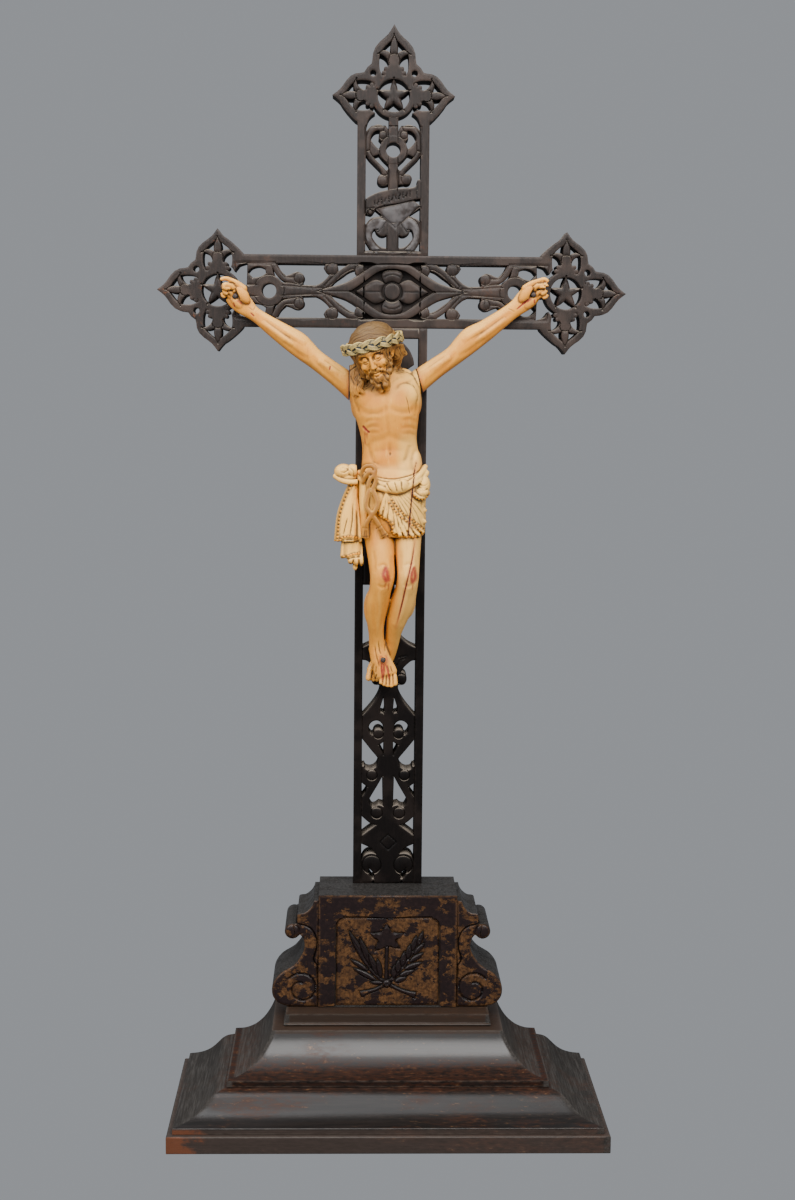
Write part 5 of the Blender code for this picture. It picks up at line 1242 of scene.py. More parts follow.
def make_bracket(side, name, node):
    def placed(outline):
        return on_side(side, outline)

    low = FOOT_BOARD_TOP + GAP
    inner = DIE_HALF_WIDTH + GAP
    waist = [(x, max(z, low)) for x, z in curve_through(BRACKET_WAIST)]
    outline = [(inner, low), (inner, BRACKET_TOP)] + curve_through(BRACKET_EDGE) + waist
    spiral = []
    for k in range(SPIRAL_POINTS):
        turn = k / (SPIRAL_POINTS - 1.0)
        angle = math.radians(SPIRAL_START + SPIRAL_SWEEP * turn)
        radius = SPIRAL_RADIUS - SPIRAL_CLOSING * turn ** 1.6
        spiral.append((LOWER_VOLUTE[0] + radius * math.cos(angle),
                       LOWER_VOLUTE[1] + radius * math.sin(angle)))
    scroll_face = [(58.9, low)] + curve_through(SCROLL_BACK)
    scroll_face += arc(UPPER_VOLUTE, UPPER_VOLUTE_RADIUS + 0.4, 110.0, -100.0, 14) + waist
    strokes = [Stroke(placed(outline), sunk=0.2),
               Stroke(placed(disc(UPPER_VOLUTE, UPPER_VOLUTE_RADIUS)), sunk=0.2),
               Stroke(placed(VOLUTE_NECK), sunk=0.2),
               Stroke(placed(scroll_face), sunk=1.4, rise=1.5, width=3.6, paint=-0.01),
               Stroke(placed(disc(UPPER_VOLUTE, UPPER_VOLUTE_RADIUS - 0.1)), sunk=1.2, rise=1.9, width=5.4)]
    grooves = [(placed(spiral), 1.25, 1.7), (placed(curve_through(SCROLL_BACK)), 0.9, 1.0)]
    die_board(name, node, BRACKET_FRONT, strokes, grooves)


# Soft forms: lumps are fused, then worked over with strokes like those of a carver's tools

FACING = Vector((0.0, -1.0, 0.0))
LIMB_SIDES = 28
CORD_SIDES = 14
CORD_STEP = 1.5
# How a carver's stroke fades where the surface turns away from the viewer
FADES_OUT = 0.05
FULL_FACING = 0.35
# Marks of hollows, as (name, how many rounds of smoothing they are measured against, full depth)
HOLLOWS = (("hollow", 5, 0.10), ("basin", 40, 0.45))


def tube(stations, sides):
    """A closed tube through (x, y, z, half across, half deep) stations."""
    bm = bmesh.new()
    last = len(stations) - 1
    previous = None
    for k, (x, y, z, across, deep) in enumerate(stations):
        ahead, behind = stations[min(k + 1, last)][:3], stations[max(k - 1, 0)][:3]
        direction = (Vector(ahead) - Vector(behind)).normalized()
        side = direction.cross(FACING).normalized()
        front = side.cross(direction)
        matrix = Matrix((side * across, front * deep, direction)).transposed().to_4x4()
        matrix.translation = (x, y, z)
        made = bmesh.ops.create_circle(bm, segments=sides, radius=1.0, matrix=matrix, cap_ends=k in (0, last))
        ring = list({edge for vert in made["verts"] for edge in vert.link_edges})
        if previous:
            bmesh.ops.bridge_loops(bm, edges=previous + ring)
        previous = ring
    return bm


def limb(stations, step=3.0, sides=LIMB_SIDES):
    """A tube whose stations are joined by curves."""
    return tube(curve_through([(*place, across, deep) for place, across, deep in stations], False, step),
                sides)


def lump(place, radii, lean=0.0, axes=None, sides=24):
    """An ellipsoid; it leans by degrees about Y, or axes gives its frame."""
    bm = bmesh.new()
    bmesh.ops.create_uvsphere(bm, u_segments=sides, v_segments=sides // 2 + 1, radius=1.0)
    turn = axes or Matrix.Rotation(math.radians(lean), 4, "Y")
    matrix = Matrix.Translation(Vector(place)) @ turn @ Matrix.Diagonal((*radii, 1.0))
    bmesh.ops.transform(bm, matrix=matrix, verts=bm.verts)
    return bm


def cord(points, radii, flat=1.0):
    """A rounded cord along a curve; radii is one size or one for each point."""
    radii = [radii] * len(points) if isinstance(radii, (int, float)) else radii
    run = curve_through([(*p, r, r * flat) for p, r in zip(points, radii)], False, CORD_STEP)
    ends = [lump(end[:3], (end[3], end[4], end[3]), sides=12) for end in (run[0], run[-1])]
    return [tube(run, CORD_SIDES)] + ends


def flattened(bm, point, normal):
    """Press what lies beyond a plane back onto it."""
    point, normal = Vector(point), Vector(normal).normalized()
    for vert in bm.verts:
        beyond = (vert.co - point).dot(normal)
        if beyond > 0.0:
            vert.co -= normal * beyond
    return bm


def joined(parts):
    whole_mesh = bmesh.new()
    for part in parts:
        temporary = bpy.data.meshes.new("part")
        part.to_mesh(temporary)
        part.free()
        whole_mesh.from_mesh(temporary)
        bpy.data.meshes.remove(temporary)
    return whole_mesh


def kept_modified(made):
    """The mesh that an object's modifiers make of it, in the object's place."""
    bpy.context.view_layer.update()
    graph = bpy.context.evaluated_depsgraph_get()
    mesh = bpy.data.meshes.new_from_object(made.evaluated_get(graph))
    made.modifiers.clear()
    made.data = mesh


def ramp(values, low, high):
    """0 at low, 1 at high, with a soft step between."""
    t = np.clip((values - low) / (high - low), 0.0, 1.0)
    return t * t * (3.0 - 2.0 * t)


class Clay:
    """A fused form, in millimetres, whose surface is pushed along its normals and painted."""

    def __init__(self, lumps, name, grid, smoothing=3):
        self.piece = piece_from(joined(lumps), name)
        fuse = self.piece.modifiers.new("fuse", "REMESH")
        fuse.mode = "VOXEL"
        fuse.voxel_size = grid
        soften = self.piece.modifiers.new("soften", "SMOOTH")
        soften.factor = 0.5
        soften.iterations = smoothing
        kept_modified(self.piece)
        self.read()

    def read(self):
        mesh = self.piece.data
        count = len(mesh.vertices)
        flat = np.empty(count * 3, np.float32)
        mesh.vertices.foreach_get("co", flat)
        self.points = flat.reshape(-1, 3).astype(float) / MM
        pairs = np.empty(len(mesh.edges) * 2, np.int32)
        mesh.edges.foreach_get("vertices", pairs)
        self.pairs = pairs.reshape(-1, 2)
        self.valence = np.bincount(pairs, minlength=count)
        self.marks = {}
        self.refresh()

    def refresh(self):
        mesh = self.piece.data
        mesh.vertices.foreach_set("co", (self.points * MM).astype(np.float32).ravel())
        mesh.update()
        flat = np.empty(len(self.points) * 3, np.float32)
        mesh.vertices.foreach_get("normal", flat)
        self.normals = flat.reshape(-1, 3).astype(float)

    def refine(self, wanted):
        """Split the faces in wanted places into four."""
        bm = bmesh.new()
        bm.from_mesh(self.piece.data)
        wanted = wanted.tolist()
        edges = [e for e in bm.edges if wanted[e.verts[0].index] and wanted[e.verts[1].index]]
        bmesh.ops.subdivide_edges(bm, edges=edges, cuts=1, use_grid_fill=True)
        bm.to_mesh(self.piece.data)
        bm.free()
        self.read()

    def push(self, amount):
        self.points += self.normals * amount[:, None]
        self.refresh()

    def averaged(self, values, rounds):
        """Each point's value mixed with its neighbours'."""
        if values.ndim > 1:
            return np.stack([self.averaged(column, rounds) for column in values.T], 1)
        a, b = self.pairs.T
        valence = np.maximum(self.valence, 1)
        for _ in range(rounds):
            total = np.bincount(a, values[b], len(values)) + np.bincount(b, values[a], len(values))
            values = 0.5 * values + 0.5 * total / valence
        return values

    def soften(self, weight, rounds=4):
        self.points += (self.averaged(self.points, rounds) - self.points) * weight[:, None]
        self.refresh()

    def paint(self, name, weight):
        self.marks[name] = np.maximum(self.marks.get(name, np.zeros(len(self.points))), weight)

    def front(self):
        """The surface as seen from the front: places (x, z) and how far each faces the viewer."""
        return self.points[:, [0, 2]], -self.normals[:, 1]

    def covered(self, view, runs, half_width, taper=False):
        """How far the strokes of a round tool reach each point, from 0 to 1."""
        places, facing = view
        weight = np.zeros(len(places))
        for run in runs:
            run = np.array(curve_through(run, False, 0.8))
            low, high = run.min(0) - half_width, run.max(0) + half_width
            near = np.flatnonzero(((places > low) & (places < high)).all(1) & (facing > FADES_OUT))
            if not len(near):
                continue
            a, step = run[:-1], run[1:] - run[:-1]
            gap = places[near][:, None, :] - a
            t = np.clip((gap * step).sum(2) / np.maximum((step * step).sum(1), 1e-9), 0.0, 1.0)
            away = np.hypot(*(gap - t[..., None] * step).transpose(2, 0, 1))
            nearest = away.argmin(1)
            reach = (1.0 - np.clip(away.min(1) / half_width, 0.0, 1.0) ** 2) ** 2
            if taper:
                share = (nearest + t[np.arange(len(near)), nearest]) / len(step)
                reach *= np.clip(np.minimum(share, 1.0 - share) * 4.0, 0.0, 1.0) ** 0.5
            weight[near] = np.maximum(weight[near], reach * ramp(facing[near], FADES_OUT, FULL_FACING))
        return weight

    def stroke(self, view, runs, half_width, amount, mark=None, taper=False):
        """Raise or sink the surface under strokes, and paint a mark there."""
        weight = self.covered(view, runs, half_width, taper)
        self.push(weight * amount)
        if mark:
            self.paint(mark, weight)

    def cavities(self):
        """Mark hollows and ridges, fine and broad, from how far the surface lies below its surroundings."""
        for name, rounds, scale in HOLLOWS:
            depth = ((self.averaged(self.points, rounds) - self.points) * self.normals).sum(1)
            depth = self.averaged(depth, 1)
            self.paint(name, np.clip(depth / scale, 0.0, 1.0))
            if name == "hollow":
                self.paint("ridge", np.clip(-depth / (scale * 1.5), 0.0, 1.0))

    def done(self, limit):
        """Write the marks and thin the mesh to fewer triangles than the limit."""
        mesh = self.piece.data
        for name, values in self.marks.items():
            set_mark(mesh, name, values)
        triangles = sum(len(p.vertices) - 2 for p in mesh.polygons)
        if triangles > limit:
            thin = self.piece.modifiers.new("thin", "DECIMATE")
            thin.ratio = limit / triangles
            kept_modified(self.piece)
        self.piece.data.shade_smooth()
        return self.piece


# The figure's finish

def figure_finish():
    """Aged cream paint, browner in the hollows from patina and painted shade, with painted hair, gilt hems
    and red wounds.
    """
    look = Finish("painted_figure", specular=0.28)
    broad = look.noise(24.0, 3.0)
    cloudy = look.noise(7.0, 4.0, 0.6)
    fine = look.noise(1.5, 4.0, 0.65)
    drawn = look.noise(3.4, 5.0, 0.65, (1.0, 1.0, 0.22))
    hollow, basin, ridge = look.mark("hollow"), look.mark("basin"), look.mark("ridge")
    hair, cloth, gold = look.mark("hair"), look.mark("cloth"), look.mark("gold")
    blood, crack, warm = look.mark("blood"), look.mark("crack"), look.mark("warm")
    base = look.mix(broad.above(0.38, 0.66), colours().skin, (0.665, 0.238, 0.018))
    base = look.mix((warm * 0.8 + cloudy.above(0.50, 0.72) * 0.35).clamped(), base, (0.600, 0.185, 0.016))
    base = look.mix(cloth * 0.85, base, (0.960, 0.520, 0.100))
    # Painted light on the viewer's right side of the figure
    base = look.mix((look.mark("painted_light_side") * (0.35 + 0.9 * drawn)).clamped(), base, (0.900, 0.540, 0.130))
    base = look.mix(ridge * 0.4, base, (0.900, 0.520, 0.130))
    base = look.mix(drawn.above(0.50, 0.72) * 0.32, base, (0.420, 0.145, 0.022))
    base = look.mix((1.0 - drawn).above(0.56, 0.74) * 0.30, base, (0.900, 0.500, 0.110))
    # Up-facing surfaces are painted cream: painted light from above
    base = look.mix(look.facing("Z").above(0.10, 0.75) * 0.35, base, (0.920, 0.600, 0.180))
    # Down-facing surfaces are painted brown: painted shade underneath
    under = (look.facing("Z") * -1.0).above(0.20, 0.85)
    base = look.mix(under * 0.38, base, (0.380, 0.130, 0.025))
    # Surfaces turning away from the front are painted brown: painted shade at the forms' edges
    away = 1.0 - look.towards_viewer(0.10, 0.60)
    base = look.mix(away * 0.38, base, (0.400, 0.145, 0.028))
    base = look.mix(look.mark("tan") * 0.95, base, (0.270, 0.098, 0.010))
    base = look.mix(hair * 0.92, base, (0.070, 0.041, 0.016))
    base = look.mix(hair * ridge * 0.5, base, (0.210, 0.115, 0.038))
    # Patina in the fine hollows, and painted shade in the broad hollows
    patina_and_shade = (hollow * 1.25 + basin * (0.60 - 0.10 * cloth)) * (0.55 + 0.6 * cloudy)
    base = look.mix(patina_and_shade.clamped() * 0.85, base, colours().shade)
    base = look.mix((hair * hollow * 1.1).clamped() * 0.85, base, (0.026, 0.015, 0.008))
    base = look.mix(look.mark("rim"), base, (0.070, 0.027, 0.008))
    leaf = (gold.above(0.12, 0.42) * fine.above(0.26, 0.42)).clamped()
    base = look.mix(leaf * 0.9, base, colours().gilding)
    stain = (blood * (0.75 + 0.8 * fine)).clamped()
    base = look.mix(stain * 0.92, base, colours().wound)
    base = look.mix(crack.above(0.25, 0.7) * 0.9, base, (0.030, 0.008, 0.006))
    rough = 0.47 + 0.16 * fine + 0.14 * patina_and_shade.clamped() - 0.14 * leaf
    return look.finish(base, rough, fine * 0.6 + drawn * 0.4, 0.10, metallic=leaf * 0.25)


# The head's own frame: X to the viewer's right, -Y the way the face looks, Z to the crown

HEAD_CENTRE = Vector((-13.4, 25.0, 634.0))
HEAD_BOW = 20.0
HEAD_LEAN = 17.0
HEAD_TURN = 17.0
CROWN_CENTRE = Vector((-16.7, 25.0, 641.9))
CROWN_RADIUS = 24.0
CROWN_LEAN = 14.5
CROWN_BOW = 4.0


def in_frame(clay, centre, axes):
    """The clay's points in a frame, and the frame's axes as columns."""
    columns = np.array(axes.to_3x3())
    return (clay.points - np.array(centre)) @ columns, columns


def head_axes():
    bow = Matrix.Rotation(math.radians(HEAD_BOW), 4, "X")
    lean = Matrix.Rotation(math.radians(-HEAD_LEAN), 4, "Y")
    turn = Matrix.Rotation(math.radians(-HEAD_TURN), 4, "Z")
    return lean @ turn @ bow


def in_head(place):
    return HEAD_CENTRE + head_axes() @ Vector(place)


def crown_axes():
    lean = Matrix.Rotation(math.radians(-CROWN_LEAN), 4, "Y")
    return lean @ Matrix.Rotation(math.radians(CROWN_BOW), 4, "X")


# Trunk, neck and legs, as (place, half across, half deep)
TRUNK = [((0.0, 38.0, 492.0), 24.0, 17.0), ((0.5, 38.5, 505.0), 27.0, 19.0),
         ((0.5, 39.0, 520.0), 27.0, 19.5), ((0.0, 41.0, 536.0), 25.0, 17.5),
         ((-0.7, 42.0, 550.0), 23.6, 15.5), ((-1.9, 41.5, 563.0), 22.8, 16.5),
         ((-3.0, 40.0, 578.0), 25.2, 18.6), ((-4.2, 39.5, 590.0), 27.8, 19.8),
         ((-5.2, 41.5, 601.0), 28.8, 18.6), ((-5.8, 44.0, 611.0), 26.0, 15.6),
         ((-6.5, 46.0, 619.0), 16.0, 11.0), ((-8.0, 42.0, 627.0), 9.5, 9.0),
         ((-10.5, 34.0, 634.0), 9.0, 9.0)]
FRONT_LEG = [((-12.5, 37.0, 512.0), 13.2, 16.0), ((-11.0, 33.0, 495.0), 13.2, 15.0),
             ((-9.2, 28.0, 480.0), 12.2, 13.5), ((-8.0, 22.5, 465.0), 10.8, 12.0),
             ((-7.0, 19.5, 452.0), 10.2, 11.0), ((-8.6, 23.0, 441.0), 9.2, 10.5),
             ((-11.0, 29.0, 428.0), 9.5, 10.4), ((-12.0, 34.5, 414.0), 7.7, 9.0),
             ((-11.5, 39.0, 402.0), 6.4, 7.4), ((-10.6, 42.5, 392.0), 6.8, 7.4),
             ((-9.0, 42.5, 384.0), 7.8, 7.6), ((-6.2, 40.5, 376.0), 8.8, 6.2),
             ((-2.6, 39.0, 367.5), 9.4, 4.6), ((-1.8, 38.8, 364.8), 7.8, 2.9)]
BACK_LEG = [((13.0, 37.5, 512.0), 13.4, 16.0), ((13.2, 34.0, 495.0), 12.8, 15.0),
            ((13.8, 29.0, 480.0), 11.2, 13.2), ((14.1, 24.0, 465.0), 9.8, 11.8),
            ((14.1, 20.5, 452.0), 9.0, 10.8), ((12.8, 25.0, 441.0), 9.2, 10.2),
            ((9.7, 31.0, 428.0), 10.2, 10.4), ((5.6, 37.0, 414.0), 8.6, 9.2),
            ((3.2, 43.0, 402.0), 6.6, 7.4), ((1.8, 48.5, 392.0), 6.0, 6.8),
            ((-2.0, 52.0, 383.0), 7.4, 6.0), ((-8.0, 53.0, 372.5), 8.6, 4.8),
            ((-11.5, 53.0, 366.0), 8.2, 3.6), ((-12.2, 52.6, 363.4), 6.6, 2.8)]
LOINCLOTH = [((0.5, 37.5, 487.0), 26.9, 20.0), ((1.0, 36.5, 496.0), 28.0, 21.2),
             ((0.5, 36.5, 510.0), 28.2, 22.2), ((0.5, 38.0, 522.0), 29.0, 21.8),
             ((1.0, 40.0, 531.0), 28.8, 19.8), ((1.5, 42.0, 538.0), 26.4, 16.0)]
# Chest, flanks, belly, seat, knees, ankles, calves and hip
MUSCLES = [((-16.5, 30.4, 597.6), (14.5, 7.2, 11.0)), ((7.0, 30.4, 599.6), (14.5, 7.2, 11.0)),
           ((-27.0, 45.0, 592.0), (7.0, 10.0, 13.0)), ((18.5, 45.0, 594.0), (6.5, 10.0, 13.0)),
           ((-1.5, 34.6, 549.0), (17.0, 9.6, 15.0)), ((-2.0, 52.5, 532.0), (20.0, 6.5, 13.0)),
           ((-6.5, 13.9, 453.0), (6.0, 6.2, 7.6)), ((14.0, 14.9, 453.0), (5.6, 6.0, 7.6)),
           ((-12.0, 50.0, 387.0), (5.6, 7.0, 6.6)), ((0.5, 53.6, 389.0), (5.4, 5.2, 6.4)),
           ((-8.6, 31.0, 474.0), (11.0, 12.0, 20.0)), ((14.0, 32.0, 474.0), (10.4, 12.0, 20.0)),
           ((-13.6, 35.0, 424.0), (8.6, 9.4, 17.0)), ((12.0, 36.0, 430.0), (9.4, 9.4, 16.0)),
           ((19.6, 41.0, 543.0), (6.0, 12.0, 13.0)), ((-13.6, 44.0, 616.5), (9.0, 6.0, 6.0)),
           ((7.0, 45.0, 617.0), (10.0, 6.0, 5.4))]
TOES = [((-6.3, 37.6, 366.8), (-7.2, 37.0, 360.6), 1.75), ((-4.0, 37.2, 365.8), (-4.6, 36.6, 359.2), 1.8),
        ((-1.3, 37.0, 365.0), (-1.6, 36.4, 358.4), 1.85), ((1.4, 37.2, 365.0), (1.5, 36.6, 358.2), 2.0),
        ((4.1, 38.2, 366.0), (4.5, 37.4, 359.9), 2.5), ((-16.0, 50.8, 369.4), (-17.4, 49.2, 362.2), 2.7),
        ((-12.6, 51.6, 367.0), (-13.6, 50.4, 360.8), 2.0), ((-9.5, 52.2, 365.9), (-10.2, 51.2, 360.4), 1.9)]

# Cords of the neck
NECK = [[(2.0, 37.0, 624.0), (0.6, 33.4, 615.0), (-3.6, 29.6, 607.4)],
        [(-22.0, 36.0, 620.0), (-17.0, 31.4, 612.0), (-9.0, 28.8, 606.6)],
        [(4.0, 42.0, 624.0), (7.0, 43.0, 618.0), (14.0, 45.0, 614.6)]]

# The head's forms in its own frame: skull, face, brow, lids, nose, cheeks, lips, chin, beard, hair and ear
HEAD_LUMPS = [((-0.4, 1.5, 7.5), (20.5, 22.2, 17.8)), ((4.5, 2.4, 10.5), (14.0, 17.0, 13.6)),
              ((0.0, -7.6, -1.6), (13.2, 13.4, 17.0)),
              ((0.0, -17.4, 7.8), (10.4, 3.4, 2.6)),
              ((-5.5, -16.9, 3.4), (3.1, 2.8, 2.3)), ((5.5, -16.9, 3.4), (3.1, 2.8, 2.3)),
              ((0.0, -22.6, -3.2), (1.8, 2.2, 1.7)), ((-2.0, -21.0, -3.7), (1.3, 1.7, 1.3)),
              ((2.0, -21.0, -3.7), (1.3, 1.7, 1.3)), ((-6.9, -16.2, -3.2), (4.4, 4.2, 4.2)),
              ((6.9, -16.2, -3.2), (4.4, 4.2, 4.2)), ((0.0, -19.6, -7.9), (3.6, 2.2, 1.5)),
              ((0.0, -19.6, -10.0), (3.0, 2.1, 1.2)), ((0.0, -18.0, -14.0), (4.6, 4.4, 4.2)),
              ((-3.0, -16.0, -19.6), (3.8, 5.0, 8.2)), ((3.0, -16.0, -19.6), (3.8, 5.0, 8.2)),
              ((0.0, -10.0, -13.0), (11.0, 9.0, 7.0)), ((-15.0, 0.6, -5.0), (5.0, 8.8, 13.0)),
              ((14.6, 5.6, -3.0), (5.6, 8.6, 11.4)), ((0.0, 13.0, -9.0), (16.0, 9.0, 17.0)),
              ((13.9, -6.6, -0.6), (1.9, 2.6, 4.0)), ((13.6, -6.8, 2.0), (1.6, 2.4, 1.6))]
NOSE = [((0.0, -18.6, 6.8), 1.5, 1.6), ((0.0, -20.2, 3.4), 1.45, 1.7), ((0.0, -21.8, -0.4), 1.6, 1.9),
        ((0.0, -22.7, -3.0), 1.9, 1.9)]
# Locks of hair and beard in the head's frame, as runs and radii
LOCKS = [([(-8.6, -16.0, 9.0), (-13.6, -11.0, 5.6), (-15.8, -7.0, -0.6), (-15.0, -7.6, -6.8),
           (-16.8, -5.0, -13.0)],
          [2.0, 2.3, 2.4, 2.3, 2.0]),
         ([(-13.0, -12.0, 2.0), (-14.2, -10.6, -4.0), (-13.4, -10.6, -10.6), (-15.4, -8.0, -17.0)],
          [1.8, 2.2, 2.2, 1.8]),
         ([(1.0, -19.6, 11.0), (6.6, -17.2, 8.8), (12.6, -11.6, 7.0), (17.0, -4.0, 5.0), (19.4, 3.4, 0.6),
           (19.0, 7.4, -6.0), (20.4, 8.4, -10.6)], [1.6, 2.4, 3.0, 3.2, 3.0, 2.6, 1.6]),
         ([(16.6, 2.0, 1.0), (18.6, 5.0, -5.0), (16.6, 8.0, -11.0)], [2.2, 2.8, 2.2]),
         ([(0.6, -20.8, -6.3), (3.6, -20.0, -6.9), (6.4, -17.8, -9.4), (7.6, -15.6, -13.0)],
          [0.9, 1.3, 1.2, 0.9]),
         ([(-0.6, -20.8, -6.3), (-3.6, -20.0, -6.9), (-6.4, -17.8, -9.4), (-7.6, -15.6, -13.0)],
          [0.9, 1.3, 1.2, 0.9])]
# Curls along the jaw and at the two points of the beard: (place, radius)
CURLS = [((-11.6, -10.6, -3.6), 2.4), ((-11.0, -12.0, -8.2), 2.5), ((-9.0, -14.2, -12.6), 2.5),
         ((-6.4, -16.8, -16.4), 2.4), ((11.6, -10.6, -3.6), 2.4), ((11.0, -12.0, -8.2), 2.5),
         ((9.0, -14.2, -12.6), 2.5), ((6.4, -16.8, -16.4), 2.4), ((-3.0, -19.8, -20.4), 2.4),
         ((3.2, -19.8, -20.8), 2.4), ((-2.6, -17.8, -26.2), 2.2), ((2.8, -17.8, -26.4), 2.2),
         ((0.2, -20.6, -15.6), 2.0)]
SHOULDER_LOCK = [[(-33.6, 27.4, 622.0), (-34.6, 26.0, 614.4), (-32.2, 25.0, 608.8), (-33.2, 25.0, 603.6),
                  (-31.4, 25.4, 598.6)],
                 [(-31.0, 26.0, 623.0), (-31.4, 24.8, 616.0), (-29.0, 24.0, 610.4), (-30.2, 23.8, 605.0),
                  (-28.2, 24.2, 600.0)],
                 [(-28.0, 25.6, 620.0), (-27.8, 24.4, 613.6), (-25.4, 23.6, 609.2), (-26.6, 23.4, 605.4),
                  (-23.8, 24.0, 601.8)]]

BELT = [(-26.6, 31.0, 532.6), (-20.0, 21.6, 528.6), (-11.0, 16.6, 525.8), (-2.0, 15.4, 523.4),
        (7.0, 15.6, 523.2), (13.4, 17.0, 526.2), (21.4, 22.0, 530.6), (28.6, 31.0, 536.6)]
BELT_UPPER = [(-26.4, 32.0, 536.8), (-17.0, 20.4, 531.8), (-9.3, 16.8, 528.6), (-2.0, 15.8, 527.6),
              (12.6, 17.2, 528.2), (21.0, 22.4, 533.8), (26.0, 30.0, 538.8), (28.0, 36.0, 541.6)]
ROPE_LOOPS = [[(-23.0, 20.4, 531.0), (-24.4, 19.0, 537.0), (-22.0, 17.4, 542.0), (-17.0, 16.2, 543.0),
               (-13.6, 15.6, 540.0), (-14.6, 14.8, 535.4), (-18.0, 14.6, 532.0), (-19.4, 14.2, 526.0)],
              [(-23.6, 19.0, 529.6), (-20.6, 16.6, 535.4), (-17.4, 15.4, 538.0), (-15.0, 15.0, 536.6),
               (-13.0, 14.8, 531.6), (-15.2, 14.2, 525.0)]]
CORD_ENDS = [[(-18.6, 14.6, 523.0), (-20.9, 13.4, 511.0), (-18.0, 12.8, 505.6), (-13.6, 12.4, 500.0),
              (-9.2, 12.4, 493.0), (-6.4, 12.8, 487.6)],
             [(-15.2, 14.4, 523.0), (-11.6, 12.8, 513.4), (-13.2, 12.2, 507.0), (-17.2, 12.4, 501.6),
              (-20.8, 13.0, 495.0), (-21.0, 14.2, 486.0)]]
TASSELS = [[((-10.4, 12.6, 494.6), 2.0, 1.7), ((-7.4, 12.8, 489.4), 2.7, 1.8),
            ((-5.4, 13.2, 485.6), 3.4, 2.0)],
           [((-20.6, 13.2, 494.0), 2.0, 1.7), ((-21.2, 13.8, 488.6), 2.7, 1.8),
            ((-21.4, 14.4, 484.0), 3.2, 2.0)]]
# The strip of cloth beside the hip's seam
STRIP = [((-21.6, 28.0, 530.0), 5.0, 9.0), ((-22.0, 27.0, 512.0), 4.8, 9.4), ((-21.4, 26.4, 496.0), 4.6, 9.0),
         ((-20.8, 26.0, 485.0), 4.4, 8.4)]
# The tucked end of the cloth at the belt, the swell at the hip and the roll under it
TUCKED = [((3.2, 14.8, 526.0), (8.4, 4.8, 6.0)), ((9.4, 15.8, 527.4), (4.4, 4.2, 5.2)),
          ((26.4, 28.0, 527.0), (5.6, 8.0, 8.4)), ((25.0, 25.0, 521.4), (6.0, 6.6, 4.6))]
HIP_ROLL = [(18.6, 18.6, 520.0), (22.4, 19.4, 517.0), (27.2, 22.6, 517.2), (30.4, 28.0, 520.6)]
PLEAT_ROOT = (-4.6, 15.4, 521.0)
PLEAT_ENDS = [(-9.6, 15.4, 504.4), (-5.4, 14.8, 500.8), (-0.6, 14.2, 497.0), (2.4, 13.7, 488.8),
              (7.2, 13.8, 486.4), (12.4, 14.4, 485.8), (17.6, 16.0, 485.8), (22.6, 19.2, 486.4),
              (26.6, 24.0, 488.4), (28.0, 29.0, 496.6), (28.2, 30.4, 506.0)]
SKIRT_HEM = [(-10.6, 506.4), (-9.9, 502.8), (-6.2, 500.6), (-2.5, 498.4), (1.0, 496.4), (1.0, 492.9),
             (0.6, 489.6), (4.1, 486.6), (8.5, 485.4), (12.9, 485.2), (20.2, 485.4), (26.0, 486.2),
             (28.6, 489.4)]
DOTTED = [[(-0.4, 516.0), (5.0, 509.0), (10.6, 503.4), (16.6, 499.4), (22.6, 494.0), (28.0, 489.8)],
          [(-2.4, 513.6), (3.0, 506.4), (8.8, 500.6), (14.8, 496.6), (20.8, 491.4), (25.6, 487.6)]]
SMALL_FALL_HEM = [(18.8, 518.8), (22.6, 515.9), (27.4, 516.1), (30.8, 519.6)]
OPEN_CRACK = [[(20.5, 545.3), (18.4, 535.1), (16.9, 520.0), (15.7, 505.9), (14.6, 495.0), (13.7, 486.8)],
              [(19.6, 482.5), (18.4, 474.0), (16.9, 464.8), (13.3, 450.0), (9.8, 432.2), (4.9, 408.4)]]
FOOT_TRICKLES = [[(-6.6, 378.6), (-7.0, 373.0), (-6.2, 366.4), (-6.4, 362.0)],
                 [(-5.4, 378.6), (-5.2, 372.0), (-4.6, 366.0)],
                 [(-4.2, 379.0), (-2.4, 373.4), (-1.0, 368.0), (-0.6, 363.0)]]
KNEE_WOUNDS = [[(-4.4, 459.8), (-6.2, 454.6), (-4.0, 449.8)], [(-3.6, 457.6), (-2.8, 454.0), (-2.4, 450.4)],
               [(18.8, 459.6), (16.8, 453.8), (17.6, 448.4)], [(19.6, 457.4), (20.2, 453.0), (19.0, 450.0)]]


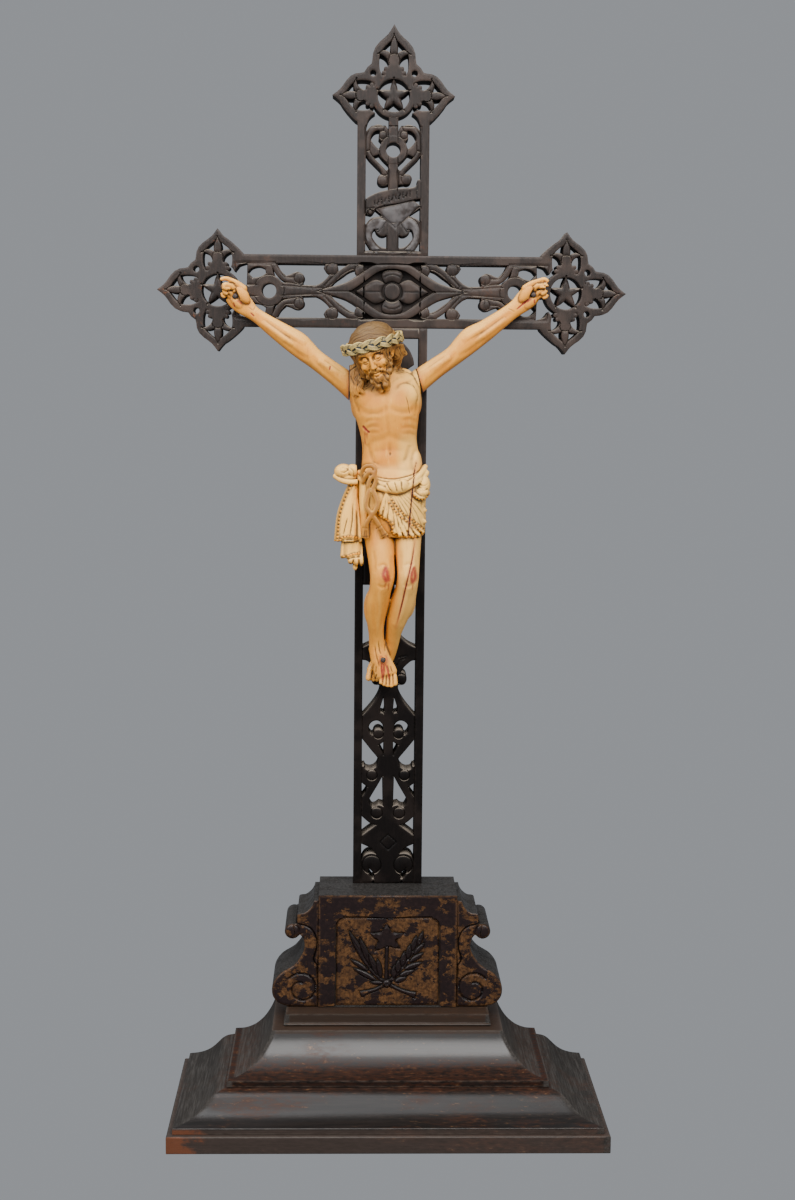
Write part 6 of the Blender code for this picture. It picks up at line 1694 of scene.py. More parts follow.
def corpus_lumps():
    lumps = [limb(TRUNK, sides=40), limb(FRONT_LEG), limb(BACK_LEG), limb(LOINCLOTH, sides=40)]
    for run in SHOULDER_LOCK:
        lumps += cord(run, [2.4, 2.5, 2.4, 2.1, 1.5])
    for run in NECK:
        lumps += cord(run, [2.4, 3.0, 2.0])
    for line, arm, seam in ((LEFT_LINE, LEFT_ARM, LEFT_SEAM), (RIGHT_LINE, RIGHT_ARM, RIGHT_SEAM)):
        root = [(line.at(s, n, y), across, deep) for s, n, y, across, deep in SHOULDER + arm[:3]]
        lumps.append(flattened(limb(root), *seam_side(seam, -SEAM / 2)))
    lumps += [lump(place, radii) for place, radii in MUSCLES]
    axes = head_axes()
    lumps += [lump(in_head(place), radii, axes=axes) for place, radii in HEAD_LUMPS]
    lumps.append(limb([(in_head(place), across, deep) for place, across, deep in NOSE], 0.8, 16))
    for run, radii in LOCKS:
        lumps += cord([tuple(in_head(place)) for place in run], radii)
    for place, radius in CURLS:
        lumps.append(lump(in_head(place), (radius, radius, radius), sides=14))
    for root, tip, radius in TOES:
        lumps += cord([root, tip], [radius * 0.9, radius])
    lumps += cord(BELT, 2.7) + cord(BELT_UPPER, 2.2) + cord(HIP_ROLL, 1.7)
    for run in ROPE_LOOPS:
        lumps += cord(run, 1.7)
    for run in CORD_ENDS:
        lumps += cord(run, 2.0)
    lumps += [limb(run, 1.5, 16) for run in TASSELS + [STRIP]]
    lumps += [lump(place, radii) for place, radii in TUCKED]
    for end in PLEAT_ENDS:
        middle = tuple(0.5 * (a + b) for a, b in zip(PLEAT_ROOT, end))
        lumps += cord([PLEAT_ROOT, middle, end], [0.7, 1.2, 1.7], 1.2)
    return lumps


def seam_side(seam, beyond):
    """A point and the outward normal of a slanted seam, moved outwards by a distance."""
    (x, y, z), lean, outward = seam
    normal = Matrix.Rotation(math.radians(-lean), 3, "Y") @ Vector((outward, 0.0, 0.0))
    return Vector((x, y, z)) + normal * beyond, normal


class ArmLine:
    """Places along an arm: a distance out along its line and one above it."""

    def __init__(self, seam, wrist):
        self.start = Vector(seam)
        self.out = (Vector(wrist) - self.start).normalized()
        self.up = Vector((-self.out.z, 0.0, self.out.x))
        if self.up.z < 0:
            self.up.negate()

    def at(self, distance, above, depth):
        point = self.start + self.out * distance + self.up * above
        return Vector((point.x, depth, point.z))


LEFT_LINE = ArmLine((-33.8, 0.0, 607.4), (-117.0, 0.0, 668.0))
RIGHT_LINE = ArmLine((21.0, 0.0, 611.0), (106.0, 0.0, 674.2))
# The width of a glued seam, and (place, lean in degrees, side) of each
SEAM = 0.1
LEFT_SEAM = ((-35.3, 57.0, 608.5), 0.0, -1)
RIGHT_SEAM = ((22.4, 57.0, 613.0), 15.4, 1)
FALL_SEAM = ((-26.6, 40.0, 515.0), 4.4, -1)
# (distance, above, depth, half across, half deep)
SHOULDER = [(-26.0, -7.0, 46.0, 9.0, 9.0), (-16.0, -2.6, 46.8, 11.2, 11.2)]
LEFT_ARM = [(-6.0, -0.4, 47.5, 10.4, 10.6), (6.0, 0.0, 48.0, 9.4, 9.8), (20.0, 0.0, 48.5, 8.4, 8.8),
            (36.0, 0.0, 49.0, 8.0, 8.0), (46.0, 0.6, 49.0, 9.0, 8.0), (56.0, 1.4, 49.5, 9.8, 8.4),
            (68.0, 0.8, 50.5, 8.8, 7.8), (82.0, 0.2, 52.5, 7.2, 6.2), (94.0, 0.0, 54.2, 5.9, 5.0),
            (101.0, -0.2, 55.0, 6.0, 4.6), (109.0, 0.4, 55.5, 8.0, 4.2), (117.0, 1.4, 55.4, 8.8, 4.2),
            (123.0, 2.6, 55.4, 7.8, 4.0)]
RIGHT_ARM = [(-6.0, -0.4, 47.5, 10.0, 10.6), (6.0, 0.0, 48.0, 9.2, 9.8), (20.0, 0.0, 48.5, 8.4, 8.8),
             (36.0, -0.4, 49.0, 8.1, 8.0), (46.0, 0.6, 49.0, 9.2, 8.0), (57.0, 1.8, 49.5, 10.2, 8.4),
             (70.0, 0.8, 50.5, 8.8, 7.8), (84.0, 0.6, 52.5, 7.6, 6.4), (95.0, 0.6, 54.0, 6.8, 5.2),
             (103.0, 0.6, 55.0, 7.0, 4.8), (111.0, 1.2, 55.5, 8.4, 4.2), (118.0, 2.4, 55.4, 8.6, 4.2),
             (123.0, 3.4, 55.4, 7.2, 4.0)]
# Fingers as runs of (x, y, z), from the thumb down, with the radius of each
LEFT_FINGERS = [([(-123.0, 51.6, 685.6), (-127.4, 50.8, 689.6), (-132.4, 50.0, 692.4), (-137.0, 49.0, 693.9),
                  (-140.2, 48.6, 693.2)], [3.6, 2.7, 2.0, 1.8, 1.5]),
                ([(-129.0, 51.0, 684.4), (-133.6, 48.2, 688.2), (-138.0, 47.0, 688.4), (-138.2, 46.8, 686.2),
                  (-134.6, 47.0, 685.6)], [2.6, 2.3, 2.2, 2.1, 1.8]),
                ([(-131.0, 52.6, 681.0), (-135.4, 50.0, 684.4), (-138.4, 49.0, 683.6), (-136.6, 49.0, 681.8)],
                 [2.4, 2.0, 1.9, 1.7]),
                ([(-131.6, 54.0, 678.0), (-136.6, 52.0, 681.2), (-140.2, 51.0, 681.0), (-138.6, 50.8, 679.4)],
                 [2.2, 1.8, 1.7, 1.6])]
RIGHT_FINGERS = [([(110.0, 51.6, 688.0), (114.2, 50.8, 691.6), (119.8, 50.0, 694.2), (125.0, 49.0, 695.8),
                   (127.4, 48.6, 694.6)], [3.6, 2.7, 2.0, 1.8, 1.5]),
                 ([(116.0, 51.0, 687.6), (120.4, 48.4, 690.6), (125.6, 47.2, 691.0), (127.0, 46.8, 689.4),
                   (122.6, 47.0, 689.4)], [2.5, 2.2, 2.1, 2.1, 1.9]),
                 ([(118.0, 52.6, 683.4), (122.4, 50.4, 686.2), (126.2, 49.0, 685.9), (124.0, 49.0, 684.2)],
                  [2.3, 2.0, 1.9, 1.8]),
                 ([(118.6, 54.0, 680.2), (123.4, 52.2, 683.0), (127.6, 51.0, 682.4), (125.4, 50.8, 681.0)],
                  [2.2, 1.8, 1.7, 1.6])]
# Ball and heel of each hand: (place, radii, lean)
LEFT_PALM = [((-123.4, 51.0, 681.4), (9.0, 4.2, 4.6), 56.0), ((-128.4, 54.0, 675.6), (8.0, 4.2, 4.4), 52.0),
             ((-131.4, 54.6, 681.0), (4.6, 4.0, 5.4), 30.0)]
RIGHT_PALM = [((110.6, 51.0, 684.6), (9.0, 4.2, 4.6), -56.0), ((114.2, 54.0, 677.6), (8.0, 4.2, 4.4), -48.0),
              ((117.6, 54.6, 683.6), (4.6, 4.0, 5.4), -30.0)]
LEFT_NAIL = (-129.4, 679.6)
RIGHT_NAIL = (116.4, 683.2)
FOOT_NAIL = (-5.6, 380.5)
HAND_NAIL_FRONT = 48.6
FOOT_NAIL_FRONT = 30.4
# (distance, above) runs along the arms: hollows, swellings
ARM_HOLLOWS = [[(4.0, -4.6), (16.0, -3.6), (30.0, -2.6), (40.0, 1.0)],
               [(40.0, -3.0), (52.0, -4.6), (66.0, -3.6)],
               [(56.0, 1.6), (70.0, 1.6), (84.0, 0.8), (98.0, 0.2)], [(10.0, 4.6), (20.0, 5.0), (30.0, 3.4)]]
ARM_SWELLINGS = [[(14.0, 1.4), (24.0, 1.6), (34.0, 0.8)], [(50.0, 5.4), (60.0, 5.0), (72.0, 3.6)],
                 [(58.0, -2.0), (74.0, -1.8), (90.0, -1.4)]]
# The loose bunch of cloth at the hip, its folds as (x, z) runs with (depth, radius), and its ruffles
FALL = [((-31.4, 33.0, 530.0), 5.0, 6.4), ((-31.4, 33.0, 526.0), 4.6, 6.2), ((-33.6, 33.0, 515.0), 7.0, 8.0),
        ((-35.2, 32.6, 502.0), 9.6, 9.4), ((-35.6, 32.4, 490.0), 10.8, 10.0),
        ((-35.4, 32.4, 480.4), 11.6, 10.4)]
FALL_TIER = [((-34.0, 32.6, 490.0), 8.0, 7.0), ((-31.8, 32.8, 478.0), 9.2, 7.8),
             ((-31.4, 33.0, 466.4), 10.2, 8.8)]
FALL_PUFF = [((-39.4, 31.0, 537.4), (7.8, 8.4, 6.4)), ((-32.0, 28.6, 538.4), (5.4, 5.8, 5.4)),
             ((-36.4, 30.4, 533.4), (8.0, 6.4, 4.6))]
FALL_ROLL = [(-46.0, 29.0, 533.6), (-40.6, 26.0, 530.4), (-34.0, 25.0, 529.0), (-27.6, 25.6, 529.4)]
FALL_FOLDS = [[(-32.2, 28.2, 528.0, 1.4), (-36.8, 26.8, 514.0, 1.5), (-41.0, 26.2, 500.0, 1.6),
               (-43.8, 26.4, 481.6, 1.9)],
              [(-30.8, 27.6, 526.0, 1.2), (-33.4, 25.8, 508.0, 1.5), (-36.4, 24.4, 492.0, 1.7),
               (-37.6, 23.6, 481.8, 2.0)],
              [(-29.2, 28.0, 522.0, 1.1), (-29.8, 26.2, 506.0, 1.4), (-30.8, 25.0, 494.0, 1.6),
               (-31.4, 23.8, 482.0, 2.0)],
              [(-27.8, 29.0, 514.0, 1.1), (-26.6, 27.4, 500.0, 1.3), (-25.6, 25.8, 490.0, 1.5),
               (-25.4, 25.0, 481.4, 1.8)]]
FALL_LOWER = [[(-39.4, 29.4, 480.0, 1.6), (-40.2, 28.6, 467.2, 1.8)],
              [(-33.6, 27.6, 480.0, 1.5), (-35.4, 26.6, 467.4, 2.0)],
              [(-27.0, 27.8, 480.0, 1.5), (-29.4, 26.6, 467.6, 2.1)],
              [(-22.0, 29.6, 480.0, 1.4), (-24.6, 28.2, 468.2, 1.9)]]
FALL_RUFFLE = [((-33.2, 28.0, 465.4), (2.6, 4.6, 4.4)), ((-28.8, 27.0, 464.8), (2.8, 4.8, 5.0)),
               ((-24.0, 28.0, 465.0), (2.9, 4.6, 5.2)), ((-29.4, 29.4, 459.6), (2.1, 2.8, 3.9))]
FALL_HEMS = [[(-46.6, 480.4), (-42.6, 479.4), (-40.4, 483.4), (-35.3, 484.6), (-30.9, 484.2), (-26.2, 483.0)],
             [(-42.0, 466.2), (-38.9, 467.6), (-35.2, 468.2), (-30.8, 469.8), (-26.4, 470.4)]]
FALL_EDGE = [(-33.0, 526.8), (-38.4, 515.0), (-42.4, 501.8), (-43.6, 489.9), (-44.4, 481.0)]


def as_seen(runs):
    """Runs of (x, y, z) as the viewer sees them."""
    return [[(place[0], place[2]) for place in run] for run in runs]


def moved(runs, across, up=0.0):
    return [[(x + across, z + up) for x, z in run] for run in runs]


def on_line(line, runs):
    """Runs of (distance, above) along an arm as seen from the front."""
    return [[tuple(line.at(s, n, 0.0).xz) for s, n in run] for run in runs]


def beyond_plane(clay, point, normal, low, high):
    """Press points that have gone past a plane back onto it, between two heights."""
    past = (clay.points - np.array(point)) @ np.array(normal)
    wanted = (past > 0.0) & (clay.points[:, 2] > low) & (clay.points[:, 2] < high)
    clay.points -= np.where(wanted, past, 0.0)[:, None] * np.array(normal)


def held_back(clay):
    """Keep the figure off the cross behind it."""
    clay.points[:, 1] = np.minimum(clay.points[:, 1], CROSS_FRONT - GAP)


def near_plane(clay, point, normal, width):
    """1 where the surface meets a plane, 0 at a width from it."""
    past = np.abs((clay.points - np.array(point)) @ np.array(normal))
    return 1.0 - ramp(past, 0.25 * width, width)


def carve_trunk(clay):
    height = clay.points[:, 2]
    clay.soften(ramp(height, 544.0, 549.0) * (1.0 - ramp(height, 604.0, 609.0)), 26)
    clay.soften(ramp(-height, -483.0, -479.0) * (1.0 - ramp(-height, -392.0, -386.0)), 12)
    view = clay.front()
    cut = clay.stroke
    # The arch under the ribs
    cut(view, [[(-20.5, 557.5), (-14.2, 562.8), (-7.7, 565.0), (-3.0, 567.0), (2.0, 566.4), (7.0, 564.4),
                (12.5, 562.6), (17.5, 557.6)]], 4.4, -0.45, taper=True)
    # Lower edges of the chest muscles
    cut(view, [[(-28.0, 590.0), (-22.0, 586.6), (-14.0, 585.6), (-7.0, 588.4), (-4.0, 592.0)],
               [(22.0, 592.4), (16.0, 588.4), (8.0, 587.2), (1.0, 589.4), (-2.0, 592.0)]], 4.2, -0.6,
               taper=True)
    # The middle line
    cut(view, [[(-5.0, 606.0), (-4.6, 596.0), (-4.2, 586.0), (-3.4, 576.0), (-2.4, 568.0)],
               [(-2.0, 563.0), (-1.6, 557.0), (-1.2, 546.0)]], 3.0, -0.2, taper=True)
    # Between the ribs, and then the ribs
    cut(view, [[(-23.0, z - 2.5), (-17.0, z + 0.6), (-10.0, z + 0.4)] for z in (580.0, 574.4, 569.0)]
        + [[(21.0, z - 1.6), (15.0, z + 0.8), (7.0, z)] for z in (580.4, 574.0, 568.4)], 2.2, -0.15,
        taper=True)
    cut(view, [[(-23.0, z - 2.5), (-17.0, z + 0.6), (-10.0, z + 0.4)] for z in (582.8, 577.2, 571.8)]
        + [[(21.0, z - 1.6), (15.0, z + 0.8), (7.0, z)] for z in (583.2, 577.0, 571.4)], 2.0, 0.12,
        taper=True)
    # The navel and the folds of the belly
    cut(view, [[(-1.3, 552.8), (-1.3, 552.0)]], 1.2, -0.5)
    cut(view, [[(-13.0, 544.6), (-5.3, 542.4), (2.9, 542.5), (11.1, 544.7)]], 2.0, -0.15, taper=True)
    cut(view, [[(-20.4, 560.5), (-16.8, 551.4), (-13.5, 544.4)],
               [(14.6, 560.0), (12.6, 551.7), (10.1, 544.5)]],
        3.2, -0.45, taper=True)
    # Flanks
    cut(view, [[(-24.0, 562.0), (-24.4, 550.8)], [(20.6, 600.2), (20.4, 589.6), (18.5, 582.2)],
               [(-30.4, 600.0), (-28.8, 591.0), (-26.6, 583.0)]], 2.2, -0.5, taper=True)
    # Collarbones and the hollows beside them
    cut(view, [[(-30.0, 612.2), (-22.0, 611.0), (-13.5, 609.8), (-8.4, 606.6)],
               [(19.4, 616.0), (12.0, 613.4), (4.0, 610.6), (-1.4, 606.8)]], 2.4, 0.3, taper=True)
    cut(view, [[(-24.0, 607.4), (-15.0, 606.0), (-9.6, 603.2)], [(17.0, 611.6), (8.0, 608.2), (1.0, 604.4)],
               [(14.0, 618.4), (6.0, 615.4), (0.0, 612.6)]], 2.6, -0.25, taper=True)
    # The wound in the side
    cut(view, [[(-23.4, 574.2), (-21.6, 572.0), (-19.2, 570.0)]], 1.4, -0.7, "blood")
    clay.paint("blood", clay.covered(view, [[(-21.8, 571.6), (-22.2, 566.0), (-21.8, 560.0)],
                                            [(-20.2, 570.4), (-20.6, 566.0)]], 0.9) * 0.7)
    # Drying cracks
    checks = [[(10.9, 600.2), (13.1, 592.6), (15.1, 583.4)], [(16.2, 610.4), (19.4, 604.0), (21.8, 599.1)]]
    cut(view, checks, 0.6, -0.25, taper=True)
    clay.paint("crack", clay.covered(view, checks, 0.6, True) * 0.5)


def carve_legs(clay):
    view = clay.front()
    cut = clay.stroke
    # Thighs
    cut(view, [[(-14.4, 474.0), (-13.4, 464.0), (-13.6, 456.0)], [(8.0, 474.0), (7.6, 464.0), (7.8, 456.0)],
               [(0.4, 470.0), (0.8, 460.0), (0.6, 452.0)], [(21.0, 470.0), (21.4, 460.0), (21.0, 452.0)]],
        2.6, -0.5, taper=True)
    # Kneecaps
    cut(view, [[(-11.4, 460.6), (-7.0, 463.0), (-2.0, 461.2)], [(9.4, 461.4), (14.0, 463.6), (18.6, 461.8)],
               [(-11.2, 446.8), (-7.0, 444.2), (-2.4, 446.4)], [(9.6, 447.0), (14.0, 444.8), (18.4, 447.0)]],
        2.4, -0.45, taper=True)
    # Shins, and the calves beside them
    cut(view, [[(-8.6, 443.0), (-9.6, 436.0), (-9.0, 426.0), (-10.0, 412.0), (-10.6, 400.0)],
               [(13.4, 443.0), (12.0, 432.0), (8.4, 418.0), (5.0, 406.0)]], 2.4, 0.4, taper=True)
    cut(view, [[(-13.6, 438.0), (-14.4, 424.0), (-13.6, 408.0)],
               [(-4.6, 438.0), (-5.0, 424.0), (-7.4, 408.0)],
               [(16.4, 438.0), (14.4, 424.0), (9.0, 410.0)], [(7.6, 438.0), (5.6, 426.0), (2.4, 412.0)]],
        2.8, -0.35, taper=True)
    # Ankles and the tendons of the feet
    cut(view, [[(-9.6, 396.5), (-8.6, 388.0), (-7.2, 384.4)], [(-4.0, 393.0), (-3.6, 386.4)],
               [(-12.6, 392.0), (-11.4, 384.0), (-8.4, 374.0)], [(-7.2, 376.0), (-6.4, 368.0)],
               [(-4.4, 376.4), (-4.0, 369.0)], [(-1.8, 376.0), (-0.4, 369.0)], [(0.6, 375.0), (2.4, 369.0)]],
        1.0, -0.45, taper=True)
    cut(view, [[(-13.2, 377.0), (-14.6, 369.6)], [(-11.4, 375.0), (-11.9, 368.6)]], 1.0, -0.5, taper=True)
    # Between the toes
    cut(view, [[(-5.1, 368.6), (-5.9, 358.6)], [(-2.5, 368.0), (-3.1, 358.0)], [(0.1, 368.0), (-0.1, 358.0)],
               [(2.7, 368.6), (3.1, 359.0)], [(-14.2, 369.0), (-15.3, 361.4)],
               [(-11.0, 368.0), (-11.9, 361.0)]],
        0.8, -0.7, taper=True)
    # Wounds
    cut(view, KNEE_WOUNDS, 1.7, -0.25)
    clay.paint("blood", clay.covered(view, KNEE_WOUNDS, 2.5) ** 0.4 * 0.85)
    clay.paint("blood", clay.covered(view, KNEE_WOUNDS, 0.8))
    clay.paint("blood", clay.covered(view, [[(x, z - 5.0), (x - 0.5, z - 12.0)] for x, z in
                                            ((-4.4, 454.0), (18.0, 453.0), (-1.8, 453.0))], 0.9, True) * 0.7)
    clay.paint("blood", clay.covered(view, FOOT_TRICKLES, 1.0, True) ** 0.6)
    clay.paint("blood", clay.covered(view, [[(-7.0, 383.0), (-8.6, 379.0), (-7.0, 376.6)],
                                            [(-3.4, 383.0), (-2.2, 379.0), (-4.0, 376.6)]], 1.5) * 0.6)
    # The open crack
    clay.paint("blood", clay.covered(view, OPEN_CRACK, 2.6) * 0.35)
    cut(view, OPEN_CRACK[:1], 1.0, -0.5, "crack")
    cut(view, OPEN_CRACK[1:], 1.2, -0.5, "blood", taper=True)
    clay.paint("crack", clay.covered(view, OPEN_CRACK[1:], 0.8, True) * 0.75)


def carve_cloth(clay):
    view = clay.front()
    cut = clay.stroke
    x, z = view[0].T
    waist = 532.6 + 0.010 * x * x
    hem = np.interp(x, [p[0] for p in SKIRT_HEM], [p[1] for p in SKIRT_HEM])
    clay.soften(ramp(z, 486.0, 490.0) * (1.0 - ramp(z, 514.0, 519.0)) * ramp(x, -9.0, -5.0), 6)
    belly = ramp(z, waist + 0.5, waist + 3.0) * (1.0 - ramp(z, 546.0, 549.0))
    clay.soften(belly * ramp(x, -12.0, -9.0) * (1.0 - ramp(x, 20.0, 24.0)), 30)
    view = clay.front()
    inside = ramp(z, hem - 1.2, hem) * (1.0 - ramp(z, waist - 1.0, waist + 1.0))
    clay.paint("cloth", inside)
    # The upper edge
    cut(view, [[(-13.0, 534.0), (-6.0, 532.8), (1.0, 532.4), (8.0, 533.4), (16.0, 535.4), (24.0, 538.6)]],
        0.9, -0.7, taper=True)
    # Pleats
    cut(view, [[(-5.0, 517.6), (-5.4, 510.0), (-7.4, 503.6)], [(-3.4, 518.0), (-2.4, 508.0), (-3.4, 500.6)],
               [(-2.0, 517.0), (1.6, 504.0), (2.6, 491.6)], [(-0.8, 517.0), (4.4, 502.0), (6.6, 488.0)],
               [(1.0, 517.4), (7.4, 501.0), (10.4, 487.0)], [(2.4, 518.0), (10.0, 503.0), (14.4, 487.0)],
               [(4.4, 518.4), (13.0, 504.0), (18.4, 487.4)], [(6.4, 519.0), (16.4, 505.0), (22.4, 488.0)],
               [(8.4, 519.4), (19.0, 507.0), (26.4, 491.0)], [(11.0, 519.4), (20.0, 511.0), (27.4, 501.0)]],
        1.0, -0.3, taper=True)
    # Tucks
    cut(view, [[(-4.4, 530.0), (-2.6, 525.4), (0.4, 521.6)], [(2.0, 531.0), (3.4, 526.0), (4.4, 521.8)],
               [(7.6, 531.2), (8.2, 526.0), (9.0, 522.4)]], 1.1, -0.7, taper=True)
    cut(view, [[(21.0, 524.4), (25.6, 522.6), (30.0, 524.6)], [(21.6, 529.0), (26.0, 526.8), (30.0, 528.4)]],
        1.1, -0.4, taper=True)
    # Gilt hems
    beaded(clay, view, [SKIRT_HEM], 1.15, 2.8)
    beaded(clay, view, [SMALL_FALL_HEM], 1.0, 2.6)
    beaded(clay, view, DOTTED, 0.95, 2.9)
    # The cord and its tassels
    cords = as_seen(CORD_ENDS + ROPE_LOOPS)
    cut(view, moved(cords, 0.0, 0.5), 0.5, -0.2)
    clay.paint("tan", clay.covered(view, cords, 2.6) ** 0.5)
    clay.paint("tan", clay.covered(view, [[(-21.0, 492.0), (-21.4, 485.0)], [(-9.0, 492.0), (-6.0, 487.0)]],
                                   3.4) ** 0.5)
    cut(view, [[(-9.8, 490.4), (-7.4, 485.0)], [(-7.8, 491.4), (-4.8, 486.4)],
               [(-21.9, 490.0), (-22.4, 484.2)],
               [(-20.3, 490.0), (-20.3, 484.2)]], 0.6, -0.4)
    cut(view, [[(-12.4, 491.8), (-8.4, 494.4)], [(-23.4, 492.4), (-18.4, 492.4)]], 0.8, -0.4)
    clay.paint("rim", clay.covered(view, [[(-23.8, 485.6), (-18.2, 485.6)], [(-8.4, 485.8), (-3.6, 488.4)]],
                                   1.0) * 0.8)


def beaded(clay, view, runs, radius, pitch):
    """A hem of small gilt scallops with dark dots between them."""
    knobs, gaps = [], []
    for run in runs:
        places = curve_through(run, False, pitch)
        knobs += [[(px - 0.2, pz), (px + 0.2, pz)] for px, pz in places]
        middles = [(0.5 * (a[0] + b[0]), 0.5 * (a[1] + b[1])) for a, b in zip(places, places[1:])]
        gaps += [[(px - 0.1, pz), (px + 0.1, pz)] for px, pz in middles]
    clay.paint("rim", clay.covered(view, runs, radius * 1.6) ** 0.5 * 0.85)
    clay.stroke(view, knobs, radius, 0.5, "gold")
    clay.stroke(view, gaps, radius * 0.6, -0.3)


def carve_head(clay):
    local, axes = in_frame(clay, HEAD_CENTRE, head_axes())
    towards = clay.normals @ axes
    x, y, z = local.T
    around = np.hypot(x, y)
    reach = (1.0 - ramp(np.sqrt(x * x + y * y + z * z), 30.0, 33.0)) * (1.0 - ramp(-z, 24.0, 28.0))
    view = local[:, [0, 2]], -towards[:, 1] * (reach > 0.5)
    cut = clay.stroke

    def both(runs):
        return runs + [on_side(-1, run) for run in runs]

    # Eyes and brows
    cut(view, both([[(2.8, 4.4), (4.8, 5.8), (7.4, 5.6), (9.2, 3.8)]]), 2.0, -1.3)
    cut(view, both([[(2.4, 3.4), (2.5, 2.4)]]), 1.4, -0.9)
    cut(view, both([[(3.0, 1.3), (5.4, 0.2), (8.0, 1.2)]]), 1.1, -0.45, taper=True)
    cut(view, both([[(2.9, 2.7), (4.4, 1.9), (6.2, 1.8), (8.0, 2.7)]]), 0.6, -0.5, "lid")
    cut(view, both([[(3.2, 5.0), (5.4, 5.9), (8.0, 5.0)]]), 0.55, -0.25, "lid", taper=True)
    cut(view, both([[(1.6, 8.2), (4.6, 9.0), (8.0, 8.2), (9.8, 6.6)]]), 0.9, 0.15, "brow", taper=True)
    # Nose, mouth and cheeks
    cut(view, both([[(2.9, -1.6), (3.3, -3.6), (2.6, -5.0)]]), 0.8, -0.5, taper=True)
    cut(view, both([[(1.0, -5.3), (1.7, -5.2)]]), 0.55, -0.5)
    cut(view, both([[(3.9, -4.2), (5.2, -6.6)]]), 1.0, -0.4, taper=True)
    cut(view, [[(-3.5, -9.3), (-1.6, -8.8), (0.0, -9.1), (1.6, -8.8), (3.5, -9.3)]], 0.65, -0.6, "lid")
    cut(view, [[(-2.0, -11.6), (2.0, -11.6)]], 1.1, -0.5, taper=True)
    cut(view, both([[(8.8, -3.4), (8.0, -7.4)]]), 2.0, -0.6, taper=True)
    # Hair and beard
    towards_face = np.clip(-y / np.maximum(around, 1e-6), -1.0, 1.0)
    face = ((x + 1.2) / 11.6) ** 2 + ((z + 1.6) / 12.2) ** 2
    in_face = (1.0 - ramp(face, 0.82, 1.12)) * ramp(towards_face, 0.1, 0.35)
    moustache = clay.covered(view, both([[(0.6, -6.5), (3.6, -7.0), (6.2, -9.4), (7.2, -13.0)]]), 1.7)
    bare_lip = clay.covered(view, [[(-2.4, -11.0), (2.4, -11.0)]], 1.6)
    beard = ramp(-z, 11.4, 12.8) * ramp(-y, 4.0, 8.0) * (1.0 - bare_lip)
    from_ear = np.sqrt(((x - 14.2) / 3.0) ** 2 + ((y + 6.6) / 3.6) ** 2 + ((z + 0.6) / 5.0) ** 2)
    ear = 1.0 - ramp(from_ear, 0.8, 1.05)
    hair = np.clip(np.maximum.reduce([1.0 - in_face, moustache, beard]) - ear, 0.0, 1.0) * reach
    throat = ramp(-z, 13.0, 16.0) * (1.0 - ramp(-y, 2.0, 8.0)) * ramp(-y, -6.0, 0.0)
    throat *= 1.0 - ramp(np.abs(x), 8.0, 11.0)
    hair *= 1.0 - throat
    bare_neck = ramp(clay.points[:, 0], -14.0, -8.0) * (1.0 - ramp(clay.points[:, 2], 616.0, 619.0))
    hair *= 1.0 - bare_neck * ramp(y, -12.0, -9.0)
    angle = np.arctan2(x - 0.5, -y)
    wave = 0.9 * np.sin(0.42 * z + 1.5 * angle) + 0.35 * np.sin(1.1 * z + 5.0 * angle)
    dome = ramp(z, 11.0, 13.0)
    combed = np.hypot(x * 0.9, z - 2.0) + 0.10 * y + 0.35 * np.sin(0.5 * x + 0.3 * y)
    lying = np.sin(3.7 * combed) * 0.5 + np.sin(6.1 * combed + 0.6 * np.sin(0.4 * x)) * 0.3
    hanging = np.sin(40.0 * angle + 2.4 * wave) * 0.6 + np.sin(67.0 * angle + 3.4 * wave) * 0.35
    strands = lying * dome + hanging * (1.0 - dome)
    clay.push((0.36 - 0.11 * beard) * strands * hair * ramp(around, 1.0, 4.0))
    clay.paint("hair", hair * (0.70 + 0.30 * dome))
    clay.paint("hair", clay.covered(view, both([[(1.8, 8.2), (4.6, 9.0), (8.0, 8.2), (9.6, 6.8)]]), 0.8,
                                    True) * 0.75)
    # The ear
    cut(view, [[(14.4, 1.6), (13.6, -0.6), (14.2, -2.8)]], 0.8, -0.5)


def groove_for_crown(clay):
    """Press the hair in under the crown."""
    local, axes = in_frame(clay, CROWN_CENTRE, crown_axes())
    around = np.hypot(local[:, 0], local[:, 1])
    limit = CROWN_RADIUS - 3.0 + 9.0 * ramp(np.abs(local[:, 2]), 4.6, 9.0)
    wanted = (np.abs(local[:, 2]) < 9.0) & (around > limit) & (around < 34.0)
    share = np.where(wanted, limit / np.maximum(around, 1e-6), 1.0)
    local[:, :2] *= share[:, None]
    clay.points = np.array(CROWN_CENTRE) + local @ axes.T
    clay.refresh()


def carve_lock(clay):
    view = clay.front()
    runs = as_seen(SHOULDER_LOCK)
    level = (clay.points[:, 1] < 33.0) & (clay.points[:, 2] < 626.0)
    clay.paint("hair", clay.covered(view, runs, 3.4) ** 0.5 * level * 0.35)
    for across in (0.9, -0.7):
        clay.stroke(view, moved(runs, across), 0.55, -0.3, taper=True)


# The most triangles that each figure piece keeps
CORPUS_TRIANGLES = 185000
ARM_TRIANGLES = 80000
FALL_TRIANGLES = 90000
CROWN_TRIANGLES = 60000


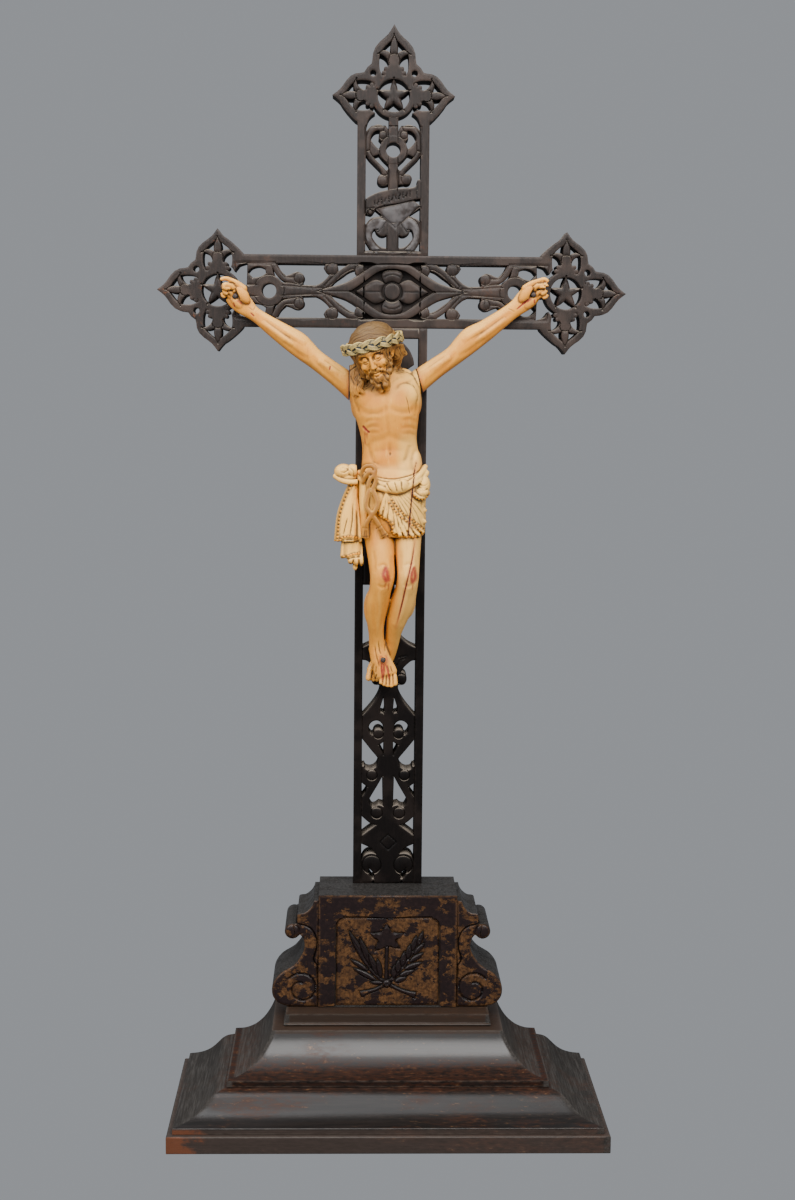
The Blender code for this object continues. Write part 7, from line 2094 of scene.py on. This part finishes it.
def make_corpus():
    clay = Clay(corpus_lumps(), "figure_carving", sizes().figure_grid)
    local, _ = in_frame(clay, HEAD_CENTRE, head_axes())
    clay.refine((np.hypot(local[:, 0], local[:, 1]) < 27.0) & (local[:, 2] > -25.0) & (local[:, 1] < 12.0))
    beyond_plane(clay, FALL_SEAM[0], fall_normal(), 440.0, 546.0)
    carve_trunk(clay)
    carve_legs(clay)
    carve_cloth(clay)
    carve_lock(clay)
    carve_head(clay)
    groove_for_crown(clay)
    for seam in (LEFT_SEAM, RIGHT_SEAM):
        point, normal = seam_side(seam, -SEAM / 2)
        beyond_plane(clay, point, normal, 590.0, 634.0)
        close = near_plane(clay, point, normal, 1.0) * (np.abs(clay.points[:, 2] - point.z) < 19.0)
        clay.paint("crack", close * 0.8)
    point, normal = Vector(FALL_SEAM[0]), fall_normal()
    beyond_plane(clay, point - normal * SEAM / 2, normal, 440.0, 546.0)
    held_back(clay)
    clay.refresh()
    clay.cavities()
    warm_places(clay)
    dress(clay.done(CORPUS_TRIANGLES), figure_finish(), "figure_wood", "corpus")


def fall_normal():
    return Matrix.Rotation(math.radians(-FALL_SEAM[1]), 3, "Y") @ Vector((-1.0, 0.0, 0.0))


# (x, z, radius) of the rosier paint on the chest, ribs, knees, insteps and belly
ROSY_PLACES = ((-15.0, 596.0, 13.0), (8.0, 598.0, 12.0), (-12.0, 574.0, 10.0), (12.0, 572.0, 10.0),
               (-6.0, 452.0, 10.0), (14.0, 452.0, 10.0), (-6.0, 382.0, 10.0), (-2.0, 552.0, 10.0))


def warm_places(clay):
    """Paint the rosy places, and painted light on the viewer's right side."""
    x, _, z = clay.points.T
    warm = np.zeros(len(x))
    for px, pz, radius in ROSY_PLACES:
        warm = np.maximum(warm, 1.0 - ramp(np.hypot(x - px, z - pz), 0.2 * radius, radius))
    clay.paint("warm", warm * 0.5)
    # Painted light on the right leg, hip and chest side
    painted_light_side = ramp(x, 2.0, 10.0) * (1.0 - ramp(z, 560.0, 575.0)) + ramp(x, 6.0, 18.0) * ramp(z, 590.0, 600.0)
    clay.paint("painted_light_side", np.clip(painted_light_side, 0.0, 1.0) * 0.75)


def make_arm(line, stations, fingers, palm, seam, nail_place, creases, name, node):
    lumps = [limb([(line.at(s, n, y), across, deep) for s, n, y, across, deep in stations])]
    for run, radii in fingers:
        lumps += cord(run, radii)
    lumps += [lump(place, radii, lean) for place, radii, lean in palm]
    clay = Clay(lumps, name, sizes().hand_grid, 2)
    view = clay.front()
    clay.stroke(view, on_line(line, ARM_HOLLOWS), 3.2, -0.55, taper=True)
    clay.stroke(view, on_line(line, ARM_SWELLINGS), 3.0, 0.55, taper=True)
    for run, half_width, amount, mark in creases:
        clay.stroke(view, [run], half_width, amount, mark, taper=True)
    x, z = nail_place
    side = -1.0 if x < 0.0 else 1.0
    clay.stroke(view, [[(x, z + 0.6), (x, z - 0.6)]], 3.6, -0.7, "sore")
    clay.paint("blood", clay.covered(view, [[(x - side * 1.0, z - 3.0), (x - side * 3.4, z - 4.6),
                                             (x - side * 5.6, z - 6.4)]], 1.1, True) * 0.8)
    point, normal = seam_side(seam, SEAM / 2)
    beyond_plane(clay, point, -normal, 560.0, 660.0)
    clay.paint("crack", near_plane(clay, point, normal, 1.0) * 0.8)
    clay.paint("blood", near_plane(clay, point, normal, 3.4) * 0.35)
    held_back(clay)
    clay.refresh()
    clay.cavities()
    clay.paint("warm", 0.35 * (1.0 - ramp(np.hypot(clay.points[:, 0] - x, clay.points[:, 2] - z), 4.0, 18.0)))
    dress(clay.done(ARM_TRIANGLES), figure_finish(), "figure_wood", node)


def make_arms():
    left = [([(-129.4, 686.6), (-128.0, 681.4), (-125.2, 676.6)], 1.4, -0.9, None),
            ([(-116.8, 666.4), (-113.6, 663.4)], 0.9, -0.4, "blood"),
            ([(-118.6, 671.4), (-114.8, 668.4), (-112.6, 672.4)], 0.8, -0.25, None),
            ([(-131.0, 674.6), (-129.6, 670.8)], 0.9, -0.2, "blood"),
            ([(-134.6, 690.6), (-131.6, 690.4), (-128.8, 689.0)], 0.9, -0.8, None),
            ([(-135.6, 684.4), (-132.2, 683.8), (-129.6, 684.8)], 1.0, -0.8, None),
            ([(-50.6, 623.8), (-51.4, 620.0)], 1.0, -0.4, "blood")]
    right = [([(116.6, 689.4), (115.6, 685.0), (112.6, 680.0)], 1.4, -0.9, None),
             ([(112.4, 679.5), (106.2, 674.1), (102.6, 671.0)], 1.0, -0.5, "blood"),
             ([(95.0, 671.8), (98.6, 670.6), (101.3, 668.8)], 0.8, -0.3, None),
             ([(119.0, 692.6), (122.4, 692.9), (126.0, 693.2)], 0.9, -0.8, None),
             ([(118.6, 687.0), (122.0, 687.6), (126.4, 687.7)], 1.0, -0.8, None),
             ([(117.6, 676.0), (117.2, 680.0)], 0.9, -0.2, "blood")]
    make_arm(LEFT_LINE, LEFT_ARM, LEFT_FINGERS, LEFT_PALM, LEFT_SEAM, LEFT_NAIL, left, "left_arm_carving",
             "corpus_arm_left")
    make_arm(RIGHT_LINE, RIGHT_ARM, RIGHT_FINGERS, RIGHT_PALM, RIGHT_SEAM, RIGHT_NAIL, right,
             "right_arm_carving",
             "corpus_arm_right")


def make_fall():
    lumps = [limb(FALL), limb(FALL_TIER)] + [lump(place, radii) for place, radii in FALL_PUFF + FALL_RUFFLE]
    lumps += cord(FALL_ROLL, 2.3)
    for run in FALL_FOLDS + FALL_LOWER:
        lumps += cord([p[:3] for p in run], [p[3] for p in run], 1.3)
    clay = Clay(lumps, "hanging_cloth_carving", sizes().hand_grid, 2)
    height = clay.points[:, 2]
    clay.soften(ramp(height, 483.0, 488.0) * (1.0 - ramp(height, 520.0, 526.0)), 20)
    clay.soften(ramp(height, 464.0, 467.0) * (1.0 - ramp(height, 476.0, 480.0)), 14)
    view = clay.front()
    clay.stroke(view, [[(-44.0, 539.4), (-40.0, 541.2), (-36.0, 539.6), (-38.6, 537.2), (-42.4, 537.8)],
                       [(-34.6, 541.4), (-31.4, 538.0), (-31.0, 533.4)]], 1.3, -0.6, taper=True)
    clay.stroke(view, [[(-31.6, 512.0), (-32.0, 498.0), (-33.8, 486.0)],
                       [(-28.6, 506.0), (-28.0, 494.0), (-28.4, 484.0)],
                       [(-36.0, 500.0), (-39.4, 486.0)]], 1.2, -0.5, taper=True)
    beaded(clay, view, FALL_HEMS, 1.15, 2.9)
    clay.paint("rim", clay.covered(view, [FALL_EDGE], 2.2) ** 0.5 * 0.7)
    beaded(clay, view, [FALL_EDGE], 1.15, 3.1)
    clay.stroke(view, moved(FALL_HEMS, 0.0, -2.6), 1.3, -0.7)
    clay.stroke(view, [[(-31.0, 466.0), (-31.2, 460.6)], [(-26.4, 466.0), (-26.2, 460.0)]], 0.9, -0.6,
                taper=True)
    beaded(clay, view, [[(-35.0, 462.2), (-32.4, 461.0), (-30.6, 462.2)],
                        [(-28.0, 460.8), (-24.4, 460.2), (-21.6, 461.8)]],
           1.0, 2.4)
    normal = fall_normal()
    beyond_plane(clay, Vector(FALL_SEAM[0]) + normal * SEAM / 2, -normal, 430.0, 560.0)
    held_back(clay)
    clay.refresh()
    clay.paint("cloth", np.ones(len(clay.points)))
    clay.cavities()
    dress(clay.done(FALL_TRIANGLES), figure_finish(), "figure_wood", "loincloth_fall")


# The braided crown

STRAND_STATIONS = 420
STRAND_SIDES = 12
BRAID_STRANDS = 3
BRAID_CROSSINGS = 5
# Each strand is three withies side by side
WITHY_LIFTS = (-1.2, 0.0, 1.2)
WITHY_HALF = (0.74, 0.98)
CORE_HALF = (3.4, 1.0)


def braid_strand(phase, crossings, lift=0.0):
    """One strand's stations: it weaves up, down, over and under around the crown."""
    axes = crown_axes()
    run = []
    for k in range(STRAND_STATIONS + 1):
        turn = math.tau * k / STRAND_STATIONS
        weave = crossings * turn + phase
        radius = CROWN_RADIUS + 0.1 + 1.15 * math.sin(2.0 * weave)
        rise = (2.75 + 0.35 * math.cos(turn)) * math.sin(weave) + lift
        run.append(CROWN_CENTRE + axes @ Vector((radius * math.sin(turn), -radius * math.cos(turn), rise)))
    return run


def ring_tube(run, half_high, half_deep):
    """A closed ring of oval section through places around the crown's axis."""
    bm = bmesh.new()
    upright = crown_axes() @ Vector((0.0, 0.0, 1.0))
    previous = first = None
    for k, place in enumerate(run[:-1]):
        ahead = (run[k + 1] - run[k - 1 if k else -2]).normalized()
        out = ahead.cross(upright).normalized()
        high = out.cross(ahead)
        matrix = Matrix((out * half_deep, high * half_high, ahead)).transposed().to_4x4()
        matrix.translation = place
        made = bmesh.ops.create_circle(bm, segments=STRAND_SIDES, radius=1.0, matrix=matrix)
        ring = list({edge for vert in made["verts"] for edge in vert.link_edges})
        if previous:
            bmesh.ops.bridge_loops(bm, edges=previous + ring)
        first = first or ring
        previous = ring
    bmesh.ops.bridge_loops(bm, edges=previous + first)
    return bm


def crown_finish():
    look = Finish("braided_crown", specular=0.4)
    cloudy = look.noise(5.0, 4.0, 0.6)
    fine = look.noise(1.2, 4.0, 0.65)
    hollow, basin, ridge = look.mark("hollow"), look.mark("basin"), look.mark("ridge")
    base = look.mix(cloudy.above(0.40, 0.68) * 0.7, (0.360, 0.255, 0.080), (0.170, 0.116, 0.042))
    base = look.mix(ridge * 0.6, base, (0.680, 0.490, 0.180))
    # The hollows between the strands are painted near black: painted shade
    base = look.mix((hollow * 3.4 + basin * 1.8).clamped(), base, (0.004, 0.008, 0.010))
    base = look.mix(fine.above(0.55, 0.72) * 0.4, base, (0.030, 0.050, 0.045))
    return look.finish(base, 0.48 + 0.15 * fine, fine, 0.08)


def make_crown():
    strands = [ring_tube(braid_strand(math.tau * k / BRAID_STRANDS, BRAID_CROSSINGS, lift), *WITHY_HALF)
               for k in range(BRAID_STRANDS) for lift in WITHY_LIFTS]
    core = ring_tube(braid_strand(0.0, 0), *CORE_HALF)
    clay = Clay(strands + [core], "crown_carving", sizes().crown_grid, 1)
    clay.cavities()
    dress(clay.done(CROWN_TRIANGLES), crown_finish(), "crown_paint", "crown_of_thorns")


# The three forged nails

def nail_finish():
    look = Finish("forged_iron", specular=0.5)
    rust = look.noise(1.4, 5.0, 0.7)
    base = look.mix(rust.above(0.42, 0.62), (0.020, 0.019, 0.020), (0.075, 0.045, 0.032))
    return look.finish(base, 0.42 + 0.3 * rust, rust, 0.15, metallic=0.35)


NAIL_HEAD_RADIUS = 2.45
NAIL_HEAD_HEIGHT = 2.6
NAIL_SHANK_RADIUS = 1.05
NAIL_POINT = 2.0
NAIL_DRIVEN = 7.9
# The nail's head as (share of its radius, distance behind its front)
NAIL_HEAD = [(0.0, 0.02), (0.45, 0.08), (0.74, 0.32), (0.94, 0.8), (1.0, 1.35), (0.97, 1.9),
             (0.86, NAIL_HEAD_HEIGHT)]
# How deep the hammer's four facets are, as a share of the radius
HAMMERED = 0.10


def make_nail(place, front, name, node):
    """A forged nail with a domed, hammered head, driven into the wood behind."""
    x, z = place
    tip = CROSS_FRONT + NAIL_DRIVEN
    bm = bmesh.new()
    profile = [(share * NAIL_HEAD_RADIUS, front + behind) for share, behind in NAIL_HEAD]
    profile += [(NAIL_SHANK_RADIUS, front + NAIL_HEAD_HEIGHT), (NAIL_SHANK_RADIUS, tip - NAIL_POINT),
                (0.0, tip)]
    verts = [bm.verts.new((x + r, y, z)) for r, y in profile]
    edges = [bm.edges.new(pair) for pair in zip(verts, verts[1:])]
    bmesh.ops.spin(bm, geom=verts + edges, cent=(x, 0.0, z), axis=(0.0, 1.0, 0.0), angle=math.tau, steps=24,
                   use_merge=True)
    bmesh.ops.remove_doubles(bm, verts=bm.verts, dist=0.001)
    bmesh.ops.recalc_face_normals(bm, faces=bm.faces)
    for vert in bm.verts:
        if vert.co.y < front + NAIL_HEAD_HEIGHT + 0.1:
            turn = math.atan2(vert.co.z - z, vert.co.x - x)
            away = math.hypot(vert.co.x - x, vert.co.z - z)
            share = 1.0 - HAMMERED * (0.5 + 0.5 * math.cos(4.0 * turn + x)) * (away > 1.2)
            vert.co.x = x + (vert.co.x - x) * share
            vert.co.z = z + (vert.co.z - z) * share
    dress(piece_from(bm, name, 45.0), nail_finish(), "nail_iron", node)


def make_nails():
    make_nail(LEFT_NAIL, HAND_NAIL_FRONT, "left_hand_nail", "nail_hand_left")
    make_nail(RIGHT_NAIL, HAND_NAIL_FRONT, "right_hand_nail", "nail_hand_right")
    make_nail(FOOT_NAIL, FOOT_NAIL_FRONT, "feet_nail", "nail_feet")


# The stage

CAMERA_PLACE = (-0.0322346, -1.4559757, 0.6193303)
CAMERA_PITCH = 0.12585987
CAMERA_YAW = -0.02563992
CAMERA_ROLL = 0.00893335
LENS = 54.15
SENSOR_HEIGHT = 36.0
# The backdrop in metres: its floor's near edge, where it starts to rise, and the wall's top and half width
FLOOR_EDGE = -1.9
SWEEP_START = 0.75
SWEEP_RADIUS = 0.75
WALL_TOP = 3.4
SWEEP_HALF_WIDTH = 4.0
ROOM_COLOUR = (0.82, 0.86, 0.92, 1.0)
ROOM_STRENGTH = 0.36
# Soft round lights: name, place, what each points at, its width in metres, watts and colour
LIGHTS = (
    ("key_light", (1.3, -1.7, 1.9), (0.0, 0.0, 0.5), 1.3, 58.0, (1.0, 0.985, 0.96)),
    ("front_light", (0.0, -2.0, 2.05), (0.0, 0.0, 0.3), 1.6, 63.0, (1.0, 0.99, 0.98)),
    ("fill_light", (-1.6, -1.5, 1.5), (0.0, 0.0, 0.5), 1.6, 46.0, (0.97, 0.98, 1.0)),
    ("top_light", (0.0, -0.5, 2.4), (0.0, 0.1, 0.4), 1.2, 13.0, (0.96, 0.98, 1.0)),
    ("backdrop_light", (-0.8, 0.3, 2.0), (-0.8, 1.4, 0.7), 1.6, 34.0, (0.97, 0.98, 1.0)),
)


def make_backdrop():
    """A floor that curves up into a wall behind the crucifix."""
    bm = bmesh.new()
    bends = [math.radians(9 * k) for k in range(11)]
    profile = [(FLOOR_EDGE, 0.0)]
    profile += [(SWEEP_START + SWEEP_RADIUS * math.sin(a),
                 SWEEP_RADIUS - SWEEP_RADIUS * math.cos(a)) for a in bends]
    profile += [(SWEEP_START + SWEEP_RADIUS, WALL_TOP)]
    verts = [bm.verts.new((-SWEEP_HALF_WIDTH, y, z)) for y, z in profile]
    edges = [bm.edges.new(pair) for pair in zip(verts, verts[1:])]
    grown = bmesh.ops.extrude_edge_only(bm, edges=edges)
    moved_verts = [g for g in grown["geom"] if isinstance(g, bmesh.types.BMVert)]
    bmesh.ops.translate(bm, vec=(2.0 * SWEEP_HALF_WIDTH, 0.0, 0.0), verts=moved_verts)
    bmesh.ops.recalc_face_normals(bm, faces=bm.faces)
    bm.faces.ensure_lookup_table()
    if bm.faces[0].normal.z < 0.0:
        bmesh.ops.reverse_faces(bm, faces=bm.faces)
    mesh = bpy.data.meshes.new("backdrop_sweep")
    bm.to_mesh(mesh)
    bm.free()
    mesh.shade_smooth()
    sweep = linked("backdrop_sweep", mesh)
    mesh.materials.append(backdrop_finish())


def make_camera():
    cos_pitch, sin_pitch = math.cos(CAMERA_PITCH), math.sin(CAMERA_PITCH)
    ahead = Vector((-math.sin(CAMERA_YAW) * cos_pitch, math.cos(CAMERA_YAW) * cos_pitch, -sin_pitch))
    right = Vector((math.cos(CAMERA_YAW), math.sin(CAMERA_YAW), 0.0))
    up = right.cross(ahead)
    rolled_right = right * math.cos(CAMERA_ROLL) + up * math.sin(CAMERA_ROLL)
    rolled_up = up * math.cos(CAMERA_ROLL) - right * math.sin(CAMERA_ROLL)
    data = bpy.data.cameras.new("studio_camera")
    data.sensor_fit = "VERTICAL"
    data.sensor_height = SENSOR_HEIGHT
    data.lens = LENS
    matrix = Matrix((rolled_right, rolled_up, -ahead)).transposed().to_4x4()
    matrix.translation = CAMERA_PLACE
    bpy.context.scene.camera = linked("studio_camera", data, matrix)


def make_lights():
    world = bpy.data.worlds.new("studio_room")
    world.use_nodes = True
    room = world.node_tree.nodes["Background"].inputs
    room["Color"].default_value = ROOM_COLOUR
    room["Strength"].default_value = ROOM_STRENGTH
    bpy.context.scene.world = world
    for name, place, target, size, power, colour in LIGHTS:
        data = bpy.data.lights.new(name, "AREA")
        data.shape = "DISK"
        data.size = size
        data.energy = power
        data.color = colour
        turn = (Vector(place) - Vector(target)).to_track_quat("Z", "Y")
        linked(name, data, Matrix.Translation(place) @ turn.to_matrix().to_4x4())


# Operators, one for each group of pieces

class OBJECT_OT_crucifix_plinth(bpy.types.Operator):
    """Build the moulded plinth: base board, ogee, cove and the die's foot board"""
    bl_idname = "object.crucifix_plinth"
    bl_label = "Build Plinth"

    def execute(self, context):
        make_plinth()
        return {"FINISHED"}


class OBJECT_OT_crucifix_die(bpy.types.Operator):
    """Carve the die with its framed panel and tied sprays"""
    bl_idname = "object.crucifix_die"
    bl_label = "Carve Die"

    def execute(self, context):
        make_die()
        return {"FINISHED"}


class OBJECT_OT_crucifix_brackets(bpy.types.Operator):
    """Carve the two volute brackets beside the die"""
    bl_idname = "object.crucifix_brackets"
    bl_label = "Carve Volute Brackets"

    def execute(self, context):
        make_bracket(-1, "left_bracket_carving", "scroll_bracket_left")
        make_bracket(1, "right_bracket_carving", "scroll_bracket_right")
        return {"FINISHED"}


class OBJECT_OT_crucifix_shaft(bpy.types.Operator):
    """Carve the pierced lower upright"""
    bl_idname = "object.crucifix_shaft"
    bl_label = "Carve Lower Upright"

    def execute(self, context):
        make_shaft()
        return {"FINISHED"}


class OBJECT_OT_crucifix_crossbar(bpy.types.Operator):
    """Carve the pierced beam with its trefoil ends and flower boss"""
    bl_idname = "object.crucifix_crossbar"
    bl_label = "Carve Beam"

    def execute(self, context):
        make_crossbar()
        return {"FINISHED"}


class OBJECT_OT_crucifix_upper_arm(bpy.types.Operator):
    """Carve the pierced upper upright with its banner"""
    bl_idname = "object.crucifix_upper_arm"
    bl_label = "Carve Upper Upright"

    def execute(self, context):
        make_upper_arm()
        return {"FINISHED"}


class OBJECT_OT_crucifix_corpus(bpy.types.Operator):
    """Carve the figure's trunk, head, loincloth and legs"""
    bl_idname = "object.crucifix_corpus"
    bl_label = "Carve Figure"

    def execute(self, context):
        make_corpus()
        return {"FINISHED"}


class OBJECT_OT_crucifix_arms(bpy.types.Operator):
    """Carve the figure's two arms and hands"""
    bl_idname = "object.crucifix_arms"
    bl_label = "Carve Arms"

    def execute(self, context):
        make_arms()
        return {"FINISHED"}


class OBJECT_OT_crucifix_fall(bpy.types.Operator):
    """Carve the loose bunch of cloth at the hip"""
    bl_idname = "object.crucifix_fall"
    bl_label = "Carve Cloth Fall"

    def execute(self, context):
        make_fall()
        return {"FINISHED"}


class OBJECT_OT_crucifix_crown(bpy.types.Operator):
    """Braid the crown of thorns"""
    bl_idname = "object.crucifix_crown"
    bl_label = "Braid Crown"

    def execute(self, context):
        make_crown()
        return {"FINISHED"}


class OBJECT_OT_crucifix_nails(bpy.types.Operator):
    """Turn the three forged nails"""
    bl_idname = "object.crucifix_nails"
    bl_label = "Forge Nails"

    def execute(self, context):
        make_nails()
        return {"FINISHED"}


class OBJECT_OT_crucifix_stage(bpy.types.Operator):
    """Set up the backdrop, the lights and the camera"""
    bl_idname = "object.crucifix_stage"
    bl_label = "Set Up Stage"

    def execute(self, context):
        make_backdrop()
        make_camera()
        make_lights()
        return {"FINISHED"}


class VIEW3D_PT_crucifix(bpy.types.Panel):
    """Sizes, colours and build steps of the crucifix"""
    bl_idname = "VIEW3D_PT_crucifix"
    bl_label = "Carved Altar Crucifix"
    bl_space_type = "VIEW_3D"
    bl_region_type = "UI"
    bl_category = "Crucifix"

    def draw(self, context):
        for group in (context.scene.crucifix_sizes, context.scene.crucifix_colours):
            column = self.layout.column(align=True)
            for name in group.__annotations__:
                column.prop(group, name)
        for operator in OPERATORS:
            self.layout.operator(operator.bl_idname)


OPERATORS = (OBJECT_OT_crucifix_plinth, OBJECT_OT_crucifix_die, OBJECT_OT_crucifix_brackets,
             OBJECT_OT_crucifix_shaft, OBJECT_OT_crucifix_crossbar, OBJECT_OT_crucifix_upper_arm,
             OBJECT_OT_crucifix_corpus, OBJECT_OT_crucifix_arms, OBJECT_OT_crucifix_fall,
             OBJECT_OT_crucifix_crown, OBJECT_OT_crucifix_nails, OBJECT_OT_crucifix_stage)
CLASSES = (CrucifixSizes, CrucifixColours) + OPERATORS + (VIEW3D_PT_crucifix,)


def register():
    for cls in CLASSES:
        bpy.utils.register_class(cls)
    bpy.types.Scene.crucifix_sizes = PointerProperty(type=CrucifixSizes)
    bpy.types.Scene.crucifix_colours = PointerProperty(type=CrucifixColours)


def unregister():
    del bpy.types.Scene.crucifix_colours
    del bpy.types.Scene.crucifix_sizes
    for cls in reversed(CLASSES):
        bpy.utils.unregister_class(cls)


def main():
    register()
    bpy.ops.object.crucifix_plinth()
    bpy.ops.object.crucifix_die()
    bpy.ops.object.crucifix_brackets()
    bpy.ops.object.crucifix_shaft()
    bpy.ops.object.crucifix_crossbar()
    bpy.ops.object.crucifix_upper_arm()
    bpy.ops.object.crucifix_corpus()
    bpy.ops.object.crucifix_arms()
    bpy.ops.object.crucifix_fall()
    bpy.ops.object.crucifix_crown()
    bpy.ops.object.crucifix_nails()
    bpy.ops.object.crucifix_stage()


if __name__ == "__main__":
    main()
